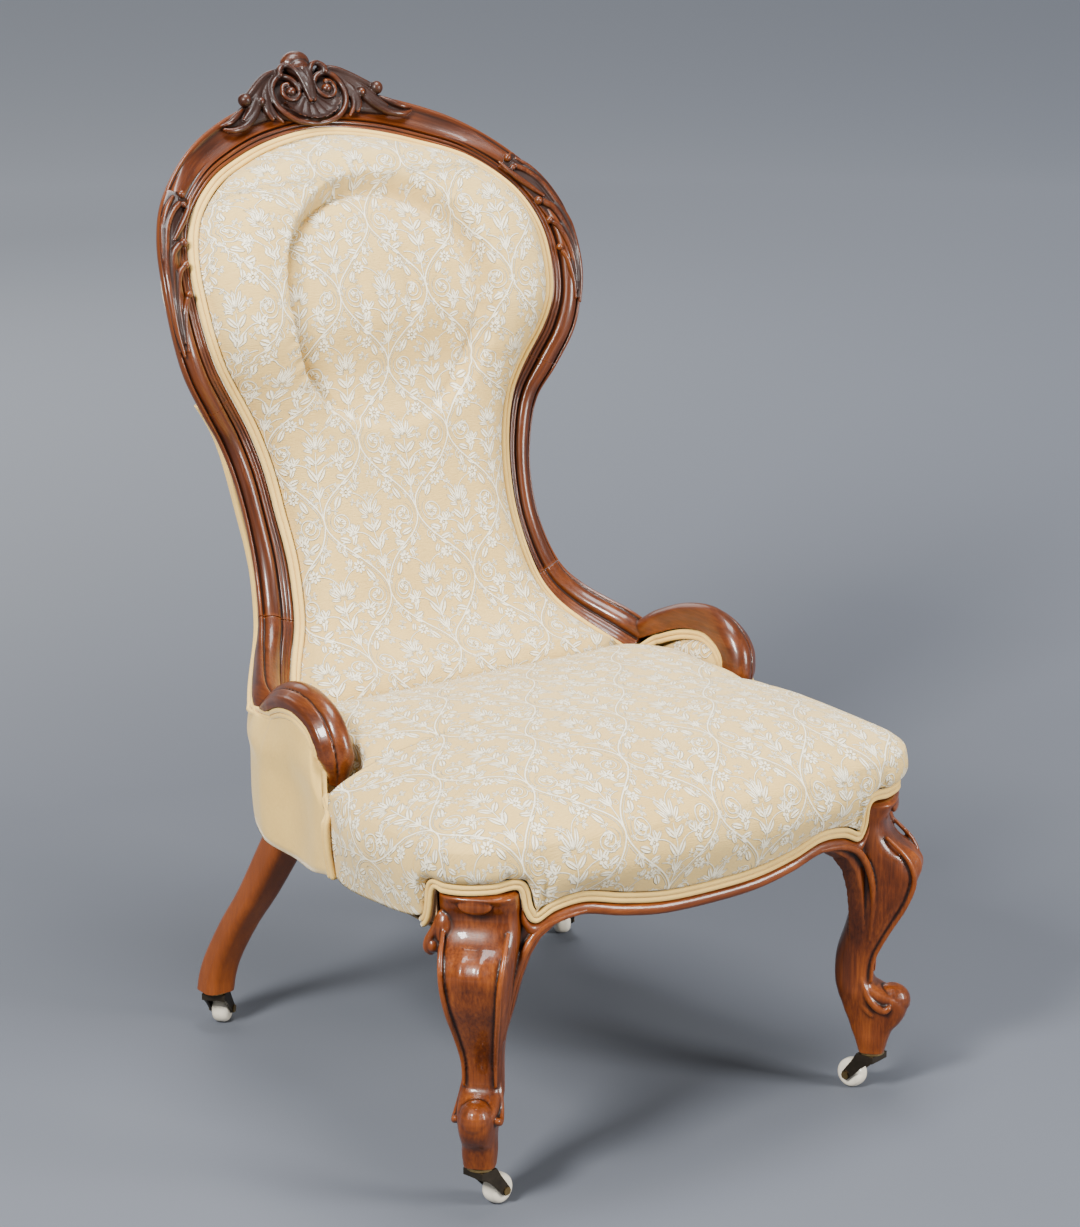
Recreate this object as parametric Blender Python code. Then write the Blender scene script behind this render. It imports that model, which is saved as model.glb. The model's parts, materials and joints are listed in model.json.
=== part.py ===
"""Spoon-back salon chair: carved walnut show frame, sprung seat, buttonless stuffed back,
cabriole front legs, swept rear legs and four swivelling castors with ceramic wheels.

The chair faces -Y. X is zero on its middle plane and Z is zero on the floor.
"""

import math

import bmesh
import bpy
from mathutils import Matrix, Vector

# Sizes of the whole chair, in metres
BALLOON_HALF_WIDTH = 0.249
BACK_RAKE = 0.276
ARM_LEVEL = 0.416
BACK_RISE = 0.534
FRAME_DEPTH = 0.024
SEAT_HALF_WIDTH = 0.275
SEAT_FRONT_Y = -0.302
SEAT_DEPTH = 0.401
BACK_SETBACK = 0.045
BACK_START_Y = SEAT_FRONT_Y + SEAT_DEPTH + BACK_SETBACK
GAP = 0.0004
OVERRUN = 0.004

# Seat frame
RAIL_BOTTOM = 0.284
RAIL_HEIGHT = 0.046
RAIL_THICKNESS = 0.024
LIP_HEIGHT = 0.013
LIP_DEPTH = 0.008
CORNER_BLOCK_LENGTH = 0.044
CORNER_BLOCK_HEIGHT = 0.036

# Feet
FRONT_FOOT_HALF_SPAN = 0.238
FRONT_FOOT_SETBACK = 0.042
FRONT_FOOT_Y = SEAT_FRONT_Y + FRONT_FOOT_SETBACK
REAR_FOOT_HALF_SPAN = 0.225
REAR_FOOT_SETBACK = 0.161
REAR_FOOT_Y = SEAT_FRONT_Y + SEAT_DEPTH + REAR_FOOT_SETBACK
CASTOR_HEIGHT = 0.046
KNEE_REACH = 0.042
KNEE_BACK = 0.045
LEG_HALF_WIDTH = 0.038
LEG_LIP_LEVEL = 0.320
REAR_LEG_SIDE = 0.034
REAR_LEG_LEAN = 0.128
REAR_LEG_SPLAY = 0.052

# Castors
WHEEL_DIAMETER = 0.030
WHEEL_WIDTH = 0.018
CASTOR_TRAIL = 0.023
AXLE_DIAMETER = 0.005
HORN_THICKNESS = 0.0026
HORN_WIDTH = 0.020
HORN_CROWN = 0.0085
PLATE_DIAMETER = 0.026
PLATE_THICKNESS = 0.0026
PIVOT_DIAMETER = 0.008
AXLE_HEAD = 0.0012

# Upholstery
WELT_WIDTH = 0.0104
WELT_THICKNESS = 0.0056
SKIRT = 0.0085
BELLY = 0.016
BELLY_OVER_LEG = 0.4
BELLY_LEVEL = 0.333
SHOULDER_LEVEL = 0.364
DOME_LEVEL = 0.417
SPRING_SEAT_LEVEL = 0.362
SEAT_REAR_LEVEL = 0.392
SEAT_REAR_HALF_WIDTH = 0.222
PAD_CROWN = 0.036
PAD_ROLL = 0.055
RECESS_DEPTH = 0.020
RECESS_HALF_WIDTH = 0.120
RECESS_LEVEL = 0.765
RECESS_RISE = 0.093
CREASE_WIDTH = 0.028
COVER_THICKNESS = 0.006
ARM_PAD_THICKNESS = 0.006
CLOTH_THICKNESS = 0.002
WEBBING_WIDTH = 0.050
WEBBING_THICKNESS = 0.0024
WEBBING_PITCH = 0.105
SPRING_WIRE = 0.0028
SPRING_RADIUS = 0.030
SPRING_WAIST = 0.019
SPRING_TURNS = 4
SPRING_SIDES = 4

# Arm scroll
ARM_HALF_WIDTH = 0.2475
ARM_LAP = 0.006
ARM_BACK_Y = BACK_START_Y - ARM_LAP
ARM_REACH_SHARE = 0.45137157
ARM_REACH = SEAT_DEPTH * ARM_REACH_SHARE
ARM_LOW = 0.356
ARM_HEIGHT = 0.0875
ARM_SECTION_WIDTH = 0.036
ARM_SECTION_DEPTH = 0.034

# Carving
CREST_HALF_WIDTH = 0.100
CREST_HEIGHT = 0.044
CARVING_DEPTH = 0.010
SHOULDER_CARVING_WIDTH = 0.022

# The show frame's outer and inner edge, from the middle of the top down to the arm, as shares
# of the balloon's half width, the back's rake and the back's rise
OUTER_EDGE_SHARES = (
    (0.0, 1.0, 1.0),
    (0.281, 0.971, 0.989),
    (0.522, 0.899, 0.959),
    (0.719, 0.801, 0.916),
    (0.880, 0.685, 0.856),
    (0.964, 0.587, 0.790),
    (1.0, 0.493, 0.712),
    (0.996, 0.435, 0.616),
    (0.956, 0.413, 0.537),
    (0.867, 0.428, 0.459),
    (0.787, 0.453, 0.397),
    (0.739, 0.438, 0.330),
    (0.711, 0.406, 0.251),
    (0.711, 0.348, 0.163),
    (0.747, 0.261, 0.081),
    (0.811, 0.163, 0.037),
    (0.908, 0.0, 0.0),
    (0.932, -0.105, -0.017),
)
INNER_EDGE_SHARES = (
    (0.0, 0.899, 0.942),
    (0.249, 0.877, 0.929),
    (0.462, 0.819, 0.903),
    (0.627, 0.739, 0.875),
    (0.763, 0.652, 0.828),
    (0.835, 0.572, 0.777),
    (0.867, 0.496, 0.710),
    (0.855, 0.435, 0.616),
    (0.803, 0.431, 0.545),
    (0.731, 0.446, 0.485),
    (0.659, 0.449, 0.419),
    (0.610, 0.420, 0.341),
    (0.586, 0.377, 0.255),
    (0.578, 0.308, 0.167),
    (0.610, 0.217, 0.067),
    (0.683, 0.130, 0.006),
    (0.787, -0.022, -0.043),
    (0.823, -0.130, -0.062),
)
# Places along that edge, counted in its points, where the frame's members are jointed
SHOULDER_JOINT = 9
ARM_JOINT = 14
PAD_END = 16.5
WELT_STATIONS = 17
STATION_STEP = 0.5

UPPER_UNDERCUT = 0.42
LOWER_UNDERCUT = 0.12
# Moulded section of the show frame: share of the face's width, share of the frame's depth
FRAME_SECTION_SHARES = (
    (0.0, -0.30),
    (0.0, -0.08),
    (0.07, 0.03),
    (0.14, -0.02),
    (0.32, 0.17),
    (0.54, 0.19),
    (0.72, -0.04),
    (0.86, 0.02),
    (1.0, -0.12),
    (1.0, -1.0),
)

# The arm scroll's ridge: share of the arm's half width, reach and height
RIDGE_SHARES = (
    (0.925, 0.0, 0.46),
    (0.93, 0.06, 0.56),
    (0.94, 0.14, 0.68),
    (0.955, 0.24, 0.80),
    (0.985, 0.44, 0.955),
    (1.0, 0.66, 1.0),
    (1.0, 0.85, 0.87),
    (1.0, 0.963, 0.632),
    (0.992, 1.0, 0.368),
    (0.99, 0.984, 0.172),
    (0.985, 0.940, 0.0),
)
# Section across the scroll: share of half its width, outward, and share of its depth
SCROLL_SECTION_SHARES = (
    (-1.0, -0.74),
    (-1.0, -0.56),
    (-0.80, -0.26),
    (-0.42, -0.03),
    (0.0, 0.0),
    (0.28, -0.12),
    (0.60, -0.16),
    (1.0, -0.42),
    (1.0, -0.66),
)
SCROLL_SIDE_SHARE = 0.66
SCROLL_INNER_SHARE = 0.74

# The seat's hem in plan from the middle of the front to the arm, as shares of the seat's half
# width and depth, with the level of the wood under it as a share of the rail's height
HEM_SHARES = (
    (0.0, 0.0, -0.10),
    (0.20, 0.001, -0.06),
    (0.37, 0.007, 0.10),
    (0.51, 0.020, 0.28),
    (0.62, 0.028, 0.22),
    (0.700, 0.034, 0.03),
    (0.742, 0.038, 0.30),
    (0.765, 0.040, 0.79),
    (0.85, 0.050, 0.79),
    (0.925, 0.074, 0.79),
    (0.968, 0.103, 0.79),
    (0.990, 0.132, 0.79),
    (1.0, 0.157, 0.79),
    (1.002, 0.202, -0.11),
    (1.0, 0.380, -0.11),
    (0.990, 0.585, -0.11),
)
WELT_END = 13
# The covered side and back below the arms, in plan, from the arm's front to the rear middle,
# as shares of the seat's half width and depth
SKIRT_PLAN_SHARES = (
    (0.987, 0.613),
    (0.975, 0.700),
    (0.935, 0.803),
    (0.905, 0.943),
    (0.868, 1.032),
    (0.790, 1.155),
    (0.690, 1.250),
    (0.550, 1.322),
    (0.360, 1.366),
    (0.0, 1.388),
)
SIDE_PANEL_END = 6
RAIL_CORNER = 5.4

# Front leg: share of the height from the castor to the rail's top, then front and back reach as
# shares of the knee's, and half width as a share of the leg's
LEG_SHARES = (
    (0.0, 0.31, -0.29, 0.40),
    (0.050, 0.40, -0.38, 0.43),
    (0.085, 0.49, -0.47, 0.42),
    (0.115, 0.67, -0.53, 0.43),
    (0.150, 0.80, -0.62, 0.46),
    (0.184, 0.82, -0.69, 0.49),
    (0.212, 0.70, -0.76, 0.52),
    (0.236, 0.35, -0.80, 0.53),
    (0.262, 0.04, -0.84, 0.51),
    (0.315, -0.02, -0.86, 0.50),
    (0.385, 0.10, -0.82, 0.53),
    (0.465, 0.36, -0.67, 0.63),
    (0.542, 0.64, -0.56, 0.74),
    (0.602, 0.86, -0.51, 0.82),
    (0.665, 0.98, -0.56, 0.88),
    (0.711, 1.0, -0.76, 0.93),
    (0.761, 0.83, -0.95, 0.97),
    (0.800, 0.50, -1.0, 0.99),
    (0.845, 0.30, -1.0, 1.0),
    (0.895, 0.26, -1.0, 1.0),
    (0.935, 0.50, -1.0, 0.99),
    (0.965, 0.58, -1.0, 0.93),
    (0.968, -0.15, -1.0, 0.64),
    (1.0, -0.15, -1.0, 0.64),
)
LEG_SECTION_POINTS = 12
LEG_SQUARENESS = 0.62

# Rear leg's middle line: shares of its splay and lean from foot to seat, and of its height,
# and its thickness there as a share of the foot's
REAR_LEG_SHARES = (
    (0.0, 0.0, 0.0, 1.0),
    (0.05, 0.01, 0.06, 1.0),
    (0.13, 0.06, 0.14, 1.0),
    (0.30, 0.21, 0.28, 1.03),
    (0.48, 0.42, 0.43, 1.09),
    (0.67, 0.72, 0.66, 1.20),
    (0.85, 0.93, 0.83, 1.25),
    (0.97, 1.0, 0.93, 1.15),
    (1.0, 1.0, 1.0, 1.1),
)

# Colours, linear red, green and blue
WALNUT = (0.16, 0.052, 0.022)
BEECH = (0.48, 0.31, 0.17)
DAMASK = (0.66, 0.55, 0.40)
VELVET = (0.58, 0.46, 0.31)
HESSIAN = (0.36, 0.27, 0.16)
WEBBING = (0.42, 0.33, 0.22)
CERAMIC = (0.80, 0.77, 0.69)
BRONZE = (0.045, 0.038, 0.030)
BRASS = (0.45, 0.31, 0.12)
STEEL = (0.30, 0.29, 0.28)

UP = Vector((0.0, 0.0, 1.0))
MIRROR = Matrix.Diagonal((-1.0, 1.0, 1.0))
SIDES = (("left", -1), ("right", 1))


def material(name, colour, roughness, metallic=0.0):
    """One Principled material."""
    made = bpy.data.materials.new(name)
    made.use_nodes = True
    shader = made.node_tree.nodes["Principled BSDF"]
    shader.inputs["Base Color"].default_value = (*colour, 1.0)
    shader.inputs["Roughness"].default_value = roughness
    shader.inputs["Metallic"].default_value = metallic
    return made


def clear_scene():
    for item in list(bpy.data.objects):
        bpy.data.objects.remove(item, do_unlink=True)


def add_object(name, bm, finish, merge=GAP / 10):
    """Turn a bmesh into a named object with its own copy of the finish."""
    bmesh.ops.remove_doubles(bm, verts=bm.verts, dist=merge)
    bmesh.ops.dissolve_degenerate(bm, edges=bm.edges, dist=merge)
    bmesh.ops.recalc_face_normals(bm, faces=bm.faces)
    mesh = bpy.data.meshes.new(name)
    bm.to_mesh(mesh)
    bm.free()
    item = bpy.data.objects.new(name, mesh)
    bpy.context.collection.objects.link(item)
    item.parent = chair
    if finish is not None:
        mesh.materials.append(material(name, *finish))
    mesh.shade_smooth()
    mesh.set_sharp_from_angle(angle=math.radians(38))
    return item


def skin(bm, rings, closed=False):
    """Join rings of points with faces, and cap the ends of an open run."""
    rows = [[bm.verts.new(point) for point in ring] for ring in rings]
    pairs = list(zip(rows, rows[1:]))
    if closed:
        pairs.append((rows[-1], rows[0]))
    for row, after in pairs:
        count = len(row)
        for i in range(count):
            j = (i + 1) % count
            bm.faces.new((row[i], row[j], after[j], after[i]))
    if not closed:
        bm.faces.new(rows[0][::-1])
        bm.faces.new(rows[-1])


def loft(name, rings, finish, closed=False):
    bm = bmesh.new()
    skin(bm, rings, closed)
    return add_object(name, bm, finish)


def cutter(name, rings):
    """A guide solid that only cuts."""
    item = loft(name, rings, None)
    item.hide_render = True
    item.display_type = "WIRE"
    return item


def combine(item, tool, operation):
    change = item.modifiers.new(tool.name, "BOOLEAN")
    change.operation = operation
    change.object = tool
    change.solver = "EXACT"


def curve_at(points, place, mirrored=False):
    """Point of a smooth curve through the points, with the place counted in points."""
    last = len(points) - 1
    place = min(max(place, 0.0), float(last))
    i = min(int(place), last - 1)
    f = place - i
    b = points[i]
    c = points[i + 1]
    if i > 0:
        a = points[i - 1]
    else:
        a = MIRROR @ c if mirrored else b * 2 - c
    d = points[i + 2] if i + 2 <= last else c * 2 - b
    return (b * 2 + (c - a) * f + (a * 2 - b * 5 + c * 4 - d) * f ** 2
            + (b * 3 - a - c * 3 + d) * f ** 3) / 2


def places(start, end, steps):
    return [start + (end - start) * i / steps for i in range(steps + 1)]


def stations(start, end, step):
    """Places from start to end, through every multiple of the step between them."""
    first = math.floor(start / step + 1)
    last = math.ceil(end / step - 1)
    return [start] + [i * step for i in range(first, last + 1)] + [end]


def smooth_step(value):
    value = min(max(value, 0.0), 1.0)
    return value * value * (3 - 2 * value)


def mirror_ring(ring, side):
    return ring if side > 0 else [MIRROR @ point for point in ring]


# Show frame

def back_point(shares):
    return Vector((shares[0] * BALLOON_HALF_WIDTH,
                   BACK_START_Y + shares[1] * BACK_RAKE,
                   ARM_LEVEL + shares[2] * BACK_RISE))


OUTER_EDGE = [back_point(shares) for shares in OUTER_EDGE_SHARES]
INNER_EDGE = [back_point(shares) for shares in INNER_EDGE_SHARES]
LOOK_AHEAD = 0.05


def frame_at(place):
    """Outer edge, width, inward direction and facing direction of the show frame."""
    spot = abs(place)
    outer = curve_at(OUTER_EDGE, spot, True)
    inner = curve_at(INNER_EDGE, spot, True)
    ahead = curve_at(OUTER_EDGE, spot + LOOK_AHEAD, True) + curve_at(INNER_EDGE, spot + LOOK_AHEAD, True)
    if spot > LOOK_AHEAD:
        behind = (curve_at(OUTER_EDGE, spot - LOOK_AHEAD, True)
                  + curve_at(INNER_EDGE, spot - LOOK_AHEAD, True))
    else:
        mirrored_spot = LOOK_AHEAD - spot
        behind = MIRROR @ (curve_at(OUTER_EDGE, mirrored_spot, True)
                           + curve_at(INNER_EDGE, mirrored_spot, True))
    tangent = (ahead - behind).normalized()
    width = (inner - outer).length
    across = (inner - outer).normalized()
    facing = across.cross(tangent).normalized()
    if place < 0:
        outer, across, facing = (MIRROR @ v for v in (outer, across, facing))
    return outer, width, across, facing


def frame_point(place, across_offset, facing_offset, from_inner=False):
    """A point beside the frame, offset from its outer or inner edge."""
    outer, width, across, facing = frame_at(place)
    start = width if from_inner else 0.0
    return outer + across * (start + across_offset) + facing * facing_offset


def back_inset(place):
    """Share of the width by which the frame's back is undercut at its outer edge."""
    return UPPER_UNDERCUT + (LOWER_UNDERCUT - UPPER_UNDERCUT) * smooth_step((abs(place) - 9) / 3)


def frame_ring(place, grow=0.0):
    outer, width, across, facing = frame_at(place)
    ring = []
    for u, n in ((back_inset(place), -1.0),) + FRAME_SECTION_SHARES:
        spread = (2 * u - 1) * grow
        lift = grow if n > -0.5 else -grow
        ring.append(outer + across * (u * width + spread) + facing * (n * FRAME_DEPTH + lift))
    return ring


def joint_trim(place):
    """Half the gap at a frame joint, counted in points of the edge."""
    step = (curve_at(OUTER_EDGE, place + 1) - curve_at(OUTER_EDGE, place)).length
    return GAP / 2 / step


def make_crest_rail():
    end = SHOULDER_JOINT - joint_trim(SHOULDER_JOINT)
    rings = [frame_ring(p) for p in stations(-end, end, STATION_STEP)]
    return loft("crest_rail", rings, (WALNUT, 0.28))


def make_stile(word, side):
    start = SHOULDER_JOINT + joint_trim(SHOULDER_JOINT)
    end = ARM_JOINT - joint_trim(ARM_JOINT)
    rings = [frame_ring(p * side) for p in stations(start, end, STATION_STEP)]
    return loft("back_stile_" + word, rings, (WALNUT, 0.28))


# Arm scrolls

def arm_point(shares):
    return Vector((shares[0] * ARM_HALF_WIDTH,
                   ARM_BACK_Y - shares[1] * ARM_REACH,
                   ARM_LOW + shares[2] * ARM_HEIGHT))


RIDGE = [arm_point(shares) for shares in RIDGE_SHARES]
RIDGE_LAST = len(RIDGE) - 1
SCROLL_TAPER = 0.55
SCROLL_START_SIZE = 0.72


def ridge_at(place):
    """Ridge point and outward radial direction of the scroll, in its upright plane."""
    spot = curve_at(RIDGE, place)
    tangent = curve_at(RIDGE, place + LOOK_AHEAD) - curve_at(RIDGE, place - LOOK_AHEAD)
    radial = Vector((0.0, -tangent.z, tangent.y)).normalized()
    if radial.dot(spot - Vector((spot.x, ARM_BACK_Y - ARM_REACH * 0.62, ARM_LOW + ARM_HEIGHT * 0.2))) < 0:
        radial = -radial
    return spot, radial


def scroll_size(place):
    """The scroll swells out of the rail and thins over its last two points."""
    tip = SCROLL_TAPER + (1 - SCROLL_TAPER) * smooth_step((RIDGE_LAST - place) / 2)
    root = SCROLL_START_SIZE + (1 - SCROLL_START_SIZE) * smooth_step(place / 3)
    return tip * root


def scroll_point(place, across_share, depth_share, extra=0.0, sideways=0.0):
    spot, radial = ridge_at(place)
    size = scroll_size(place)
    return (spot + Vector((across_share * ARM_SECTION_WIDTH / 2 * size + sideways, 0.0, 0.0))
            + radial * (depth_share * ARM_SECTION_DEPTH * size + extra))


def scroll_ring(place, grow=0.0):
    ring = []
    for across_share, depth_share in SCROLL_SECTION_SHARES:
        extra = grow if depth_share > -0.5 else -grow
        ring.append(scroll_point(place, across_share, depth_share, extra, across_share * grow))
    rebate = WELT_THICKNESS + OVERRUN * 0.75
    for across_share, depth_share in ((1.0, -SCROLL_SIDE_SHARE), (1.0, -1.0),
                                      (-1.0, -1.0), (-1.0, -SCROLL_INNER_SHARE)):
        ring.append(scroll_point(place, across_share, depth_share, -grow, across_share * (grow - rebate)))
    return ring


def arm_rings(grow=0.0, start=ARM_JOINT):
    """The rail from its start to the notch, and the scroll that starts inside it."""
    rail = [frame_ring(p, grow) for p in stations(start, len(OUTER_EDGE) - 1, STATION_STEP)]
    scroll = [scroll_ring(p, grow) for p in places(0, RIDGE_LAST, 2 * RIDGE_LAST)]
    if grow:
        onward = (RIDGE[-1] - RIDGE[-2]).normalized() * grow
        scroll.append([point + onward for point in scroll[-1]])
    return rail, scroll


def make_arm(word, side):
    rail, scroll = arm_rings(start=ARM_JOINT + joint_trim(ARM_JOINT))
    arm = loft("arm_scroll_" + word, [mirror_ring(r, side) for r in rail], (WALNUT, 0.28))
    curl = cutter("arm_curl_" + word, [mirror_ring(r, side) for r in scroll])
    combine(arm, curl, "UNION")
    return arm


# Plans of the seat

def plan_point(shares):
    return Vector((shares[0] * SEAT_HALF_WIDTH, SEAT_FRONT_Y + shares[1] * SEAT_DEPTH, 0.0))


HEM_PLAN = [plan_point(shares) + UP * (RAIL_BOTTOM + shares[2] * RAIL_HEIGHT) for shares in HEM_SHARES]
SKIRT_PLAN = [plan_point(shares) for shares in SKIRT_PLAN_SHARES]
SKIRT_PLAN[0].y = HEM_PLAN[-1].y + WELT_WIDTH + 4 * GAP
HEM_LAST = len(HEM_PLAN) - 1
SKIRT_LAST = len(SKIRT_PLAN) - 1


def outward_at(points, place, from_middle=False):
    """Outward direction in plan of a right-hand half outline."""
    ahead = curve_at(points, place + LOOK_AHEAD, from_middle)
    behind = curve_at(points, place - LOOK_AHEAD, from_middle)
    return Vector((ahead.y - behind.y, behind.x - ahead.x, 0.0)).normalized()


def hem_at(place, inset=0.0):
    if place <= LOOK_AHEAD:
        outward = Vector((0.0, -1.0, 0.0))
    else:
        outward = outward_at(HEM_PLAN, place, True)
    point = curve_at(HEM_PLAN, place, True) - outward * inset
    point.z = 0.0
    return point


def skirt_at(place, inset=0.0):
    if place >= SKIRT_LAST - LOOK_AHEAD:
        outward = Vector((0.0, 1.0, 0.0))
    else:
        outward = outward_at(SKIRT_PLAN, place)
    return curve_at(SKIRT_PLAN, place) - outward * inset


def wood_level(place):
    """Level of the wood's top under the hem."""
    return curve_at(HEM_PLAN, place, True).z


def hem_frame(place):
    """Outward direction at the hem and the direction up the fabric, square to the hem."""
    outward = (hem_at(place) - hem_at(place, 1.0)).normalized()
    ahead = curve_at(HEM_PLAN, place + SLOPE_REACH, True)
    if place > SLOPE_REACH:
        behind = curve_at(HEM_PLAN, place - SLOPE_REACH, True)
    else:
        behind = MIRROR @ curve_at(HEM_PLAN, SLOPE_REACH - place, True)
    aside = outward.cross(ahead - behind).normalized()
    return outward, aside if aside.z > 0 else -aside


SLOPE_REACH = 0.8
RAIL_TOP = RAIL_BOTTOM + RAIL_HEIGHT
RAIL_INSET = SKIRT + 2 * GAP
SQRT_2 = math.sqrt(2)
FRONT_FOOT = Vector((FRONT_FOOT_HALF_SPAN, FRONT_FOOT_Y, 0.0))
DIAGONAL = Vector((1.0, -1.0, 0.0)).normalized()
SIDEWAYS = Vector((1.0, 1.0, 0.0)).normalized()


# Seat rails

def front_rail_ring(place):
    side = -1 if place < 0 else 1
    spot = abs(place)
    base = hem_at(spot, 0.0)
    inward = base - hem_at(spot, 1.0)
    inward = -inward.normalized()
    top = wood_level(spot)
    lip = base + Vector((0.0, 0.0, top - LIP_HEIGHT))
    ring = [
        lip,
        base + UP * top,
        base + inward * LIP_DEPTH + UP * top,
        base + inward * RAIL_INSET + UP * (top + GAP),
        base + inward * RAIL_INSET + UP * RAIL_TOP,
        base + inward * (RAIL_INSET + RAIL_THICKNESS) + UP * RAIL_TOP,
        base + inward * (RAIL_INSET + RAIL_THICKNESS) + UP * RAIL_BOTTOM,
        base + inward * (RAIL_INSET + RAIL_THICKNESS / 2) + UP * RAIL_BOTTOM,
        base + inward * RAIL_INSET + UP * min(RAIL_BOTTOM, top - LIP_HEIGHT / 2),
        base + inward * LIP_DEPTH + UP * (top - LIP_HEIGHT),
    ]
    return mirror_ring(ring, side)


FRONT_RAIL_END = 7
SIDE_RAIL_START = 11


def leg_side_space(word, side):
    """Guide as wide as the leg, that trims the rails to the leg's flat sides."""
    half = LEG_HALF_WIDTH + 2 * GAP
    reach = KNEE_BACK + RAIL_THICKNESS
    plan = [FRONT_FOOT + DIAGONAL * (reach * d) + SIDEWAYS * (half * s)
            for d, s in ((-1, -1), (1, -1), (1, 1), (-1, 1))]
    rings = [mirror_ring([point + UP * level for point in plan], side)
             for level in (RAIL_BOTTOM - RAIL_HEIGHT, RAIL_TOP + OVERRUN)]
    return cutter("leg_side_space_" + word, rings)


def make_front_rail(leg_sides):
    rings = [front_rail_ring(p) for p in stations(-FRONT_RAIL_END, FRONT_RAIL_END, STATION_STEP)]
    rail = loft("front_rail", rings, (WALNUT, 0.30))
    for leg_side in leg_sides:
        combine(rail, leg_side, "DIFFERENCE")
    return rail


def rail_section(outer_at, place, thickness=RAIL_THICKNESS):
    outer = outer_at(place, RAIL_INSET)
    inner = outer_at(place, RAIL_INSET + thickness)
    return [outer + UP * RAIL_BOTTOM, outer + UP * RAIL_TOP,
            inner + UP * RAIL_TOP, inner + UP * RAIL_BOTTOM]


def make_side_rail(word, side, housing, leg_side):
    front = [rail_section(hem_at, p) for p in (SIDE_RAIL_START, 12, 13, 14, HEM_LAST)]
    rear = [rail_section(skirt_at, p) for p in stations(1, RAIL_CORNER, 1)]
    rings = [mirror_ring(ring, side) for ring in front + rear]
    rail = loft("side_rail_" + word, rings, (BEECH, 0.6))
    combine(rail, housing, "DIFFERENCE")
    combine(rail, leg_side, "DIFFERENCE")
    return rail


def make_back_rail(housings):
    trim = GAP / (curve_at(SKIRT_PLAN, RAIL_CORNER) - curve_at(SKIRT_PLAN, RAIL_CORNER + 1)).length
    half = [rail_section(skirt_at, p) for p in stations(RAIL_CORNER + trim, SKIRT_LAST, 1)]
    rings = half + [mirror_ring(ring, -1) for ring in half[-2::-1]]
    rail = loft("back_rail", rings, (BEECH, 0.6))
    for housing in housings:
        combine(rail, housing, "DIFFERENCE")
    return rail


def make_corner_block(word, side):
    """Glued brace behind the front leg, between the front and side rails."""
    reach = KNEE_BACK + GAP * 2
    inner_rail = (LEG_HALF_WIDTH - OVERRUN)
    base = RAIL_TOP - OVERRUN - CORNER_BLOCK_HEIGHT
    plan = [FRONT_FOOT - DIAGONAL * reach + SIDEWAYS * inner_rail,
            FRONT_FOOT - DIAGONAL * reach - SIDEWAYS * inner_rail,
            FRONT_FOOT - DIAGONAL * (reach + CORNER_BLOCK_LENGTH / 2) - SIDEWAYS * inner_rail,
            FRONT_FOOT - DIAGONAL * (reach + CORNER_BLOCK_LENGTH / 2) + SIDEWAYS * inner_rail]
    rings = [mirror_ring([point + UP * level for point in plan], side)
             for level in (base, base + CORNER_BLOCK_HEIGHT)]
    return loft("corner_block_" + word, rings, (BEECH, 0.6))


# Legs

def leg_ring(shares, grow=0.0):
    level, front_share, back_share, width_share = shares
    front = front_share * KNEE_REACH + grow
    back = back_share * KNEE_BACK - grow
    half = width_share * LEG_HALF_WIDTH + grow
    middle = (front + back) / 2
    reach = (front - back) / 2
    height = CASTOR_HEIGHT + level * (RAIL_TOP - CASTOR_HEIGHT)
    ring = []
    for i in range(LEG_SECTION_POINTS):
        angle = 2 * math.pi * (i + 0.5) / LEG_SECTION_POINTS
        c, s = math.cos(angle), math.sin(angle)
        along = middle + reach * math.copysign(abs(c) ** LEG_SQUARENESS, c) * squared(c, s)
        aside = half * math.copysign(abs(s) ** LEG_SQUARENESS, s) * squared(c, s)
        ring.append(FRONT_FOOT + DIAGONAL * along + SIDEWAYS * aside + UP * height)
    return ring


def squared(c, s):
    """Scale that lets the rounded-square section reach its full width."""
    widest = max(abs(c) ** LEG_SQUARENESS, abs(s) ** LEG_SQUARENESS)
    return 1 / widest if widest > 0.95 else 1.0


def make_front_leg(word, side):
    rings = [mirror_ring(leg_ring(shares), side) for shares in LEG_SHARES]
    return loft("front_leg_" + word, rings, (WALNUT, 0.28))


def rear_leg_point(shares):
    return Vector((REAR_FOOT_HALF_SPAN - shares[0] * REAR_LEG_SPLAY,
                   REAR_FOOT_Y - shares[1] * REAR_LEG_LEAN,
                   CASTOR_HEIGHT + shares[2] * (RAIL_TOP - CASTOR_HEIGHT)))


REAR_LEG_LINE = [rear_leg_point(shares) for shares in REAR_LEG_SHARES]
REAR_LEG_SIZES = [Vector((shares[3], 0.0, 0.0)) for shares in REAR_LEG_SHARES]
REAR_LEG_CHAMFER = 0.16


def rear_leg_ring(point, size, grow=0.0):
    half = size * REAR_LEG_SIDE / 2 + grow
    cut = REAR_LEG_SIDE * REAR_LEG_CHAMFER
    corners = [(half, half - cut), (half - cut, half), (cut - half, half), (-half, half - cut),
               (-half, cut - half), (cut - half, -half), (half - cut, -half), (half, cut - half)]
    return [point + Vector((x, y, 0.0)) for x, y in corners]


def rear_leg_rings(side, grow=0.0, rise=0.0):
    rings = []
    for p in places(0, len(REAR_LEG_LINE) - 1, 14):
        rings.append(rear_leg_ring(curve_at(REAR_LEG_LINE, p), curve_at(REAR_LEG_SIZES, p).x, grow))
    if rise:
        rings.append([point + UP * rise for point in rings[-1]])
    return [mirror_ring(ring, side) for ring in rings]


def make_rear_leg(word, side):
    return loft("rear_leg_" + word, rear_leg_rings(side), (WALNUT, 0.32))


# Hidden posts

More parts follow.
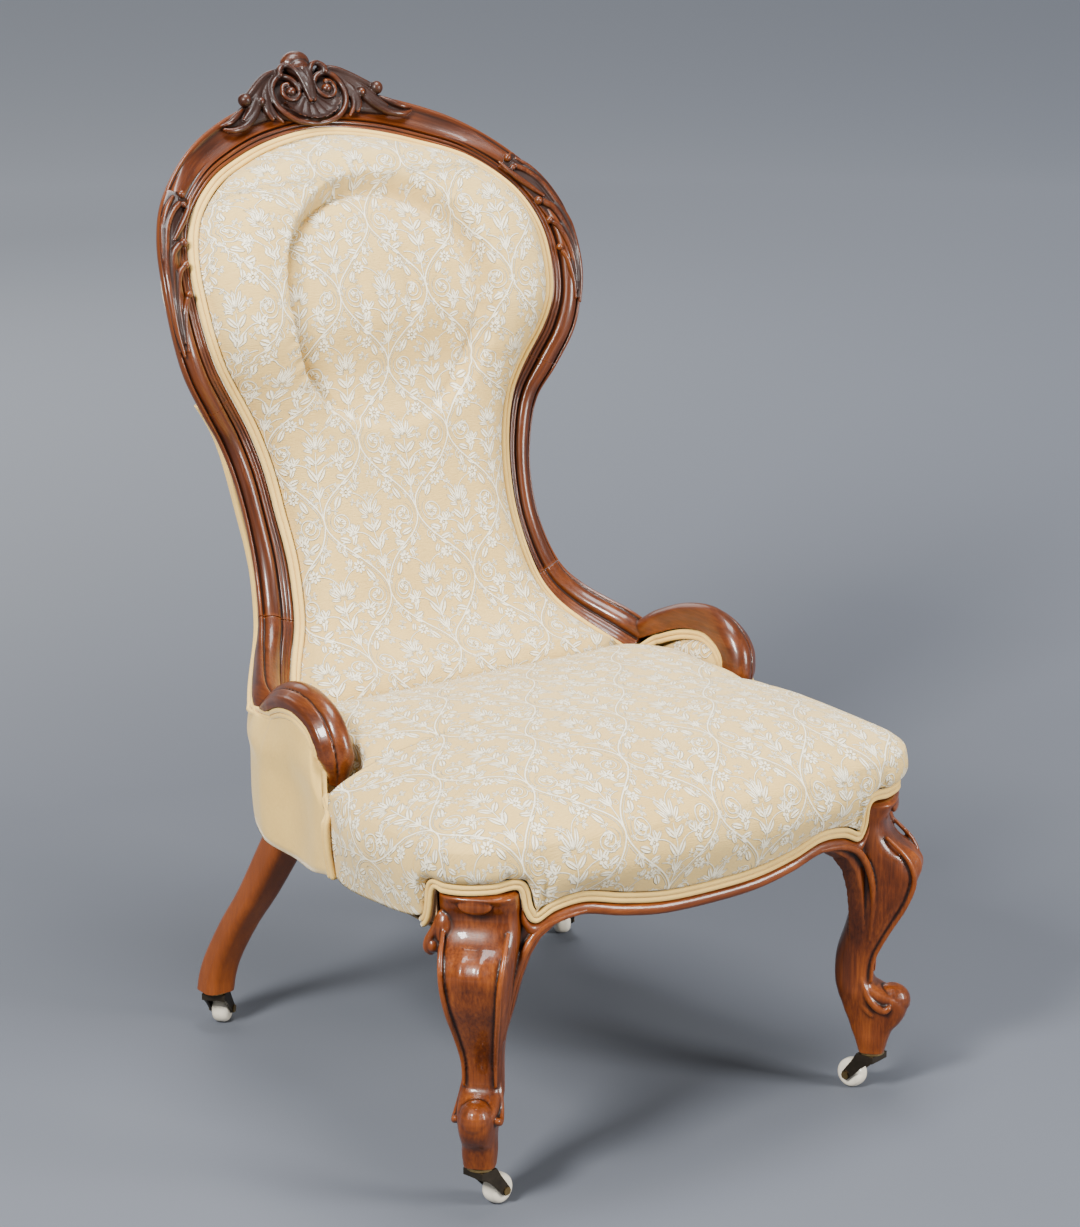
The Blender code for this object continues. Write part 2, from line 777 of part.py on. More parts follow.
BACK_POST_SIDE = 0.020
BACK_POST_HALF_SPAN = 0.167
BACK_POST_SETBACK = 0.041
BACK_POST_Y = BACK_START_Y + BACK_POST_SETBACK
BACK_POST_LEAN = 0.012
ARM_POST_LENGTH = 0.032
ARM_POST_THICKNESS = 0.010


def box_ring(x_range, y_range, level):
    return [Vector((x, y, level)) for x, y in ((x_range[0], y_range[0]), (x_range[1], y_range[0]),
                                              (x_range[1], y_range[1]), (x_range[0], y_range[1]))]


def back_post_rings(side, grow=0.0):
    half = BACK_POST_SIDE / 2 + grow
    rings = []
    for level, lean in ((RAIL_TOP + GAP - grow, 0.0), (ARM_LEVEL - FRAME_DEPTH / 2 + grow, BACK_POST_LEAN)):
        middle = BACK_POST_Y + lean
        ring = box_ring((BACK_POST_HALF_SPAN - half, BACK_POST_HALF_SPAN + half),
                        (middle - half, middle + half), level)
        rings.append(mirror_ring(ring, side))
    return rings


def make_back_post(word, side, arm_space):
    """Upright inside the covers, from the seat frame to the underside of the arm and stile."""
    post = loft("back_post_" + word, back_post_rings(side), (BEECH, 0.6))
    for space in arm_space:
        combine(post, space, "DIFFERENCE")
    return post


ARM_POST_X = ARM_HALF_WIDTH - ARM_SECTION_WIDTH / 2 + ARM_PAD_THICKNESS + 2 * GAP
ARM_POST_Y = ARM_BACK_Y - ARM_REACH * 0.80


def make_arm_post(word, side, arm_space):
    """Front arm support on the side rail, under the scroll's tip."""
    rings = []
    for level in (RAIL_TOP + GAP, ARM_LOW + ARM_HEIGHT * 0.75):
        ring = box_ring((ARM_POST_X, ARM_POST_X + ARM_POST_THICKNESS),
                        (ARM_POST_Y, ARM_POST_Y + ARM_POST_LENGTH), level)
        rings.append(mirror_ring(ring, side))
    post = loft("arm_post_" + word, rings, (BEECH, 0.6))
    for space in arm_space:
        combine(post, space, "DIFFERENCE")
    return post


TACK_RAIL_HEIGHT = 0.030
TACK_RAIL_LEVEL = 0.334


def make_tacking_rail():
    """Cross bar between the back posts that the covers are tacked to."""
    half_span = BACK_POST_HALF_SPAN - BACK_POST_SIDE / 2 - GAP
    y_range = (BACK_POST_Y + BACK_POST_SIDE / 5, BACK_POST_Y + BACK_POST_SIDE / 2)
    rings = [box_ring((-half_span, half_span), y_range, level)
             for level in (TACK_RAIL_LEVEL, TACK_RAIL_LEVEL + TACK_RAIL_HEIGHT)]
    return loft("tacking_rail", rings, (BEECH, 0.6))


# Upholstery

WELT_SECTION_SHARES = ((-1.0, 0.0), (-0.5, 1.0), (0.0, 0.45), (0.5, 1.0),
                       (1.0, 0.0), (0.5, -1.0), (-0.5, -1.0))


def welt_ring(centre, aside, outward):
    return [centre + aside * (a * WELT_WIDTH / 2) + outward * (o * WELT_THICKNESS / 2)
            for a, o in WELT_SECTION_SHARES]


WELT_LEVEL_SHARE = -0.02


def inner_welt_ring(place):
    """Welt inside the show frame's inner edge."""
    outer, width, across, facing = frame_at(place)
    centre = outer + across * (width + GAP + WELT_WIDTH / 2) + facing * (WELT_LEVEL_SHARE * FRAME_DEPTH)
    return welt_ring(centre, across, facing)


SCROLL_WELT_START = 2.5
SCROLL_WELT_END = 9
CURL_TURN = 7


def scroll_welt_ring(place, face):
    """Welt against the scroll, on its inner face (-1) or its outer face (1)."""
    spot, radial = ridge_at(place)
    if face < 0:
        centre = scroll_point(place, -1.0, -SCROLL_INNER_SHARE, -3 * GAP - WELT_WIDTH / 2, WELT_THICKNESS / 2)
    else:
        centre = scroll_point(place, 1.0, -SCROLL_SIDE_SHARE, -GAP - WELT_WIDTH / 2, -WELT_THICKNESS / 2)
    return welt_ring(centre, -radial, Vector((face, 0.0, 0.0)))


def curl_places():
    """Places along the inside of the scroll, sparser where it curls tightest."""
    return stations(SCROLL_WELT_START, CURL_TURN, STATION_STEP) + [SCROLL_WELT_END]


def make_back_welt():
    """Double welt round the inside of the show frame and on round both scrolls to their tips."""
    half = [inner_welt_ring(p) for p in stations(0, WELT_STATIONS, STATION_STEP)]
    half += [scroll_welt_ring(p, -1) for p in curl_places()]
    rings = [mirror_ring(ring, -1) for ring in half[:0:-1]] + half
    return loft("back_piping", rings, (VELVET, 0.9))


def make_scroll_welt(word, side):
    rings = [mirror_ring(scroll_welt_ring(p, 1), side)
             for p in stations(SCROLL_WELT_START, SCROLL_WELT_END, STATION_STEP)]
    return loft("arm_piping_" + word, rings, (VELVET, 0.9))


def seat_welt_ring(place):
    side = -1 if place < 0 else 1
    outward, aside = hem_frame(abs(place))
    centre = hem_at(abs(place)) + UP * wood_level(abs(place)) - outward * (WELT_THICKNESS / 2)
    centre += aside * (WELT_WIDTH / 2 + GAP)
    return mirror_ring(welt_ring(centre, aside, outward), side)


def make_seat_welt():
    half = stations(0, WELT_END, STATION_STEP)
    rings = [seat_welt_ring(-p) for p in half[:0:-1]] + [seat_welt_ring(p) for p in half]
    return loft("seat_piping", rings, (VELVET, 0.9))


# Sitting parts

SEAT_MIDDLE_SHARE = 0.5
SEAT_REAR_Y = SEAT_FRONT_Y + SEAT_DEPTH
DOME_POWER = 2.6
DOME_FULLNESS = 0.8
SEAT_RING_SHARES = (0.3, 0.55, 0.76, 0.90)


def seat_outline():
    """The seat's edge from the front middle round to the right and back: edge point with its level,
    outward direction, how far the fabric swells out, its shoulder's level, and the hem in plan."""
    low = wood_level(HEM_LAST) + 3 * GAP
    rail_top = RAIL_TOP + GAP
    points = []
    for p in stations(0, WELT_END, STATION_STEP):
        outward, aside = hem_frame(p)
        edge = hem_at(p) + UP * wood_level(p) + aside * (WELT_WIDTH + 5 * GAP)
        over_front = 1 - smooth_step((edge.x / SEAT_HALF_WIDTH - 0.48) * 3)
        over_side = smooth_step(((edge.y - SEAT_FRONT_Y) / SEAT_DEPTH - 0.10) * 4)
        swell = BELLY_OVER_LEG + (1 - BELLY_OVER_LEG) * max(over_front, over_side)
        points.append((edge, outward, swell, SHOULDER_LEVEL, hem_at(p)))
    for p in (14, HEM_LAST):
        points.append((hem_at(p) + UP * low, hem_frame(p)[0], 1.0, SHOULDER_LEVEL, hem_at(p)))
    corner, outward = points[-1][:2]
    front_y = corner.y + RAIL_THICKNESS
    length = SEAT_REAR_Y - front_y
    rest = [(corner.x, corner.y + GAP, outward, 0.6, SHOULDER_LEVEL),
            (corner.x - 2 * SKIRT, corner.y + 2 * GAP, outward, 0.0, SHOULDER_LEVEL)]
    for share in (0.0, 0.35, 0.7):
        rest.append((SEAT_REAR_HALF_WIDTH, front_y + length * share, Vector((1, 0, 0)), 0.0, SEAT_REAR_LEVEL))
    for share in (0.86, 0.6, 0.3, 0.0):
        rest.append((SEAT_REAR_HALF_WIDTH * share, SEAT_REAR_Y, Vector((0, 1, 0)), 0.0, SEAT_REAR_LEVEL))
    for x, y, outward, swell, level in rest:
        point = Vector((x, y, rail_top))
        points.append((point, outward, swell, level, point))
    mirrored = [(MIRROR @ p, MIRROR @ o, swell, level, MIRROR @ plan)
                for p, o, swell, level, plan in points[-2:0:-1]]
    return points + mirrored


def make_seat_cushion():
    """Domed stuffing over the springs, with a belly over the rails and a skirt down to the hem."""
    outline = seat_outline()
    centre = Vector((0.0, SEAT_FRONT_Y + SEAT_DEPTH * SEAT_MIDDLE_SHARE, 0.0))
    bellies = []
    shoulders = []
    for p, outward, swell, level, _ in outline:
        flat = Vector((p.x, p.y, 0.0))
        widest = max(BELLY_LEVEL, p.z + WELT_WIDTH)
        bellies.append(flat + outward * (BELLY * swell) + UP * widest)
        shoulders.append((flat + outward * (BELLY * swell * 0.5), level))
    rings = []
    for share in SEAT_RING_SHARES:
        rise = (1 - share ** DOME_POWER) ** DOME_FULLNESS
        rings.append([centre + (p - centre) * share + UP * (level + (DOME_LEVEL - level) * rise)
                      for p, level in shoulders])
    rings.append([p + UP * level for p, level in shoulders])
    rings.append(bellies)
    rings.append([p for p, _, _, _, _ in outline])
    rings.append([p - outward * SKIRT for p, outward, _, _, _ in outline])
    over_rail = [plan - outward * SKIRT for _, outward, _, _, plan in outline]
    well = [p - outward * (RAIL_THICKNESS + 3 * GAP) for p, (_, outward, _, _, _) in zip(over_rail, outline)]
    for points, level in ((over_rail, RAIL_TOP + GAP), (well, RAIL_TOP + GAP), (well, SPRING_SEAT_LEVEL)):
        rings.append([Vector((p.x, p.y, level)) for p in points])
    bm = bmesh.new()
    skin(bm, rings)
    bm.faces.ensure_lookup_table()
    for face in [f for f in bm.faces if len(f.verts) > 4]:
        level = sum(v.co.z for v in face.verts) / len(face.verts)
        if level > SPRING_SEAT_LEVEL + OVERRUN:
            poked = bmesh.ops.poke(bm, faces=[face])
            poked["verts"][0].co = centre + UP * DOME_LEVEL
    return add_object("seat_cushion", bm, (DAMASK, 0.9))


PAD_COLUMNS = 18
PAD_BORDER_SHARE = -0.22
PAD_FOOT_LEVEL = RAIL_TOP + 3 * GAP
PAD_FOOT_WIDTH = 0.97


def pad_border(place, extra, depth_share):
    return frame_point(place, 2 * GAP + extra, depth_share * FRAME_DEPTH, True)


def recess(point):
    """Depth of the horseshoe recess at a point of the pad."""
    x = point.x / RECESS_HALF_WIDTH
    z = (point.z - RECESS_LEVEL) / RECESS_RISE
    radius = math.hypot(x, z if z > 0 else z * 0.55)
    inside = smooth_step((1 - radius) * RECESS_HALF_WIDTH / CREASE_WIDTH + 0.5)
    return RECESS_DEPTH * inside * smooth_step(z + 1.6)


def make_back_pad(post_spaces):
    """Crowned back pad with a plump rim and a horseshoe recess, held inside the show frame."""
    rows_at = stations(0, PAD_END, STATION_STEP)
    borders = [pad_border(p, WELT_WIDTH + GAP, PAD_BORDER_SHARE) for p in rows_at]
    rows = []
    backs = []
    for p in rows_at:
        edge = pad_border(p, 0.0, PAD_BORDER_SHARE)
        start = pad_border(p, WELT_WIDTH + GAP, PAD_BORDER_SHARE)
        facing = frame_at(p)[3]
        lean = Vector((0.0, facing.y, facing.z)).normalized()
        row = [edge]
        for i in range(PAD_COLUMNS + 1):
            share = i / PAD_COLUMNS
            point = Vector((start.x * (1 - 2 * share), start.y, start.z))
            reach = min((point - mirror).length for b in borders for mirror in (b, MIRROR @ b))
            rise = min(reach / PAD_ROLL, 1.0)
            crown = PAD_CROWN * math.sqrt(1 - (1 - rise) ** 2)
            row.append(point + lean * (crown - recess(point)))
        row.append(MIRROR @ edge)
        rows.append(row)
        back = pad_border(p, 0.0, -1.0) + frame_at(p)[3] * GAP
        backs.append([back, MIRROR @ back])
    foot = rows[-1]
    sunk = [Vector((p.x * PAD_FOOT_WIDTH, max(min(p.y, SEAT_REAR_Y + PAD_CROWN), SEAT_REAR_Y + 2 * GAP),
                    PAD_FOOT_LEVEL)) for p in foot]
    for row in rows:
        for i, p in enumerate(row):
            if p.z < DOME_LEVEL + OVERRUN:
                row[i] = Vector((p.x, max(p.y, SEAT_REAR_Y + 2 * GAP), p.z))
    rows.append(sunk)
    foot_back = Vector((backs[-1][0].x * PAD_FOOT_WIDTH, backs[-1][0].y, PAD_FOOT_LEVEL))
    backs.append([foot_back, MIRROR @ foot_back])
    bm = bmesh.new()
    front = [[bm.verts.new(p) for p in row] for row in rows]
    rear = [[bm.verts.new(p) for p in row] for row in backs]
    for r in range(len(rows) - 1):
        a, b = front[r], front[r + 1]
        for i in range(len(a) - 1):
            bm.faces.new((a[i], a[i + 1], b[i + 1], b[i]))
        bm.faces.new((rear[r][0], rear[r + 1][0], rear[r + 1][1], rear[r][1]))
        bm.faces.new((a[0], b[0], rear[r + 1][0], rear[r][0]))
        bm.faces.new((a[-1], rear[r][1], rear[r + 1][1], b[-1]))
    bm.faces.new(front[-1] + rear[-1][::-1])
    bm.faces.new(front[0][::-1] + rear[0])
    pad = add_object("back_pad", bm, (DAMASK, 0.9))
    for space in post_spaces:
        combine(pad, space, "DIFFERENCE")
    return pad


GAP_AT_SEAM = 0.13


def outside_rows(depth):
    """Half rows of the outside back at a depth behind the frame: outer edge to the middle."""
    rows = []
    for p in stations(0, ARM_JOINT, STATION_STEP):
        width = frame_at(p)[1]
        lip = back_inset(p) * width + GAP
        if p == ARM_JOINT:
            lip += COVER_THICKNESS + 2 * GAP
        outer = frame_point(p, lip, -FRAME_DEPTH - 4 * GAP - depth)
        inner = frame_point(p, 0.0, -FRAME_DEPTH - 4 * GAP - depth, True)
        rows.append([outer] + [Vector((inner.x * share, inner.y, inner.z)) for share in (1.0, 0.5, 0.0)])
    low = UP * wood_level(HEM_LAST)
    foot = [skirt_at(SIDE_PANEL_END + i, COVER_THICKNESS - depth) + low for i in (GAP_AT_SEAM, 1, 2, 3)]
    rail_row = [point + UP * (RAIL_TOP + OVERRUN - low.z) for point in foot]
    middle_row = [a.lerp(b, 0.5) for a, b in zip(rows[-1], rail_row)]
    outward = outward_at(SKIRT_PLAN, SIDE_PANEL_END)
    for i in range(3):
        middle_row[i] += outward * (COVER_THICKNESS * PANEL_SWELL * (1 - i / 3))
    return rows + [middle_row, rail_row, foot]


def make_outside_back():
    """Plain cover behind the frame and the pad, down to the hem at the back."""
    rings = []
    for near, far in zip(outside_rows(0.0), outside_rows(COVER_THICKNESS)):
        front = near + [MIRROR @ p for p in near[-2::-1]]
        back = far + [MIRROR @ p for p in far[-2::-1]]
        rings.append(front + back[::-1])
    return loft("outside_back", rings, (VELVET, 0.9))


NOTCH_PLACE = 17
PANEL_GAP = 0.2
PANEL_SWELL = 0.5


def panel_tops(inset):
    """Upper edge of the outside arm cover, under the scroll from its tip and then under the rail."""
    tip = RIDGE[-1] - UP * (2 * GAP)
    tip.x = ARM_HALF_WIDTH + ARM_SECTION_WIDTH / 2 - inset
    tops = [tip]
    for place in curl_places()[::-1]:
        depth = ARM_SECTION_DEPTH * scroll_size(place)
        drop = max(depth, depth * SCROLL_SIDE_SHARE + WELT_WIDTH + GAP) + 7 * GAP
        tops.append(scroll_point(place, 1.0, 0.0, -drop, -inset))
    for place in stations(ARM_JOINT + PANEL_GAP, NOTCH_PLACE, STATION_STEP)[::-1]:
        lip = back_inset(place) * frame_at(place)[1]
        tops.append(frame_point(place, lip + inset, -FRAME_DEPTH - COVER_THICKNESS))
    return tops


def make_side_panel(word, side):
    """Outside arm cover from under the scroll down to the hem and back to the outside back."""
    low = wood_level(HEM_LAST)
    faces = []
    for inset in (0.0, COVER_THICKNESS):
        tops = panel_tops(inset)
        face = []
        for i, top in enumerate(tops):
            place = (SIDE_PANEL_END - PANEL_GAP / 2) * i / (len(tops) - 1)
            outward = outward_at(SKIRT_PLAN, place)
            foot = skirt_at(place, inset)
            turn = foot + UP * (RAIL_TOP + OVERRUN)
            middle = top.lerp(turn, 0.5) + outward * (COVER_THICKNESS * PANEL_SWELL)
            face.append([top, middle, turn, foot + UP * low])
        faces.append(face)
    rings = [mirror_ring(outer + inner[::-1], side) for outer, inner in zip(*faces)]
    return loft("outside_arm_" + word, rings, (VELVET, 0.9))


def make_arm_pad(word, side):
    """Small inner arm pad inside the scroll."""
    rings = []
    for p in curl_places():
        top = scroll_point(p, -1.0, -SCROLL_INNER_SHARE, -WELT_WIDTH - 5 * GAP)
        top.x = ARM_HALF_WIDTH - ARM_SECTION_WIDTH / 2
        foot = Vector((top.x, top.y, RAIL_TOP + 3 * GAP))
        middle = top.lerp(foot, 0.5)
        thick = Vector((ARM_PAD_THICKNESS, 0.0, 0.0))
        bulge = Vector((-ARM_PAD_THICKNESS * 0.25, 0.0, 0.0))
        rings.append(mirror_ring([top, middle + bulge, foot, foot + thick, top + thick], side))
    return loft("inner_arm_pad_" + word, rings, (DAMASK, 0.9))


def make_bottom_cloth(holes):
    """Hessian under the seat frame, cut round the four legs."""
    inset = RAIL_INSET + GAP
    half = [hem_at(p, inset + RAIL_THICKNESS / 2) for p in range(FRONT_RAIL_END + 1)]
    half += [hem_at(p, inset) for p in range(FRONT_RAIL_END + 2, HEM_LAST + 1)]
    half += [skirt_at(p, inset) for p in places(0.5, SKIRT_LAST, 14)]
    outline = half + [MIRROR @ p for p in half[-2:0:-1]]
    top = RAIL_BOTTOM - WEBBING_THICKNESS - 2 * GAP
    rings = [[p + UP * level for p in outline] for level in (top - CLOTH_THICKNESS, top)]
    cloth = loft("bottom_cloth", rings, (HESSIAN, 0.95))
    for hole in holes:
        combine(cloth, hole, "DIFFERENCE")
    return cloth


def make_webbing():
    """Two-way webbing under the rails that carries the springs."""
    top = RAIL_BOTTOM - GAP
    base = top - WEBBING_THICKNESS
    front = SEAT_FRONT_Y + SKIRT + RAIL_THICKNESS
    rear = skirt_at(SKIRT_LAST, RAIL_INSET + RAIL_THICKNESS / 2).y
    half_width = SEAT_HALF_WIDTH - RAIL_INSET - RAIL_THICKNESS / 2
    strip = WEBBING_WIDTH / 2
    middle = SEAT_FRONT_Y + SEAT_DEPTH * SEAT_MIDDLE_SHARE
    strips = []
    for i in (-1, 0, 1):
        x = i * WEBBING_PITCH
        length = rear if i == 0 else rear - WEBBING_WIDTH / 2
        strips.append(((x - strip, x + strip), (front, length)))
    for i in (-1, 1):
        y = middle + i * WEBBING_PITCH * 0.8
        span = half_width if i < 0 else half_width - WEBBING_WIDTH / 2
        strips.append(((-span, span), (y - strip, y + strip)))
    web = None
    for index, (x_range, y_range) in enumerate(strips):
        rings = [box_ring(x_range, y_range, level) for level in (base, top)]
        if web is None:
            web = loft("seat_webbing", rings, (WEBBING, 0.95))
        else:
            combine(web, cutter("webbing_strip_" + str(index), rings), "UNION")
    return web


def make_spring(name, x, y):
    """Hourglass seat spring as one unbroken wire."""
    steps = 8 * SPRING_TURNS
    low = RAIL_BOTTOM + SPRING_WIRE / 2
    high = SPRING_SEAT_LEVEL - GAP - SPRING_WIRE / 2
    rings = []
    points = []
    for i in range(steps + 1):
        share = i / steps
        angle = 2 * math.pi * SPRING_TURNS * share
        waist = math.cos(math.pi * (2 * share - 1) / 2) ** 2
        radius = SPRING_RADIUS - (SPRING_RADIUS - SPRING_WAIST) * waist
        points.append(Vector((x + radius * math.cos(angle), y + radius * math.sin(angle),
                              low + (high - low) * share)))
    for i, point in enumerate(points):
        tangent = points[min(i + 1, steps)] - points[max(i - 1, 0)]
        outward = Vector((point.x - x, point.y - y, 0.0)).normalized()
        upward = tangent.cross(outward).normalized()
        ring = []
        for k in range(SPRING_SIDES):
            angle = 2 * math.pi * k / SPRING_SIDES
            ring.append(point + outward * (math.cos(angle) * SPRING_WIRE / 2)
                        + upward * (math.sin(angle) * SPRING_WIRE / 2))
        rings.append(ring)
    return loft(name, rings, (STEEL, 0.45, 1.0))


# Carving, each piece cut to sit on the frame that carries it

# Place as a share of the half span, top as a share of the crest's height above the frame's
# outer edge, bottom as a share of the face's width, relief as a share of the carving's depth
CREST_SHARES = (
    (0.0, 1.0, 0.80, 1.0),
    (0.09, 0.95, 0.82, 0.75),
    (0.15, 0.66, 0.80, 0.95),
    (0.24, 0.55, 0.74, 0.65),
    (0.34, 0.50, 0.66, 1.0),
    (0.45, 0.32, 0.62, 0.65),
    (0.55, 0.22, 0.60, 0.90),
    (0.62, 0.28, 0.56, 0.95),
    (0.70, 0.10, 0.55, 0.55),
    (0.80, -0.12, 0.54, 0.80),
    (0.90, -0.25, 0.52, 0.55),
    (1.0, -0.33, 0.48, 0.30),
)
# Place as a share of the run, near and far edge as shares of the face's width, and relief
SHOULDER_SHARES = (
    (0.0, 0.30, 0.55, 0.4),
    (0.08, 0.12, 0.72, 1.0),
    (0.20, 0.22, 0.66, 0.6),
    (0.32, 0.10, 0.78, 1.0),
    (0.45, 0.16, 0.74, 0.7),
    (0.58, 0.12, 0.70, 0.9),
    (0.72, 0.18, 0.64, 0.6),
    (0.86, 0.24, 0.56, 0.7),
    (1.0, 0.34, 0.48, 0.3),
)
SHOULDER_START = 3.6
SHOULDER_END = 7.6
CREST_END = 1.9


def relief_ring(place, near, far, front, back):
    """Cross-section of a carved strip: rounded in front, flat behind, in metres on the frame."""
    outer, width, across, facing = frame_at(place)
    middle = (near + far) / 2
    quarter = (far - near) / 4
    outline = ((near, back), (near, front / 2), (middle - quarter, front), (middle, front * 0.8),
               (middle + quarter, front), (far, front / 2), (far, back))
    return [outer + across * u + facing * n for u, n in outline]


def make_crest_carving(rail_space):
    back = -FRAME_DEPTH / 5
    rings = []
    for share, top, bottom, relief in CREST_SHARES:
        place = share * CREST_END
        width = frame_at(place)[1]
        front = FRAME_DEPTH * 0.19 + CARVING_DEPTH * relief
        rings.append(relief_ring(place, -top * CREST_HEIGHT, bottom * width, front, back))
    rings = [mirror_ring(ring, -1) for ring in rings[:0:-1]] + rings
    carving = loft("crest_carving", rings, (WALNUT, 0.28))
    combine(carving, rail_space, "DIFFERENCE")
    return carving


def make_shoulder_carving(word, side, rail_space):
    rings = []
    for share, near, far, relief in SHOULDER_SHARES:
        place = SHOULDER_START + share * (SHOULDER_END - SHOULDER_START)
        width = frame_at(place)[1]
        front = FRAME_DEPTH * 0.19 + CARVING_DEPTH / 2 * relief
        rings.append(mirror_ring(relief_ring(place, near * width, far * width, front, 0.0), side))
    carving = loft("shoulder_carving_" + word, rings, (WALNUT, 0.28))
    combine(carving, rail_space, "DIFFERENCE")
    return carving


# Upright welt's middle line: share of the way from the hem to the scroll's tip, and of its height
SIDE_WELT_SHARES = ((0.0, 0.0), (0.0, 0.35), (0.0, 0.66), (0.06, 0.80), (0.38, 0.89), (0.78, 1.0))


def make_side_welt(word, side):
    """Upright welt between the seat's side and the outside arm cover."""
    hem = hem_at(HEM_LAST)
    tip = RIDGE[-1]
    foot = Vector((hem.x - WELT_THICKNESS / 2, (hem.y + skirt_at(0).y) / 2, wood_level(HEM_LAST) + GAP))
    top = Vector((ARM_HALF_WIDTH + ARM_SECTION_WIDTH / 2 - WELT_THICKNESS / 2, tip.y - WELT_WIDTH / 2,
                  tip.z - GAP))
    line = [Vector((foot.x + (top.x - foot.x) * back, foot.y + (top.y - foot.y) * back,
                    foot.z + (top.z - foot.z) * rise)) for back, rise in SIDE_WELT_SHARES]
    rings = []
    for p in places(0, len(line) - 1, 10):
        run = curve_at(line, p + LOOK_AHEAD) - curve_at(line, p - LOOK_AHEAD)
        aside = Vector((0.0, run.z, -run.y)).normalized()
        rings.append(mirror_ring(welt_ring(curve_at(line, p), aside, Vector((1, 0, 0))), side))
    return loft("side_piping_" + word, rings, (VELVET, 0.9))


# Castors, each built about its own swivel line with the wheel trailing along +X

WHEEL_SEGMENTS = 20
PLATE_SEGMENTS = 14
AXLE_SEGMENTS = 8
WHEEL_RADIUS = WHEEL_DIAMETER / 2
HORN_INNER = WHEEL_WIDTH / 2 + 2 * GAP
HORN_OUTER = HORN_INNER + HORN_THICKNESS
PLATE_BASE = CASTOR_HEIGHT - GAP - PLATE_THICKNESS
CROWN_TOP = PLATE_BASE - GAP
CROWN_BASE = CROWN_TOP - HORN_CROWN
BOSS_RADIUS = AXLE_DIAMETER
HORN_SHARES = ((-0.5, 0.0), (-0.5, -0.8), (-0.2, -1.05), (0.25, -1.9))


def circle(radius, level, segments, turn=0.0):
    return [Vector((radius * math.cos(a), radius * math.sin(a), level))
            for a in (2 * math.pi * (i + turn) / segments for i in range(segments))]


def along_y(ring):
    """Turn a ring about the X axis so that its axis lies along Y."""
    return [Vector((p.x, p.z, p.y)) for p in ring]


def part_of(item, parent):
    item.parent = parent
    return item


def make_plate(word, swivel):
    """Brass plate under the foot, with the pivot that the horn turns on."""
    pivot = PIVOT_DIAMETER / 2
    rings = [circle(pivot, CROWN_BASE + GAP, PLATE_SEGMENTS), circle(pivot, PLATE_BASE, PLATE_SEGMENTS),
             circle(PLATE_DIAMETER / 2, PLATE_BASE, PLATE_SEGMENTS),
             circle(PLATE_DIAMETER / 2, PLATE_BASE + PLATE_THICKNESS, PLATE_SEGMENTS)]
    return part_of(loft("castor_plate_" + word, rings, (BRASS, 0.4, 1.0)), swivel)


def horn_outline():
    """Side outline of the fork, from the crown down and round the axle boss."""
    points = [(x * HORN_WIDTH, CROWN_TOP + z * HORN_CROWN) for x, z in HORN_SHARES]
    for i in range(7):
        angle = math.pi * (1.2 + i / 6)
        points.append((CASTOR_TRAIL + BOSS_RADIUS * math.cos(angle),
                       WHEEL_RADIUS + BOSS_RADIUS * math.sin(angle)))
    points.append((HORN_WIDTH * 0.8, CROWN_BASE - AXLE_HEAD))
    points.append((HORN_WIDTH / 2, CROWN_TOP))
    return points


def make_horn(word, swivel):
    """Fork with a crown that turns under the plate and two cheeks for the axle."""
    outline = horn_outline()
    rings = [[Vector((x, y, z)) for x, z in outline] for y in (-HORN_OUTER, HORN_OUTER)]
    horn = part_of(loft("castor_horn_" + word, rings, (BRONZE, 0.45, 1.0)), swivel)
    reach = CASTOR_TRAIL + WHEEL_DIAMETER
    slot = cutter("horn_slot_" + word, [box_ring((-reach, reach), (-HORN_INNER, HORN_INNER), level)
                                        for level in (-OVERRUN, CROWN_BASE)])
    bore = cutter("horn_bore_" + word,
                  [[p + Vector((CASTOR_TRAIL, 0.0, WHEEL_RADIUS)) for p in
                    along_y(circle(AXLE_DIAMETER / 2 + GAP, y, AXLE_SEGMENTS))]
                   for y in (-HORN_OUTER - OVERRUN, HORN_OUTER + OVERRUN)])
    hole = cutter("horn_pivot_hole_" + word,
                  [circle(PIVOT_DIAMETER / 2 + GAP, level, PLATE_SEGMENTS)
                   for level in (CROWN_BASE - OVERRUN, CROWN_TOP + OVERRUN)])
    for tool in (slot, bore, hole):
        tool.parent = swivel
        combine(horn, tool, "DIFFERENCE")
    return horn


def make_axle(word, axle_line):
    """Pin through both cheeks and the wheel, with a flat head at each end."""
    shaft = AXLE_DIAMETER / 2
    head = shaft * 1.7
    face = HORN_OUTER + GAP
    runs = ((head, -face - AXLE_HEAD), (head, -face), (shaft, -face), (shaft, face), (head, face),
            (head, face + AXLE_HEAD))
    rings = [along_y(circle(radius, y, AXLE_SEGMENTS)) for radius, y in runs]
    return part_of(loft("castor_axle_" + word, rings, (BRASS, 0.4, 1.0)), axle_line)


WHEEL_PROFILE_SHARES = ((0.0, -1.0), (0.68, -1.0), (1.0, -0.42), (1.0, 0.42), (0.68, 1.0), (0.0, 1.0))


def make_wheel(word, axle_line):
    """Barrel wheel with its bore. A flat of the tread faces the floor."""
    bore = AXLE_DIAMETER / 2 + GAP
    rim = WHEEL_RADIUS / math.cos(math.pi / WHEEL_SEGMENTS)
    rings = []
    for i in range(WHEEL_SEGMENTS):
        angle = 2 * math.pi * (i + 0.5) / WHEEL_SEGMENTS + math.pi / 2
        rings.append([Vector(((bore + (rim - bore) * r) * math.cos(angle), y * WHEEL_WIDTH / 2,
                              (bore + (rim - bore) * r) * math.sin(angle)))
                      for r, y in WHEEL_PROFILE_SHARES])
    return part_of(loft("castor_wheel_" + word, rings, (CERAMIC, 0.18), closed=True), axle_line)


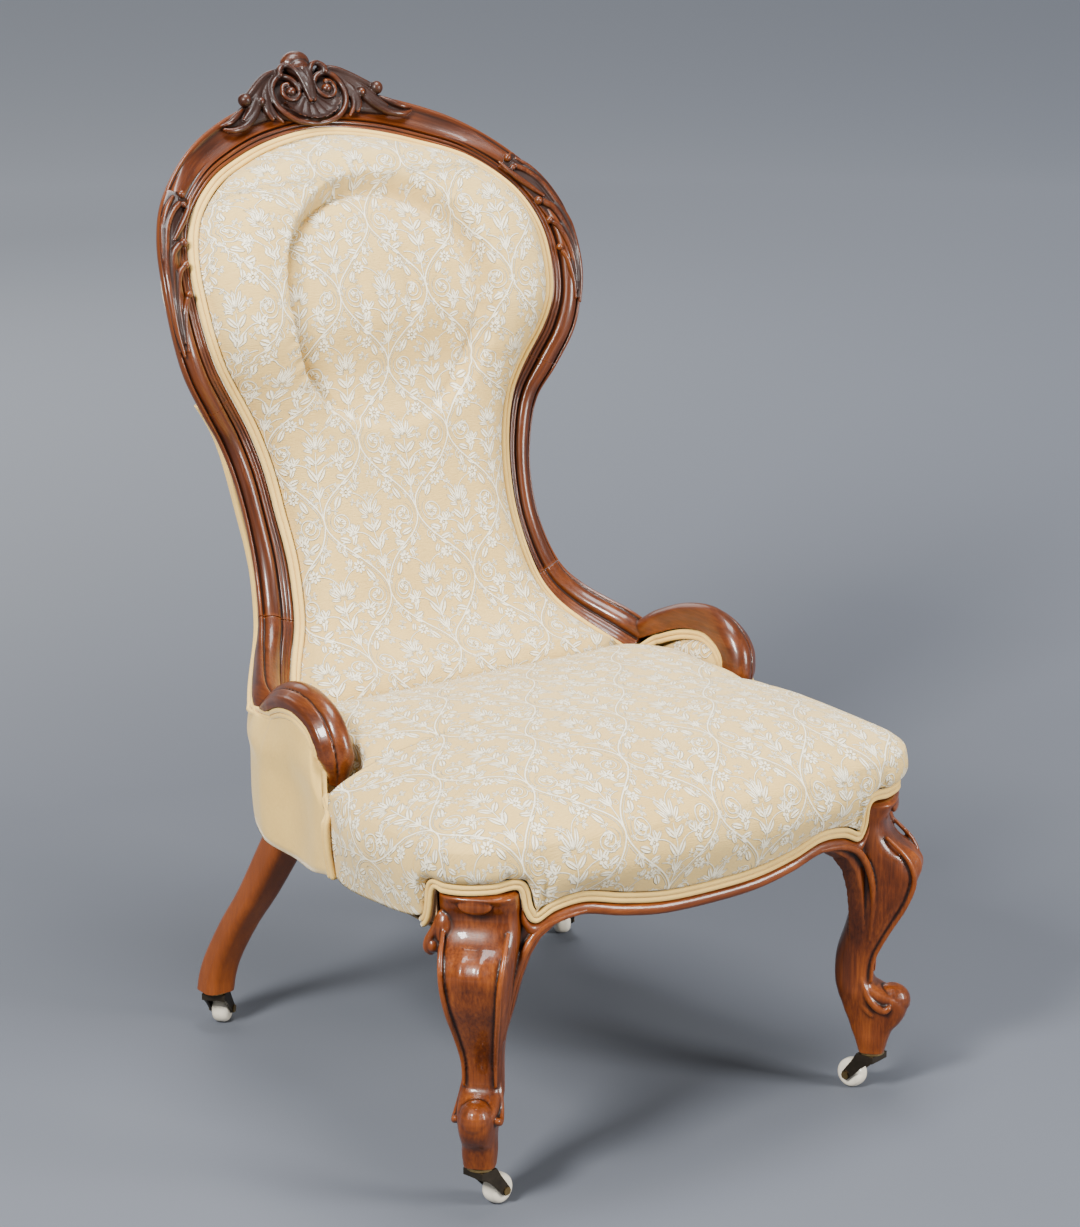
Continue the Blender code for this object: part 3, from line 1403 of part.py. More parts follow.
def empty(name, location, parent, turn=0.0):
    made = bpy.data.objects.new(name, None)
    bpy.context.collection.objects.link(made)
    made.location = location
    made.rotation_euler = (0.0, 0.0, turn)
    made.parent = parent
    return made


# Each castor: name, foot and the way its wheel trails, in degrees from +X
FEET = (
    ("front_left", -FRONT_FOOT_HALF_SPAN, FRONT_FOOT_Y, 12.0),
    ("front_right", FRONT_FOOT_HALF_SPAN, FRONT_FOOT_Y, 105.0),
    ("rear_left", -REAR_FOOT_HALF_SPAN, REAR_FOOT_Y, 44.0),
    ("rear_right", REAR_FOOT_HALF_SPAN, REAR_FOOT_Y, 64.0),
)


def make_castor(word, x, y, trail_angle):
    swivel = empty("swivel_" + word, (x, y, 0.0), chair, math.radians(trail_angle))
    axle_line = empty("axle_line_" + word, (CASTOR_TRAIL, 0.0, WHEEL_RADIUS), swivel)
    make_plate(word, swivel)
    make_horn(word, swivel)
    make_axle(word, axle_line)
    make_wheel(word, axle_line)


def frame_spaces(word, side):
    """Guides the size of the arm and the stile's foot with the gap all round."""
    rail, scroll = arm_rings(GAP, ARM_JOINT - 1)
    return [cutter("arm_rail_space_" + word, [mirror_ring(r, side) for r in rail]),
            cutter("arm_curl_space_" + word, [mirror_ring(r, side) for r in scroll])]


def build_chair():
    crest_run = stations(-SHOULDER_JOINT, SHOULDER_JOINT, STATION_STEP)
    rail_space = cutter("crest_rail_space", [frame_ring(p, GAP) for p in crest_run])
    leg_sides = [leg_side_space(word, side) for word, side in SIDES]
    housings = [cutter("rear_leg_space_" + word, rear_leg_rings(side, GAP, OVERRUN)) for word, side in SIDES]
    make_crest_rail()
    make_crest_carving(rail_space)
    make_front_rail(leg_sides)
    make_back_rail(housings)
    make_tacking_rail()
    make_back_welt()
    make_seat_welt()
    make_seat_cushion()
    make_outside_back()
    make_webbing()
    leg_holes = list(housings)
    post_spaces = []
    for (word, side), leg_side, housing in zip(SIDES, leg_sides, housings):
        leg_holes.append(cutter("front_leg_space_" + word,
                                [mirror_ring(leg_ring(s, 2 * GAP), side) for s in LEG_SHARES[12:]]))
        arm_space = frame_spaces(word, side)
        post_spaces.append(cutter("back_post_space_" + word, back_post_rings(side, GAP)))
        make_stile(word, side)
        make_arm(word, side)
        make_shoulder_carving(word, side, rail_space)
        make_back_post(word, side, arm_space)
        make_arm_post(word, side, arm_space)
        make_side_rail(word, side, housing, leg_side)
        make_corner_block(word, side)
        make_front_leg(word, side)
        make_rear_leg(word, side)
        make_scroll_welt(word, side)
        make_side_welt(word, side)
        make_side_panel(word, side)
        make_arm_pad(word, side)
    make_back_pad(post_spaces)
    make_bottom_cloth(leg_holes)
    middle = SEAT_FRONT_Y + SEAT_DEPTH * SEAT_MIDDLE_SHARE
    offsets = ((-1, -0.8), (1, -0.8), (0, 0), (-1, 0.8), (1, 0.8))
    for number, (i, j) in enumerate(offsets, start=1):
        make_spring("seat_spring_" + str(number), i * WEBBING_PITCH, middle + j * WEBBING_PITCH)
    for foot in FEET:
        make_castor(*foot)


def centre_chair():
    """Bring the middle of the chair's footprint to Y zero."""
    bpy.context.view_layer.update()
    graph = bpy.context.evaluated_depsgraph_get()
    reach = []
    for item in bpy.data.objects:
        if item.type == "MESH" and not item.hide_render:
            shown = item.evaluated_get(graph)
            reach += [(shown.matrix_world @ v.co).y for v in shown.data.vertices]
    chair.location.y = -(min(reach) + max(reach)) / 2


clear_scene()
chair = bpy.data.objects.new("chair_origin", None)
bpy.context.collection.objects.link(chair)
build_chair()
centre_chair()
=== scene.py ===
"""Looks of the salon chair: carved show frame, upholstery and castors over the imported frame."""
import json
import math

import bmesh
import bpy
import numpy as np
from mathutils import Matrix, Vector, noise
from mathutils.kdtree import KDTree


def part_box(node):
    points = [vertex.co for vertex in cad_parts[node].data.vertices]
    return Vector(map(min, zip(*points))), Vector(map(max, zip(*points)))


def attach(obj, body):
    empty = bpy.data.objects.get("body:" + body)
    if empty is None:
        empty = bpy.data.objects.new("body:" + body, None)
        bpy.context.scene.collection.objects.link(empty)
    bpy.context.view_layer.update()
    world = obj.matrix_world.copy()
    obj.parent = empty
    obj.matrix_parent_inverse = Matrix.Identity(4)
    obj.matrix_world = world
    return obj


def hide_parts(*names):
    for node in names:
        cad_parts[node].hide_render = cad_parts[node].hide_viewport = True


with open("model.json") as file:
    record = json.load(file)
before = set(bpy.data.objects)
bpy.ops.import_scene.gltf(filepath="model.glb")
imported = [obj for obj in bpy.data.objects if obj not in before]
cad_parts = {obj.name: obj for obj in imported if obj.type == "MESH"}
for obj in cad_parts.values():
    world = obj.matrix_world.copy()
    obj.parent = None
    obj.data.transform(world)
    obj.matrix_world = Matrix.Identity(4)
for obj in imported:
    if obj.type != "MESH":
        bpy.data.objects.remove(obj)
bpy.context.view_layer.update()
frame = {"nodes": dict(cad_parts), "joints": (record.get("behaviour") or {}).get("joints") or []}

# Sizes and levels of the chair's parts in metres: x to its right, y to the rear, z up
BALLOON_HALF_WIDTH = 0.249
BACK_START_Y = 0.144
BACK_RAKE = 0.276
ARM_LEVEL = 0.416
BACK_RISE = 0.534
FRAME_DEPTH = 0.024
SEAT_HALF_WIDTH = 0.275
SEAT_FRONT_Y = -0.302
SEAT_DEPTH = 0.401
GAP = 0.0004
OVERRUN = 0.004
RAIL_BOTTOM = 0.284
RAIL_HEIGHT = 0.046
RAIL_THICKNESS = 0.024
LIP_HEIGHT = 0.013
LIP_DEPTH = 0.008
FRONT_FOOT_HALF_SPAN = 0.238
FRONT_FOOT_Y = -0.26
REAR_FOOT_HALF_SPAN = 0.225
REAR_FOOT_Y = 0.26
CASTOR_HEIGHT = 0.046
KNEE_REACH = 0.042
KNEE_BACK = 0.045
LEG_HALF_WIDTH = 0.038
REAR_LEG_SIDE = 0.034
REAR_LEG_LEAN = 0.128
REAR_LEG_SPLAY = 0.052
WHEEL_DIAMETER = 0.030
WHEEL_WIDTH = 0.018
WELT_WIDTH = 0.0104
WELT_THICKNESS = 0.0056
SKIRT = 0.0085
BELLY = 0.016
BELLY_OVER_LEG = 0.4
BELLY_LEVEL = 0.333
SHOULDER_LEVEL = 0.364
DOME_LEVEL = 0.417
SEAT_REAR_LEVEL = 0.392
SEAT_REAR_HALF_WIDTH = 0.222
PAD_CROWN = 0.036
PAD_ROLL = 0.055
RECESS_DEPTH = 0.020
RECESS_HALF_WIDTH = 0.120
RECESS_LEVEL = 0.765
RECESS_RISE = 0.093
COVER_THICKNESS = 0.006
ARM_PAD_THICKNESS = 0.006
ARM_HALF_WIDTH = 0.2475
ARM_BACK_Y = 0.138
ARM_REACH = 0.181
ARM_LOW = 0.356
ARM_HEIGHT = 0.0875
ARM_SECTION_WIDTH = 0.036
ARM_SECTION_DEPTH = 0.034
# Right-hand half of the show frame's two edges, from the crown's middle down: shares of the
# balloon's half width, the rake and the rise
OUTER_EDGE_SHARES = (
    (0.0, 1.0, 1.0), (0.281, 0.971, 0.989), (0.522, 0.899, 0.959), (0.719, 0.801, 0.916),
    (0.880, 0.685, 0.856), (0.964, 0.587, 0.790), (1.0, 0.493, 0.712), (0.996, 0.435, 0.616),
    (0.956, 0.413, 0.537), (0.867, 0.428, 0.459), (0.787, 0.453, 0.397), (0.739, 0.438, 0.330),
    (0.711, 0.406, 0.251), (0.711, 0.348, 0.163), (0.747, 0.261, 0.081), (0.811, 0.163, 0.037),
    (0.908, 0.0, 0.0), (0.932, -0.105, -0.017),
)
INNER_EDGE_SHARES = (
    (0.0, 0.899, 0.942), (0.249, 0.877, 0.929), (0.462, 0.819, 0.903), (0.627, 0.739, 0.875),
    (0.763, 0.652, 0.828), (0.835, 0.572, 0.777), (0.867, 0.496, 0.710), (0.855, 0.435, 0.616),
    (0.803, 0.431, 0.545), (0.731, 0.446, 0.485), (0.659, 0.449, 0.419), (0.610, 0.420, 0.341),
    (0.586, 0.377, 0.255), (0.578, 0.308, 0.167), (0.610, 0.217, 0.067), (0.683, 0.130, 0.006),
    (0.787, -0.022, -0.043), (0.823, -0.130, -0.062),
)
# Places along the frame, counted in points of its edges
SHOULDER_JOINT = 9
ARM_JOINT = 14
PAD_END = 16.5
WELT_STATIONS = 17
STATION_STEP = 0.5
UPPER_UNDERCUT = 0.42
LOWER_UNDERCUT = 0.12
# Ridge of the arm scroll: shares of its half width, reach and height
RIDGE_SHARES = (
    (0.925, 0.0, 0.46), (0.93, 0.06, 0.56), (0.94, 0.14, 0.68), (0.955, 0.24, 0.80), (0.985, 0.44, 0.955),
    (1.0, 0.66, 1.0), (1.0, 0.85, 0.87), (1.0, 0.963, 0.632), (0.992, 1.0, 0.368), (0.99, 0.984, 0.172),
    (0.985, 0.940, 0.0),
)
SCROLL_SIDE_SHARE = 0.66
SCROLL_INNER_SHARE = 0.74
# Fabric's lower edge from the front's middle round to the side: plan shares and the wood's level
HEM_SHARES = (
    (0.0, 0.0, -0.10), (0.20, 0.001, -0.06), (0.37, 0.007, 0.10), (0.51, 0.020, 0.28), (0.62, 0.028, 0.22),
    (0.700, 0.034, 0.03), (0.742, 0.038, 0.30), (0.765, 0.040, 0.79), (0.85, 0.050, 0.79),
    (0.925, 0.074, 0.79), (0.968, 0.103, 0.79), (0.990, 0.132, 0.79), (1.0, 0.157, 0.79),
    (1.002, 0.202, -0.11), (1.0, 0.380, -0.11), (0.990, 0.585, -0.11),
)
WELT_END = 13
SKIRT_PLAN_SHARES = (
    (0.987, 0.613), (0.975, 0.700), (0.935, 0.803), (0.905, 0.943), (0.868, 1.032), (0.790, 1.155),
    (0.690, 1.250), (0.550, 1.322), (0.360, 1.366), (0.0, 1.388),
)
SIDE_PANEL_END = 6
# Front leg: share of the height, then front, back and half width
LEG_SHARES = (
    (0.0, 0.31, -0.29, 0.40), (0.050, 0.40, -0.38, 0.43), (0.085, 0.49, -0.47, 0.42),
    (0.115, 0.67, -0.53, 0.43), (0.150, 0.80, -0.62, 0.46), (0.184, 0.82, -0.69, 0.49),
    (0.212, 0.70, -0.76, 0.52), (0.236, 0.35, -0.80, 0.53), (0.262, 0.04, -0.84, 0.51),
    (0.315, -0.02, -0.86, 0.50), (0.385, 0.10, -0.82, 0.53), (0.465, 0.36, -0.67, 0.63),
    (0.542, 0.64, -0.56, 0.74), (0.602, 0.86, -0.51, 0.82), (0.665, 0.98, -0.56, 0.88),
    (0.711, 1.0, -0.76, 0.93), (0.761, 0.83, -0.95, 0.97), (0.800, 0.50, -1.0, 0.99),
    (0.845, 0.30, -1.0, 1.0), (0.895, 0.26, -1.0, 1.0), (0.935, 0.50, -1.0, 0.99),
    (0.965, 0.58, -1.0, 0.93), (0.968, -0.15, -1.0, 0.64), (1.0, -0.15, -1.0, 0.64),
)
LEG_SQUARENESS = 0.62
# Rear leg from the floor up: splay, lean, height and thickness
REAR_LEG_SHARES = (
    (0.0, 0.0, 0.0, 1.0), (0.05, 0.01, 0.06, 1.0), (0.13, 0.06, 0.14, 1.0), (0.30, 0.21, 0.28, 1.03),
    (0.48, 0.42, 0.43, 1.09), (0.67, 0.72, 0.66, 1.20), (0.85, 0.93, 0.83, 1.25), (0.97, 1.0, 0.93, 1.15),
    (1.0, 1.0, 1.0, 1.1),
)
UP = Vector((0.0, 0.0, 1.0))
MIRROR = Matrix.Diagonal((-1.0, 1.0, 1.0))
SIDES = (("left", -1), ("right", 1))
# How far ahead and behind a curve's direction is read, in points
LOOK_AHEAD = 0.05
SLOPE_REACH = 0.8


def curve_at(points, place, mirrored=False):
    """Point of a smooth curve through the points, with the place counted in points."""
    last = len(points) - 1
    place = min(max(place, 0.0), float(last))
    i = min(int(place), last - 1)
    f = place - i
    b = points[i]
    c = points[i + 1]
    if i > 0:
        a = points[i - 1]
    else:
        a = MIRROR @ c if mirrored else b * 2 - c
    d = points[i + 2] if i + 2 <= last else c * 2 - b
    return (b * 2 + (c - a) * f + (a * 2 - b * 5 + c * 4 - d) * f ** 2
            + (b * 3 - a - c * 3 + d) * f ** 3) / 2


def places(start, end, steps):
    """Even places from start to end."""
    return [start + (end - start) * i / steps for i in range(steps + 1)]


def stations(start, end, step):
    """Places from start to end, through every multiple of the step between them."""
    first = math.floor(start / step + 1)
    last = math.ceil(end / step - 1)
    return [start] + [i * step for i in range(first, last + 1)] + [end]


def on_side(points, side):
    """The points, or their mirror images for the left-hand side."""
    return points if side > 0 else [MIRROR @ point for point in points]


def within(value, low, high):
    """Share of the way from low to high, held between 0 and 1."""
    return min(max((value - low) / (high - low), 0.0), 1.0)


def smooth_step(value):
    """0 up to 0, 1 from 1, and a soft rise between."""
    value = min(max(value, 0.0), 1.0)
    return value * value * (3 - 2 * value)


def back_point(shares):
    """Point of the balloon back, from its shares."""
    return Vector((shares[0] * BALLOON_HALF_WIDTH,
                   BACK_START_Y + shares[1] * BACK_RAKE,
                   ARM_LEVEL + shares[2] * BACK_RISE))


OUTER_EDGE = [back_point(shares) for shares in OUTER_EDGE_SHARES]
INNER_EDGE = [back_point(shares) for shares in INNER_EDGE_SHARES]


def frame_at(place):
    """Outer edge, width, inward direction and facing direction of the show frame."""
    spot = abs(place)
    outer = curve_at(OUTER_EDGE, spot, True)
    inner = curve_at(INNER_EDGE, spot, True)
    ahead = curve_at(OUTER_EDGE, spot + LOOK_AHEAD, True) + curve_at(INNER_EDGE, spot + LOOK_AHEAD, True)
    if spot > LOOK_AHEAD:
        behind = (curve_at(OUTER_EDGE, spot - LOOK_AHEAD, True)
                  + curve_at(INNER_EDGE, spot - LOOK_AHEAD, True))
    else:
        mirrored_spot = LOOK_AHEAD - spot
        behind = MIRROR @ (curve_at(OUTER_EDGE, mirrored_spot, True)
                           + curve_at(INNER_EDGE, mirrored_spot, True))
    tangent = (ahead - behind).normalized()
    width = (inner - outer).length
    across = (inner - outer).normalized()
    facing = across.cross(tangent).normalized()
    if place < 0:
        outer, across, facing = (MIRROR @ v for v in (outer, across, facing))
    return outer, width, across, facing


def frame_point(place, across_offset, facing_offset, from_inner=False):
    """A point beside the frame, offset from its outer or inner edge."""
    outer, width, across, facing = frame_at(place)
    start = width if from_inner else 0.0
    return outer + across * (start + across_offset) + facing * facing_offset


def back_inset(place):
    """Share of the width by which the frame's back is undercut at its outer edge."""
    return UPPER_UNDERCUT + (LOWER_UNDERCUT - UPPER_UNDERCUT) * smooth_step((abs(place) - 9) / 3)


def joint_trim(place):
    """Half the gap at a frame joint, counted in points of the edge."""
    step = (curve_at(OUTER_EDGE, place + 1) - curve_at(OUTER_EDGE, place)).length
    return GAP / 2 / step


def arm_point(shares):
    """Point of the scroll's ridge, from its shares."""
    return Vector((shares[0] * ARM_HALF_WIDTH,
                   ARM_BACK_Y - shares[1] * ARM_REACH,
                   ARM_LOW + shares[2] * ARM_HEIGHT))


RIDGE = [arm_point(shares) for shares in RIDGE_SHARES]
RIDGE_LAST = len(RIDGE) - 1
SCROLL_TAPER = 0.55
SCROLL_START_SIZE = 0.72


def ridge_at(place):
    """Ridge point and outward radial direction of the scroll, in its upright plane."""
    spot = curve_at(RIDGE, place)
    tangent = curve_at(RIDGE, place + LOOK_AHEAD) - curve_at(RIDGE, place - LOOK_AHEAD)
    radial = Vector((0.0, -tangent.z, tangent.y)).normalized()
    if radial.dot(spot - Vector((spot.x, ARM_BACK_Y - ARM_REACH * 0.62, ARM_LOW + ARM_HEIGHT * 0.2))) < 0:
        radial = -radial
    return spot, radial


def scroll_size(place):
    """The scroll swells out of the rail and thins over its last two points."""
    tip = SCROLL_TAPER + (1 - SCROLL_TAPER) * smooth_step((RIDGE_LAST - place) / 2)
    root = SCROLL_START_SIZE + (1 - SCROLL_START_SIZE) * smooth_step(place / 3)
    return tip * root


def scroll_point(place, across_share, depth_share, extra=0.0, sideways=0.0):
    """Point of the scroll's section: across it and down from its ridge."""
    spot, radial = ridge_at(place)
    size = scroll_size(place)
    return (spot + Vector((across_share * ARM_SECTION_WIDTH / 2 * size + sideways, 0.0, 0.0))
            + radial * (depth_share * ARM_SECTION_DEPTH * size + extra))


def plan_point(shares):
    """Point of the seat in plan, from its shares."""
    return Vector((shares[0] * SEAT_HALF_WIDTH, SEAT_FRONT_Y + shares[1] * SEAT_DEPTH, 0.0))


HEM_PLAN = [plan_point(shares) + UP * (RAIL_BOTTOM + shares[2] * RAIL_HEIGHT) for shares in HEM_SHARES]
SKIRT_PLAN = [plan_point(shares) for shares in SKIRT_PLAN_SHARES]
SKIRT_PLAN[0].y = HEM_PLAN[-1].y + WELT_WIDTH + 4 * GAP
HEM_LAST = len(HEM_PLAN) - 1
SKIRT_LAST = len(SKIRT_PLAN) - 1


def outward_at(points, place, from_middle=False):
    """Outward direction in plan of a right-hand half outline."""
    ahead = curve_at(points, place + LOOK_AHEAD, from_middle)
    behind = curve_at(points, place - LOOK_AHEAD, from_middle)
    return Vector((ahead.y - behind.y, behind.x - ahead.x, 0.0)).normalized()


def hem_at(place, inset=0.0):
    """Point of the fabric's lower edge in plan."""
    if place <= LOOK_AHEAD:
        outward = Vector((0.0, -1.0, 0.0))
    else:
        outward = outward_at(HEM_PLAN, place, True)
    point = curve_at(HEM_PLAN, place, True) - outward * inset
    point.z = 0.0
    return point


def skirt_at(place, inset=0.0):
    """Point of the outside covers' lower edge in plan."""
    if place >= SKIRT_LAST - LOOK_AHEAD:
        outward = Vector((0.0, 1.0, 0.0))
    else:
        outward = outward_at(SKIRT_PLAN, place)
    return curve_at(SKIRT_PLAN, place) - outward * inset


def wood_level(place):
    """Level of the wood's top under the hem."""
    return curve_at(HEM_PLAN, place, True).z


def hem_frame(place):
    """Outward direction at the hem and the direction up the fabric, square to the hem."""
    outward = (hem_at(place) - hem_at(place, 1.0)).normalized()
    ahead = curve_at(HEM_PLAN, place + SLOPE_REACH, True)
    if place > SLOPE_REACH:
        behind = curve_at(HEM_PLAN, place - SLOPE_REACH, True)
    else:
        behind = MIRROR @ curve_at(HEM_PLAN, SLOPE_REACH - place, True)
    aside = outward.cross(ahead - behind).normalized()
    return outward, aside if aside.z > 0 else -aside


RAIL_TOP = RAIL_BOTTOM + RAIL_HEIGHT
RAIL_INSET = SKIRT + 2 * GAP
FRONT_FOOT = Vector((FRONT_FOOT_HALF_SPAN, FRONT_FOOT_Y, 0.0))
DIAGONAL = Vector((1.0, -1.0, 0.0)).normalized()
SIDEWAYS = Vector((1.0, 1.0, 0.0)).normalized()


def rear_leg_point(shares):
    """Point of the right rear leg's middle line, from its shares."""
    return Vector((REAR_FOOT_HALF_SPAN - shares[0] * REAR_LEG_SPLAY,
                   REAR_FOOT_Y - shares[1] * REAR_LEG_LEAN,
                   CASTOR_HEIGHT + shares[2] * (RAIL_TOP - CASTOR_HEIGHT)))


REAR_LEG_LINE = [rear_leg_point(shares) for shares in REAR_LEG_SHARES]
REAR_LEG_SIZES = [Vector((shares[3], 0.0, 0.0)) for shares in REAR_LEG_SHARES]
WELT_LEVEL_SHARE = -0.02
SCROLL_WELT_START = 2.5
SCROLL_WELT_END = 9
CURL_TURN = 7


def curl_places():
    """Places along the inside of the scroll, sparser where it curls tightest."""
    return stations(SCROLL_WELT_START, CURL_TURN, STATION_STEP) + [SCROLL_WELT_END]


SEAT_MIDDLE_SHARE = 0.5
SEAT_REAR_Y = SEAT_FRONT_Y + SEAT_DEPTH
DOME_POWER = 2.6
DOME_FULLNESS = 0.8


def seat_outline():
    """The seat's edge from the front middle round to the right and back: edge point with its level,
    outward direction, how far the fabric swells out, and its shoulder's level."""
    low = wood_level(HEM_LAST) + 3 * GAP
    rail_top = RAIL_TOP + GAP
    points = []
    for p in stations(0, WELT_END, STATION_STEP):
        outward, aside = hem_frame(p)
        edge = hem_at(p) + UP * wood_level(p) + aside * (WELT_WIDTH + 5 * GAP)
        over_front = 1 - smooth_step((edge.x / SEAT_HALF_WIDTH - 0.48) * 3)
        over_side = smooth_step(((edge.y - SEAT_FRONT_Y) / SEAT_DEPTH - 0.10) * 4)
        swell = BELLY_OVER_LEG + (1 - BELLY_OVER_LEG) * max(over_front, over_side)
        points.append((edge, outward, swell, SHOULDER_LEVEL))
    for p in (14, HEM_LAST):
        points.append((hem_at(p) + UP * low, hem_frame(p)[0], 1.0, SHOULDER_LEVEL))
    corner, outward = points[-1][:2]
    front_y = corner.y + RAIL_THICKNESS
    length = SEAT_REAR_Y - front_y
    rest = [(corner.x, corner.y + GAP, outward, 0.6, SHOULDER_LEVEL),
            (corner.x - 2 * SKIRT, corner.y + 2 * GAP, outward, 0.0, SHOULDER_LEVEL)]
    for share in (0.0, 0.35, 0.7):
        y = front_y + length * share
        rest.append((SEAT_REAR_HALF_WIDTH, y, Vector((1, 0, 0)), 0.0, SEAT_REAR_LEVEL))
    for share in (0.86, 0.6, 0.3, 0.0):
        rest.append((SEAT_REAR_HALF_WIDTH * share, SEAT_REAR_Y, Vector((0, 1, 0)), 0.0, SEAT_REAR_LEVEL))
    for x, y, outward, swell, level in rest:
        points.append((Vector((x, y, rail_top)), outward, swell, level))
    return points + [(MIRROR @ p, MIRROR @ o, swell, level) for p, o, swell, level in points[-2:0:-1]]


PAD_BORDER_SHARE = -0.22
PAD_FOOT_LEVEL = RAIL_TOP + 3 * GAP
PAD_FOOT_WIDTH = 0.97


def pad_border(place, extra, depth_share):
    """Point of the pad's edge beside the frame's inner edge."""
    return frame_point(place, 2 * GAP + extra, depth_share * FRAME_DEPTH, True)


# Seam between the outside covers, the side covers' end at the notch, and how far they swell as a
# share of their thickness
GAP_AT_SEAM = 0.13
NOTCH_PLACE = 17
PANEL_SWELL = 0.5


def outside_rows(depth):
    """Half rows of the outside back at a depth behind the frame: outer edge to the middle."""
    rows = []
    for p in stations(0, ARM_JOINT, STATION_STEP):
        width = frame_at(p)[1]
        lip = back_inset(p) * width + GAP
        if p == ARM_JOINT:
            lip += COVER_THICKNESS + 2 * GAP
        outer = frame_point(p, lip, -FRAME_DEPTH - 4 * GAP - depth)
        inner = frame_point(p, 0.0, -FRAME_DEPTH - 4 * GAP - depth, True)
        rows.append([outer] + [Vector((inner.x * share, inner.y, inner.z)) for share in (1.0, 0.5, 0.0)])
    low = UP * wood_level(HEM_LAST)
    foot = [skirt_at(SIDE_PANEL_END + i, COVER_THICKNESS - depth) + low for i in (GAP_AT_SEAM, 1, 2, 3)]
    rail_row = [point + UP * (RAIL_TOP + OVERRUN - low.z) for point in foot]
    middle_row = [a.lerp(b, 0.5) for a, b in zip(rows[-1], rail_row)]
    outward = outward_at(SKIRT_PLAN, SIDE_PANEL_END)
    for i in range(3):
        middle_row[i] += outward * (COVER_THICKNESS * PANEL_SWELL * (1 - i / 3))
    return rows + [middle_row, rail_row, foot]


WHEEL_RADIUS = WHEEL_DIAMETER / 2
low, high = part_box("castor_plate_front_left")
# The chair is built about its own middle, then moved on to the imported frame's
SHIFT = Vector((0.0, (low[1] + high[1]) / 2 - FRONT_FOOT_Y, 0.0))

# Materials


class Value:
    """A number that a material works out, with the usual signs."""

    def __init__(self, tree, socket):
        self.tree = tree
        self.socket = socket

    def apply(self, operation, *others):
        node = self.tree.nodes.new("ShaderNodeMath")
        node.operation = operation
        for i, value in enumerate((self,) + others):
            if isinstance(value, Value):
                self.tree.links.new(value.socket, node.inputs[i])
            else:
                node.inputs[i].default_value = value
        return Value(self.tree, node.outputs[0])

    def __add__(self, other):
        return self.apply("ADD", other)

    def __sub__(self, other):
        return self.apply("SUBTRACT", other)

    def __mul__(self, other):
        return self.apply("MULTIPLY", other)

    def __truediv__(self, other):
        return self.apply("DIVIDE", other)

    def size(self):
        return self.apply("ABSOLUTE")

    def clamped(self):
        """This, held between 0 and 1."""
        return self.apply("MINIMUM", 1.0).apply("MAXIMUM", 0.0)

    def over(self, edge, soft):
        """1 where this is more than the edge, 0 where it is less, soft between."""
        return ((self - (edge - soft)) / (2 * soft)).clamped()

    def under(self, edge, soft):
        """1 where this is less than the edge, 0 where it is more, soft between."""
        return ((self - (edge + soft)) / (-2 * soft)).clamped()

    def mix(self, low, high):
        """From low to high as this goes from 0 to 1."""
        return self * (high - low) + low


def length(x, y):
    """Length of a vector in a material, from its two numbers."""
    return (x * x + y * y).apply("SQRT")


def fresh_material(name):
    """New material with its node tree and its shader."""
    material = bpy.data.materials.new(name)
    material.use_nodes = True
    tree = material.node_tree
    shader = tree.nodes["Principled BSDF"]
    return material, tree, shader


def attribute(tree, name):
    """Reads what store() has kept under a name."""
    node = tree.nodes.new("ShaderNodeAttribute")
    node.attribute_name = name
    return node


def object_place(tree):
    """A point's place in its own piece, in metres."""
    return tree.nodes.new("ShaderNodeTexCoord").outputs["Object"]


def split(tree, vector):
    """The three numbers of a vector."""
    node = tree.nodes.new("ShaderNodeSeparateXYZ")
    tree.links.new(vector, node.inputs[0])
    return [Value(tree, socket) for socket in node.outputs]


def noise_over(tree, vector, scales, detail, roughness=0.5):
    """Noise over a vector, with so many waves to the metre along each of its directions."""
    stretch = tree.nodes.new("ShaderNodeMapping")
    tree.links.new(vector, stretch.inputs["Vector"])
    stretch.inputs["Scale"].default_value = scales
    node = tree.nodes.new("ShaderNodeTexNoise")
    tree.links.new(stretch.outputs["Vector"], node.inputs["Vector"])
    node.inputs["Scale"].default_value = 1.0
    node.inputs["Detail"].default_value = detail
    node.inputs["Roughness"].default_value = roughness
    return Value(tree, node.outputs["Fac"])


def ramp(tree, value, stops):
    """Colour that a value takes between stops."""
    node = tree.nodes.new("ShaderNodeValToRGB")
    tree.links.new(value.socket, node.inputs["Fac"])
    elements = node.color_ramp.elements
    while len(elements) < len(stops):
        elements.new(0.5)
    for element, (place, colour) in zip(elements, stops):
        element.position = place
        element.color = colour + (1.0,)
    return node.outputs["Color"]


def mixed(tree, share, first, second):
    """Mix of two colours, each a socket or three numbers, by a Value."""
    node = tree.nodes.new("ShaderNodeMix")
    node.data_type = "RGBA"
    tree.links.new(share.socket, node.inputs[0])
    for socket, colour in ((node.inputs[6], first), (node.inputs[7], second)):
        if isinstance(colour, tuple):
            socket.default_value = colour + (1.0,)
        else:
            tree.links.new(colour, socket)
    return node.outputs[2]


def bumped(tree, shader, height, distance, strength=1.0):
    """Gives the surface relief from a height."""
    node = tree.nodes.new("ShaderNodeBump")
    node.inputs["Strength"].default_value = strength
    node.inputs["Distance"].default_value = distance
    tree.links.new(height.socket, node.inputs["Height"])
    tree.links.new(node.outputs["Normal"], shader.inputs["Normal"])


def surfaced(tree, shader, colour, roughness, constants):
    """Links a material's colour and roughness, and sets the inputs that stay the same all over."""
    tree.links.new(colour, shader.inputs["Base Color"])
    tree.links.new(roughness.socket, shader.inputs["Roughness"])
    for name, value in constants.items():
        shader.inputs[name].default_value = value


# Level over which the wood's colour is painted darker, as painted shade on the back and arms
DARK_LEVEL = 0.385
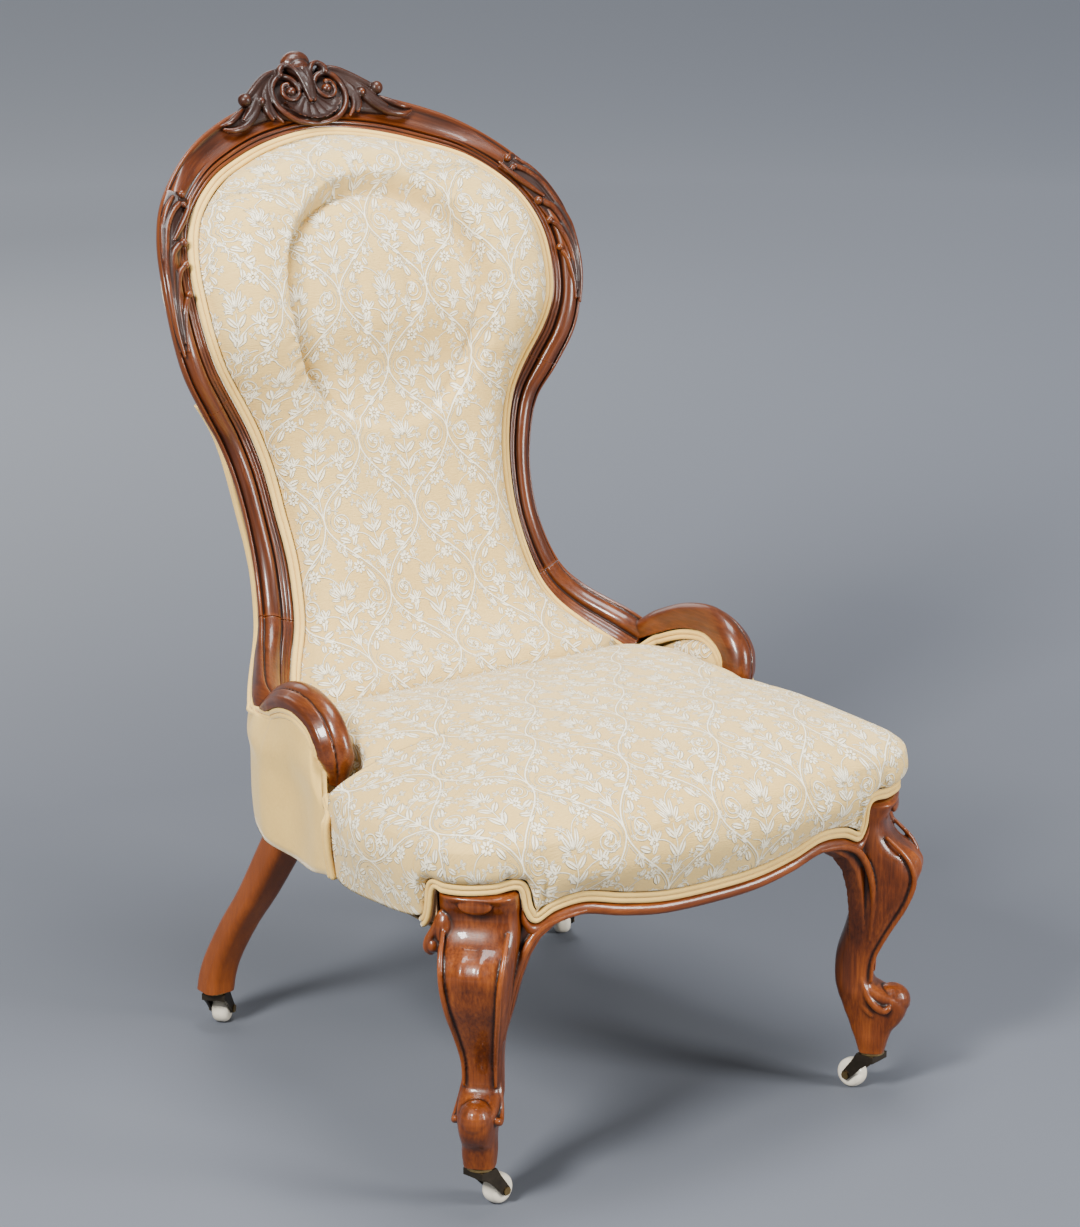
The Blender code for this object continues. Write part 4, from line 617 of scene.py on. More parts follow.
# Lightness of the wood's streaks, and the colour at each
WALNUT_TONES = ((0.30, (0.026, 0.0050, 0.0009)), (0.45, (0.080, 0.0155, 0.0019)),
                (0.58, (0.155, 0.0350, 0.0040)), (0.72, (0.250, 0.0680, 0.0080)))
WALNUT_PORE = (0.030, 0.010, 0.005)
# Colour of the hollows: grime together with painted shade
WALNUT_GRIME_AND_SHADE = (0.0085, 0.0022, 0.0008)
# Colour of raised parts: wear together with a painted highlight
WALNUT_WORN_AND_LIT = (0.27, 0.066, 0.008)
# Colour of the painted shade on the wood over the dark level
WALNUT_SHADE_ABOVE = (0.012, 0.0022, 0.0004)


def walnut_material():
    material, tree, shader = fresh_material("walnut")
    grain = attribute(tree, "grain").outputs["Vector"]
    hollow = Value(tree, attribute(tree, "hollow").outputs["Fac"])
    broad = noise_over(tree, grain, (7, 42, 42), 3.0, 0.55)
    streak = noise_over(tree, grain, (16, 420, 420), 5.0, 0.62)
    pore = noise_over(tree, grain, (60, 1700, 1700), 2.0).under(0.36, 0.05)
    dark = hollow.apply("MAXIMUM", 0.0)
    worn_and_lit = (hollow * -1.0).apply("MAXIMUM", 0.0)
    shaded_above = split(tree, object_place(tree))[2].over(DARK_LEVEL, 0.04)
    wood = ramp(tree, broad * 0.55 + streak * 0.45, WALNUT_TONES)
    # grime and painted shade in the hollows
    wood = mixed(tree, (dark * 1.9).apply("MINIMUM", 0.93), wood, WALNUT_GRIME_AND_SHADE)
    # wear and a painted highlight on raised parts
    wood = mixed(tree, (worn_and_lit * 0.45).apply("MINIMUM", 0.42), wood, WALNUT_WORN_AND_LIT)
    wood = mixed(tree, pore * 0.22, wood, WALNUT_PORE)
    # painted shade on the wood over the dark level
    wood = mixed(tree, shaded_above * 0.48, wood, WALNUT_SHADE_ABOVE)
    surfaced(tree, shader, wood, streak.mix(0.27, 0.40) + dark * 0.22,
             {"Specular IOR Level": 0.26, "Coat Roughness": 0.06})
    # polish is thinner in the hollows
    tree.links.new((dark * -0.32 + 0.34).apply("MAXIMUM", 0.08).socket, shader.inputs["Coat Weight"])
    bumped(tree, shader, broad * 0.5 + streak * 0.4 - pore * 0.3, 0.00035, 0.5)
    return material


# The damask's drawing: one repeat of it in metres, its marks in millimetres from the oval's middle
PATTERN_SCALE = 1.22
TILE_WIDTH = 0.130
TILE_HEIGHT = 0.188
# Middle, radius, distance between turns, hand and outer end's angle
SPIRALS = (((44, -3), 14.0, 5.6, 1.0, 10.0), ((13, 60), 8.5, 4.2, -1.0, 200.0),
           ((8, -62), 5.0, 3.2, 1.0, 90.0))
# Middle, radius and thickness
ARCS = (((27, -46), 27.0, 0.75), ((29, 4), 29.0, 0.70), ((22, -70), 22.0, 0.70))
# Middle, radius and petals
ROSETTES = (((30, 34), 8.5, 8), ((31, -21), 7.0, 5))
# Base, direction in degrees, length and width
LEAVES = (
    ((0, 0), 90, 24, 3.0), ((2.0, 1), 66, 23, 3.0), ((3, -1), 42, 19, 2.8), ((3, -3), 14, 13, 2.4),
    ((0, -22), 48, 20, 4.2), ((0, -44), 60, 22, 4.4), ((0, -66), 70, 19, 3.2), ((27, -20), 78, 14, 3.4),
    ((30, -20), 40, 14, 3.4), ((28, -23), -60, 13, 3.2), ((27, -19), 130, 12, 3.0),
    ((47, 14), 118, 19, 4.4), ((38, 44), 150, 16, 3.8), ((52, -22), 205, 18, 4.0),
    ((40, -42), 165, 17, 3.8), ((44, -3), 60, 9, 3.6), ((44, -3), 190, 8, 3.2),
    ((13, 60), -70, 14, 3.2), ((21, 46), 250, 13, 3.4),
)
SPRIG_SCALE = 38.0
SPRIG_LEAVES = (((0, 0), 90, 8.0, 1.7), ((0.6, 0), 40, 7.0, 1.5), ((-0.6, 0), 140, 7.0, 1.5),
                ((0, -4), -22, 6.0, 1.4), ((0, -4), 205, 6.0, 1.4))


def leaf(x, y, base, direction, long, wide):
    """Pointed leaf with a vein and a notched edge, from its base along a direction in degrees."""
    c, s = math.cos(math.radians(direction)), math.sin(math.radians(direction))
    dx = x - base[0] / 1000
    dy = y - base[1] / 1000
    along = (dx * c + dy * s) / (long / 1000)
    aside = (dy * c - dx * s).size() / (wide / 1000)
    bow = (along * (along * -1.0 + 1.0) * 4.0).apply("MAXIMUM", 0.0).apply("POWER", 0.75)
    body = (aside - bow).under(-0.08, 0.12)
    vein = aside.over(0.13, 0.06)
    return body * vein


def spiral(x, y, centre, radius, pitch, hand, start):
    """Line that curls in to a centre, in millimetres, with its outer end at an angle in degrees."""
    dx = x - centre[0] / 1000
    dy = (y - centre[1] / 1000) * hand
    reach = length(dx, dy)
    turn = dy.apply("ARCTAN2", dx) / (2 * math.pi) - start / 360.0
    band = (reach / (pitch / 1000) - turn).apply("FRACT") - 0.5
    line = band.size().under(0.155, 0.07)
    return line * reach.under(radius / 1000, 0.0004) * reach.over(pitch / 2500, 0.0003)


def rosette(x, y, centre, radius, petals):
    """Flower with its petals round an eye, in millimetres."""
    dx = x - centre[0] / 1000
    dy = y - centre[1] / 1000
    reach = length(dx, dy) / (radius / 1000)
    turn = dy.apply("ARCTAN2", dx) * float(petals)
    edge = turn.apply("COSINE") * 0.16 + 0.82
    body = (reach - edge).under(0.0, 0.06)
    gaps = (turn.apply("COSINE") + reach * 0.3).over(-0.72, 0.1)
    eye = reach.over(0.30, 0.05)
    core = reach.under(0.16, 0.05)
    return (body * gaps * eye).apply("MAXIMUM", core)


def arc(x, y, centre, radius, thick):
    """Quarter of a circle, over its centre and towards the oval's middle line."""
    dx = x - centre[0] / 1000
    dy = y - centre[1] / 1000
    line = (length(dx, dy) - radius / 1000).size().under(thick / 1000, 0.0003)
    return line * (dx * -1.0).over(-0.0002, 0.0003) * dy.over(-0.0002, 0.0003)


def sprigs(tree, u, v):
    """Small leafy sprigs strewn between the stems."""
    spot = tree.nodes.new("ShaderNodeCombineXYZ")
    tree.links.new(u.socket, spot.inputs[0])
    tree.links.new(v.socket, spot.inputs[1])
    cell = tree.nodes.new("ShaderNodeTexVoronoi")
    cell.voronoi_dimensions = "2D"
    cell.inputs["Scale"].default_value = SPRIG_SCALE
    cell.inputs["Randomness"].default_value = 0.62
    tree.links.new(spot.outputs[0], cell.inputs["Vector"])
    middle = split(tree, cell.outputs["Position"])
    turn = split(tree, cell.outputs["Color"])[0] * (2 * math.pi)
    c, s = turn.apply("COSINE"), turn.apply("SINE")
    dx = u - middle[0]
    dy = v - middle[1]
    x = dx * c + dy * s
    y = dy * c - dx * s
    marks = [leaf(x, y, *shape) for shape in SPRIG_LEAVES]
    marks.append(x.size().under(0.00055, 0.0003) * y.under(0.0, 0.0003) * y.over(-0.0085, 0.0003))
    return marks


def foliage(tree, cloth):
    """Raised share of the woven pattern: leafy stems in pointed ovals, each with its bouquet."""
    sway = noise_over(tree, cloth, (14, 14, 1), 1.0) - 0.5
    across, along, _ = split(tree, cloth)
    u = across * PATTERN_SCALE + sway * 0.012
    v = along * PATTERN_SCALE + sway * 0.010
    half = TILE_WIDTH / 2
    a = u.apply("PINGPONG", half)
    rise = (v / TILE_HEIGHT).apply("FRACT")
    wave = (rise * (2 * math.pi)).apply("COSINE")
    edge = wave * (-half / 2) + half / 2
    inside = (edge - a).apply("GREATER_THAN", 0.0)
    outside = inside * -1.0 + 1.0
    x = inside * a + outside * (a * -1.0 + half)
    shifted = (rise + 0.5).apply("FRACT")
    y = ((inside * rise + outside * shifted) - 0.5) * TILE_HEIGHT
    slope = (rise * (2 * math.pi)).apply("SINE") * (math.pi * half / TILE_HEIGHT)
    gap = (a - edge).size() / (slope * slope + 1.0).apply("SQRT")
    marks = [
        gap.under(0.0011, 0.0003),
        (gap - 0.0034).size().under(0.00045, 0.0003) * y.over(0.0, 0.012),
        x.size().under(0.0008, 0.0003) * y.under(-0.004, 0.0003),
    ]
    marks += [spiral(x, y, *shape) for shape in SPIRALS]
    marks += [arc(x, y, *shape) for shape in ARCS]
    marks += [rosette(x, y, *shape) for shape in ROSETTES]
    marks += [leaf(x, y, *shape) for shape in LEAVES]
    marks += sprigs(tree, u, v)
    total = marks[0]
    for mark in marks[1:]:
        total = total.apply("MAXIMUM", mark)
    return total


def damask_material():
    material, tree, shader = fresh_material("damask")
    cloth = attribute(tree, "cloth").outputs["Vector"]
    raised = foliage(tree, cloth)
    soiling = noise_over(tree, cloth, (5, 5, 1), 3.0)
    thread = noise_over(tree, cloth, (900, 2600, 1), 2.0, 0.6)
    slub = noise_over(tree, cloth, (120, 900, 1), 3.0, 0.6)
    tuft = noise_over(tree, cloth, (650, 650, 1), 3.0, 0.65)
    ground = mixed(tree, soiling, (0.600, 0.385, 0.105), (0.810, 0.600, 0.235))
    ground = mixed(tree, slub.over(0.5, 0.25) * 0.45, ground, (0.480, 0.290, 0.095))
    pile = mixed(tree, tuft, (0.930, 0.820, 0.560), (1.000, 0.960, 0.800))
    surfaced(tree, shader, mixed(tree, raised * 0.92, ground, pile), thread.mix(0.86, 0.98) - raised * 0.10,
             {"Specular IOR Level": 0.18, "Sheen Weight": 0.25, "Sheen Roughness": 0.45,
              "Sheen Tint": (1.0, 0.95, 0.86, 1.0)})
    bumped(tree, shader, raised * 0.75 + tuft * raised * 0.35 + slub * 0.30 + thread * 0.12, 0.0034)
    return material


def velvet_material():
    material, tree, shader = fresh_material("velvet")
    cloth = attribute(tree, "cloth").outputs["Vector"]
    broad = noise_over(tree, cloth, (22, 22, 22), 3.0, 0.6)
    nap = noise_over(tree, cloth, (240, 240, 240), 3.0, 0.7)
    fine = noise_over(tree, cloth, (1500, 1500, 1500), 2.0, 0.6)
    colour = mixed(tree, broad * 0.55 + nap * 0.45, (0.460, 0.262, 0.046), (0.800, 0.538, 0.138))
    colour = mixed(tree, fine.over(0.5, 0.2) * 0.22, colour, (0.84, 0.68, 0.42))
    surfaced(tree, shader, colour, nap.mix(0.78, 0.95),
             {"Specular IOR Level": 0.15, "Sheen Weight": 0.45, "Sheen Roughness": 0.35,
              "Sheen Tint": (1.0, 0.93, 0.80, 1.0)})
    bumped(tree, shader, nap * 0.6 + fine * 0.4, 0.0006, 0.7)
    return material


def plain_material(name, low, high, scales, rough, metal=0.0, coat=0.0, relief=0.0003):
    """Material whose colour, gloss and surface vary with stretched noise over the piece."""
    material, tree, shader = fresh_material(name)
    place = object_place(tree)
    mottle = noise_over(tree, place, scales, 5.0, 0.6)
    patch = noise_over(tree, place, (30, 30, 30), 3.0, 0.6)
    surfaced(tree, shader, mixed(tree, mottle * 0.6 + patch * 0.4, low, high), patch.mix(*rough),
             {"Metallic": metal, "Coat Weight": coat, "Coat Roughness": 0.08})
    bumped(tree, shader, mottle * 0.7 + patch * 0.3, relief, 0.6)
    return material


def woven_material(name, low, high, pitch):
    """Plain weave of flat yarns, over and under, at a pitch in metres."""
    material, tree, shader = fresh_material(name)
    place = object_place(tree)
    warp, weft = ((part * (math.pi / pitch)).apply("SINE") for part in split(tree, place)[:2])
    cross = (warp * weft).apply("SIGN")
    yarn = cross.over(0.0, 0.5) * warp.size() + cross.under(0.0, 0.5) * weft.size()
    fuzz = noise_over(tree, place, (500, 500, 500), 4.0, 0.65)
    patch = noise_over(tree, place, (12, 12, 12), 3.0)
    # the colour darkens towards each yarn's edge, where it dips under the next: painted shade between the
    # yarns
    surfaced(tree, shader, mixed(tree, yarn * 0.5 + fuzz * 0.35 + patch * 0.15, low, high),
             fuzz.mix(0.82, 1.0), {})
    bumped(tree, shader, yarn * 0.7 + fuzz * 0.5, pitch * 0.5, 0.8)
    return material


MATERIALS = {
    "walnut": walnut_material(),
    "damask": damask_material(),
    "velvet": velvet_material(),
    "hessian": woven_material("hessian", (0.16, 0.10, 0.045), (0.44, 0.31, 0.16), 0.0016),
    "webbing": woven_material("webbing", (0.20, 0.13, 0.07), (0.52, 0.40, 0.24), 0.0022),
}
# Dark and light colour, waves to the metre, roughness from and to, metal, coat and relief
PLAIN_MATERIALS = {
    "beech": ((0.34, 0.20, 0.10), (0.56, 0.38, 0.21), (40, 40, 8), (0.55, 0.75)),
    "spring_steel": ((0.22, 0.19, 0.16), (0.52, 0.50, 0.47), (200, 200, 200), (0.30, 0.55), 1.0),
    "castor_bronze": ((0.014, 0.012, 0.010), (0.085, 0.066, 0.046), (160, 160, 160), (0.36, 0.62), 0.9,
                      0.0, 0.0004),
    "castor_brass": ((0.13, 0.080, 0.030), (0.52, 0.36, 0.15), (220, 220, 220), (0.22, 0.45), 1.0),
    "ceramic": ((0.66, 0.58, 0.44), (0.86, 0.80, 0.68), (70, 70, 70), (0.14, 0.26), 0.0, 0.6, 0.0001),
}
for word, values in PLAIN_MATERIALS.items():
    MATERIALS[word] = plain_material(word, *values)


# Mesh building


def loft(rings, looped=True, capped=True):
    """Points and faces of a skin over rings that have the same number of points."""
    count = len(rings[0])
    points = [point for ring in rings for point in ring]
    faces = []
    for i in range(len(rings) - 1):
        for j in range(count if looped else count - 1):
            k = (j + 1) % count
            faces.append((i * count + j, i * count + k, (i + 1) * count + k, (i + 1) * count + j))
    if capped:
        faces.append(tuple(range(count)))
        faces.append(tuple(range(len(points) - count, len(points))))
    return points, faces


def mirrored(form, side):
    """A form, or its mirror image for the left-hand side."""
    points, faces = form
    return on_side(points, side), faces


def mesh_from(name, forms):
    """One mesh of several closed forms, each with its faces turned outward."""
    bm = bmesh.new()
    for points, faces in forms:
        verts = [bm.verts.new(p) for p in points]
        made = [bm.faces.new([verts[i] for i in face]) for face in faces]
        bmesh.ops.recalc_face_normals(bm, faces=made)
    mesh = bpy.data.meshes.new(name)
    bm.to_mesh(mesh)
    bm.free()
    return mesh


def fused(name, forms, voxel, smoothing=2):
    """One even skin over overlapping closed forms, softened a little."""
    draft = bpy.data.objects.new(name + "_draft", mesh_from(name, forms))
    bpy.context.collection.objects.link(draft)
    remesh = draft.modifiers.new("skin", "REMESH")
    remesh.mode = "VOXEL"
    remesh.voxel_size = voxel
    soften = draft.modifiers.new("soften", "SMOOTH")
    soften.factor = 0.5
    soften.iterations = smoothing
    depsgraph = bpy.context.evaluated_depsgraph_get()
    mesh = bpy.data.meshes.new_from_object(draft.evaluated_get(depsgraph))
    bpy.data.objects.remove(draft)
    return mesh


def coordinates(mesh):
    """The mesh's points as rows of numbers."""
    values = np.empty(len(mesh.vertices) * 3)
    mesh.vertices.foreach_get("co", values)
    return values.reshape(-1, 3)


def store(mesh, name, values):
    """Keeps a number or a vector per point under a name that a material reads."""
    values = np.asarray(values, dtype=np.float32)
    if values.ndim == 1:
        mesh.attributes.new(name, "FLOAT", "POINT").data.foreach_set("value", values)
    else:
        mesh.attributes.new(name, "FLOAT_VECTOR", "POINT").data.foreach_set("vector", values.ravel())


def hollowness(mesh, rounds):
    """How far each point lies below its smoothed surroundings, in metres."""
    here = coordinates(mesh)
    edges = np.empty(len(mesh.edges) * 2, dtype=np.int64)
    mesh.edges.foreach_get("vertices", edges)
    a, b = edges.reshape(-1, 2).T
    count = np.bincount(np.concatenate((a, b)), minlength=len(here)).reshape(-1, 1)
    smooth = here.copy()
    for _ in range(rounds):
        total = np.zeros_like(here)
        for axis in range(3):
            total[:, axis] = (np.bincount(a, smooth[b, axis], len(here))
                              + np.bincount(b, smooth[a, axis], len(here)))
        smooth = total / np.maximum(count, 1)
    normals = np.empty(len(here) * 3)
    mesh.vertices.foreach_get("normal", normals)
    return ((smooth - here) * normals.reshape(-1, 3)).sum(axis=1)


def dress(name, mesh, slot, nodes, body="chair", sharp=70):
    """Puts a finished mesh in the scene, on its body and in place of its solids."""
    mesh.transform(Matrix.Translation(SHIFT))
    mesh.materials.clear()
    mesh.materials.append(MATERIALS[slot])
    mesh.shade_smooth()
    mesh.set_sharp_from_angle(angle=math.radians(sharp))
    piece = bpy.data.objects.new(name, mesh)
    bpy.context.collection.objects.link(piece)
    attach(piece, body)
    if nodes:
        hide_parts(*nodes)
    return piece


def dress_wood(name, mesh, nodes, grain=None, along=2, rounds=14, depth=0.0011, darkening=0.0):
    """Walnut with its grain along one axis, its hollows marked for grime and painted shade and its raised
    parts for wear and painted highlight; darkening moves the whole piece towards the hollows' colour.
    """
    if grain is None:
        here = coordinates(mesh)
        order = [along] + [axis for axis in range(3) if axis != along]
        grain = here[:, order]
    store(mesh, "grain", grain)
    # hollow: grime and painted shade where it is over 0, wear and a painted highlight where it is under 0;
    # darkening raises it over the whole piece
    store(mesh, "hollow", np.clip(hollowness(mesh, rounds) / depth + darkening, -1.0, 1.0))
    return dress(name, mesh, "walnut", nodes)


def tube(line, sizes, sides=12):
    """A round strand along points, with a radius for each point and rounded ends."""
    rings = []
    last = len(line) - 1
    up = Vector((0.31, 0.67, 0.67))
    for i, (point, size) in enumerate(zip(line, sizes)):
        run = (line[min(i + 1, last)] - line[max(i - 1, 0)]).normalized()
        aside = run.cross(up).normalized()
        other = run.cross(aside)
        rings.append([point + (aside * math.cos(t) + other * math.sin(t)) * size
                      for t in (2 * math.pi * k / sides for k in range(sides))])
    first_run = (line[0] - line[1]).normalized()
    last_run = (line[-1] - line[-2]).normalized()
    nose = [[point + (point - line[0]) * -0.5 + first_run * sizes[0] * 0.6 for point in rings[0]]]
    tail = [[point + (point - line[-1]) * -0.5 + last_run * sizes[-1] * 0.6 for point in rings[-1]]]
    return loft(nose + rings + tail)


def strand(points, sizes, steps=4, sides=12):
    """A tube through given points, smoothed between them."""
    last = len(points) - 1
    spots = places(0, last, last * steps)
    line = [curve_at(points, p) for p in spots]
    widths = [Vector((size, 0.0, 0.0)) for size in sizes]
    return tube(line, [max(curve_at(widths, p).x, min(sizes) / 2) for p in spots], sides)


def blob(centre, axes, rows=10, sides=16):
    """An egg-shaped closed form about a centre, from three half axes."""
    rings = []
    for i in range(1, rows):
        turn = math.pi * i / rows
        rings.append([centre + axes[2] * math.cos(turn)
                      + (axes[0] * math.cos(t) + axes[1] * math.sin(t)) * math.sin(turn)
                      for t in (2 * math.pi * k / sides for k in range(sides))])
    return loft(rings)


def ball(centre, radius):
    return blob(centre, [Vector((radius, 0, 0)), Vector((0, radius, 0)), UP * radius])


# Show frame


def arch(value):
    """Half circle over 0 to 1."""
    return math.sqrt(max(0.0, 1 - (2 * value - 1) ** 2))


# Mouldings: each member ends at a share of the width, with heights in metres over the face


def side_relief(u):
    """Height of the frame's moulding over its face at a share of the width, along the sides."""
    if u < 0.11:
        return -0.0016 + 0.0026 * arch(within(u, 0.0, 0.11))
    if u < 0.15:
        return -0.0016
    if u < 0.62:
        return -0.0016 + 0.0066 * arch(within(u, 0.15, 0.62)) ** 0.9
    if u < 0.68:
        return -0.0032
    step = (u - 0.68) / 0.32 * 3
    return -0.0024 - 0.0004 * step + 0.0015 * arch(step % 1.0)


def crown_relief(u):
    """The same over the crown: raised outer edge, hollow middle and inner bead."""
    if u < 0.17:
        return 0.0002 + 0.0042 * arch(within(u, -0.05, 0.17))
    if u < 0.74:
        return 0.0016 - 0.0034 * math.sin(math.pi * within(u, 0.17, 0.74)) ** 0.8
    if u < 0.78:
        return -0.0022
    step = (u - 0.78) / 0.22 * 2
    return -0.0014 - 0.0012 * step / 2 + 0.0022 * arch(step % 1.0)


FRAME_SAMPLES = 64
BACK_SAMPLES = 6
# Steps between sections, in points of the edge they follow
FRAME_STEP = 0.08
RAIL_STEP = 0.1
# The crown's moulding turns into the sides' own from this place to twice as far
MOULDING_TURN = 2.2
# Level of the frame's edge under its moulding, and above its back at the undercut
EDGE_LEVEL = -0.0036
UNDERCUT_LEVEL = 0.004
# Size of the mesh's cells where carving is fused
CARVING_VOXEL = 0.0009


def moulded_ring(place):
    """Section of the show frame and, for each point, its place in the grain."""
    outer, width, across, facing = frame_at(place)
    lower = smooth_step((abs(place) - MOULDING_TURN) / MOULDING_TURN)
    offsets = []
    for i in range(FRAME_SAMPLES + 1):
        u = i / FRAME_SAMPLES
        offsets.append((u, crown_relief(u) * (1 - lower) + side_relief(u) * lower))
    for i in range(1, BACK_SAMPLES + 1):
        offsets.append((1.0, EDGE_LEVEL + (-EDGE_LEVEL - FRAME_DEPTH) * i / BACK_SAMPLES))
    inset = back_inset(place)
    offsets.append((inset + 0.03, -FRAME_DEPTH))
    for i in range(1, BACK_SAMPLES + 1):
        turn = i / BACK_SAMPLES
        level = -FRAME_DEPTH + (FRAME_DEPTH - UNDERCUT_LEVEL) * turn ** 0.8
        offsets.append((inset * (1 - turn) ** 1.6, level))
    return ([outer + across * (u * width) + facing * n for u, n in offsets],
            [(u * width, n) for u, n in offsets])


def frame_run(start, end, step):
    """Points, faces and grain of the frame between two places."""
    rings = []
    grain = []
    run = 0.0
    before = None
    for p in stations(start, end, step):
        ring, section = moulded_ring(p)
        middle = ring[FRAME_SAMPLES // 2]
        run += (middle - before).length if before else 0.0
        before = middle
        rings.append(ring)
        grain += [(run, u, n) for u, n in section]
    return rings, grain


def make_frame_pieces():
    end = SHOULDER_JOINT - joint_trim(SHOULDER_JOINT)
    rings, grain = frame_run(-end, end, FRAME_STEP)
    dress_wood("crest_rail_moulded", mesh_from("crest_rail_moulded", [loft(rings)]), ["crest_rail"], grain)
    start = SHOULDER_JOINT + joint_trim(SHOULDER_JOINT)
    stop = ARM_JOINT - joint_trim(ARM_JOINT)
    for word, side in SIDES:
        rings, grain = frame_run(start, stop, FRAME_STEP)
        form = mirrored(loft(rings), side)
        name = "back_stile_moulded_" + word
        dress_wood(name, mesh_from(name, [form]), ["back_stile_" + word], grain)


SCROLL_SAMPLES = 44
SCROLL_STEPS = 12
# The scroll ends in a section of this share of its last one, so far beyond it
TIP_SHARE = 0.75
TIP_REACH = 0.002


def scroll_relief(a):
    """Depth of the scroll's moulding below its ridge at a share of half its width."""
    if a < 0.30:
        return -0.62 + 0.62 * math.sqrt(max(0.0, 1 - ((a + 0.22) / 0.80) ** 2)) ** 0.9
    if a < 0.37:
        return -0.22
    if a < 0.50:
        return -0.17
    if a < 0.86:
        return -0.18 - 0.16 * within(a, 0.50, 0.86)
    return -0.33 - 0.14 * within(a, 0.86, 1.0) ** 2


def moulded_scroll_ring(place):
    """Section of the arm scroll with its moulding."""
    ring = [scroll_point(place, -1.0, -SCROLL_INNER_SHARE)]
    for i in range(SCROLL_SAMPLES + 1):
        a = -1 + 2 * i / SCROLL_SAMPLES
        ring.append(scroll_point(place, a, scroll_relief(a)))
    ring.append(scroll_point(place, 1.0, -SCROLL_SIDE_SHARE))
    inset = WELT_THICKNESS + OVERRUN * 0.75
    for a, depth in ((1.0, -SCROLL_SIDE_SHARE), (1.0, -1.0), (-1.0, -1.0), (-1.0, -SCROLL_INNER_SHARE)):
        ring.append(scroll_point(place, a, depth, 0.0, -a * inset))
    return ring


def make_arms():
    start = ARM_JOINT + joint_trim(ARM_JOINT)
    rail, _ = frame_run(start, len(OUTER_EDGE) - 1, RAIL_STEP)
    scroll = [moulded_scroll_ring(p) for p in places(0, RIDGE_LAST, SCROLL_STEPS * RIDGE_LAST)]
    tip = scroll[-1]
    middle = sum(tip, Vector()) / len(tip)
    onward = (RIDGE[-1] - RIDGE[-2]).normalized()
    scroll.append([middle + (p - middle) * TIP_SHARE + onward * TIP_REACH for p in tip])
    for word, side in SIDES:
        forms = [mirrored(loft(rings), side) for rings in (rail, scroll)]
        mesh = fused("arm_" + word, forms, CARVING_VOXEL, 2)
        dress_wood("arm_scroll_moulded_" + word, mesh, ["arm_scroll_" + word], along=1)


# Carving


def mm(values):
    """Metres from millimetres."""
    return [value / 1000 for value in values]


# Distances from the middle between the first points of the crown's edge
CROWN_FIRST = 0.070
CROWN_NEXT = 0.060


def crest_place(x):
    """Place on the crown's edge at a distance from the middle."""
    return x / CROWN_FIRST if x < CROWN_FIRST else 1 + (x - CROWN_FIRST) / CROWN_NEXT


def crest_point(x, u, n):
    """Point over the crown: across from the middle, down the face from its edge, and forward."""
    outer, _, across, facing = frame_at(crest_place(x))
    return Vector((x, outer.y, outer.z)) + Vector((0.0, across.y, across.z)) * u + facing * n


def crest_strand(spots, sizes, side):
    """A strand over one half of the crest, from places and radii in millimetres."""
    return strand(on_side([crest_point(*mm(spot)) for spot in spots], side), mm(sizes))


# Strands over the crest's right half: across, down and forward in millimetres, with their radii.
# First its scroll, the arm that joins it to the shell, and the tendrils beside them
CREST_STRANDS = (
    (((0, 41.0, 7), (12, 39.5, 8), (24, 34.5, 8), (34.5, 25.5, 9), (41.5, 14, 9), (44, 3, 10),
      (42, -8, 11), (35, -16, 13), (26, -18.5, 13), (16, -14, 12), (10.5, -5, 12), (12, 5, 12),
      (19, 11, 12), (28, 9, 12), (32, 1, 13), (29, -6, 14), (23, -6, 15)),
     (2.4, 2.7, 3.0, 3.2, 3.3, 3.3, 3.3, 3.3, 3.2, 3.2, 3.0, 2.8, 2.6, 2.5, 2.5, 2.6, 3.0)),
    (((2, 16, 13), (3.5, 6, 15), (5, -6, 17), (8, -18, 18), (14, -26, 18), (21, -28, 17),
      (27, -24, 16), (28, -18, 15)), (2.4, 3.2, 3.4, 3.2, 3.0, 3.2, 3.8, 3.4)),
    (((22, -25, 10), (40, -22.5, 9), (56, -12.7, 8), (64, 0, 8), (72, 12.6, 8), (88, 20.8, 7),
      (104, 18.4, 6), (115, 11, 5)), (2.2, 4.2, 5.2, 5.0, 4.6, 4.0, 3.2, 1.6)),
    (((24, -27, 12), (42, -24, 12), (56, -18, 11), (68, -11, 11), (81, -5, 11)), (2.2, 3.6, 4.2, 4.2, 3.4)),
    (((48, -14, 9), (54, 2, 9), (56, 15, 8), (52, 25, 7)), (2.2, 4.6, 4.2, 2.4)),
    (((50, -18, 9), (66, -2, 10), (78, 9, 9), (88, 14, 8)), (2.2, 4.0, 3.8, 2.0)),
    (((84, 2, 6), (96, 6, 6), (106, 8, 6), (117, 5, 4)), (2.0, 3.6, 3.0, 1.4)),
)
# Balls at the volutes' eyes: place and radius
CREST_BALLS = (((22, 2, 13), 5.6), ((62, 3, 11), 5.4), ((81, -5, 12), 7.4))
# Leaves between the scrolls
CREST_LEAVES = (
    (((18, -32, 10), (11, -24, 14), (5, -14, 17), (1, -2, 19)), (2.0, 4.4, 4.4, 2.4)),
    (((6, -30, 12), (3.5, -18, 17), (1.0, -2, 18), (0.6, 14, 14)), (3.4, 3.8, 4.2, 2.0)),
    (((36, -22, 10), (48, -10, 9), (52, 6, 9), (49, 20, 8), (41, 31, 6)), (2.0, 3.4, 3.6, 3.0, 1.6)),
)
# Solid ground under the crest's strands: how far it reaches, in millimetres
CREST_GROUND_REACH = 112
CREST_GROUND_STEP = 4
# Knob on the crest's top: middle on its face, and half axes
CREST_KNOB = (
    ((0, -0.034, 0.010), ((0.0170, 0, 0), (0, 0.011, 0.002), (0, -0.001, 0.0125))),
    ((0, -0.026, 0.012), ((0.0125, 0, 0), (0, 0.009, 0.0), (0, 0.0, 0.0100))),
)
SHELL_LOBES = 7
SHELL_SPREAD = 1.30
SHELL_RADIUS = 0.0375
SHELL_APEX = 0.002


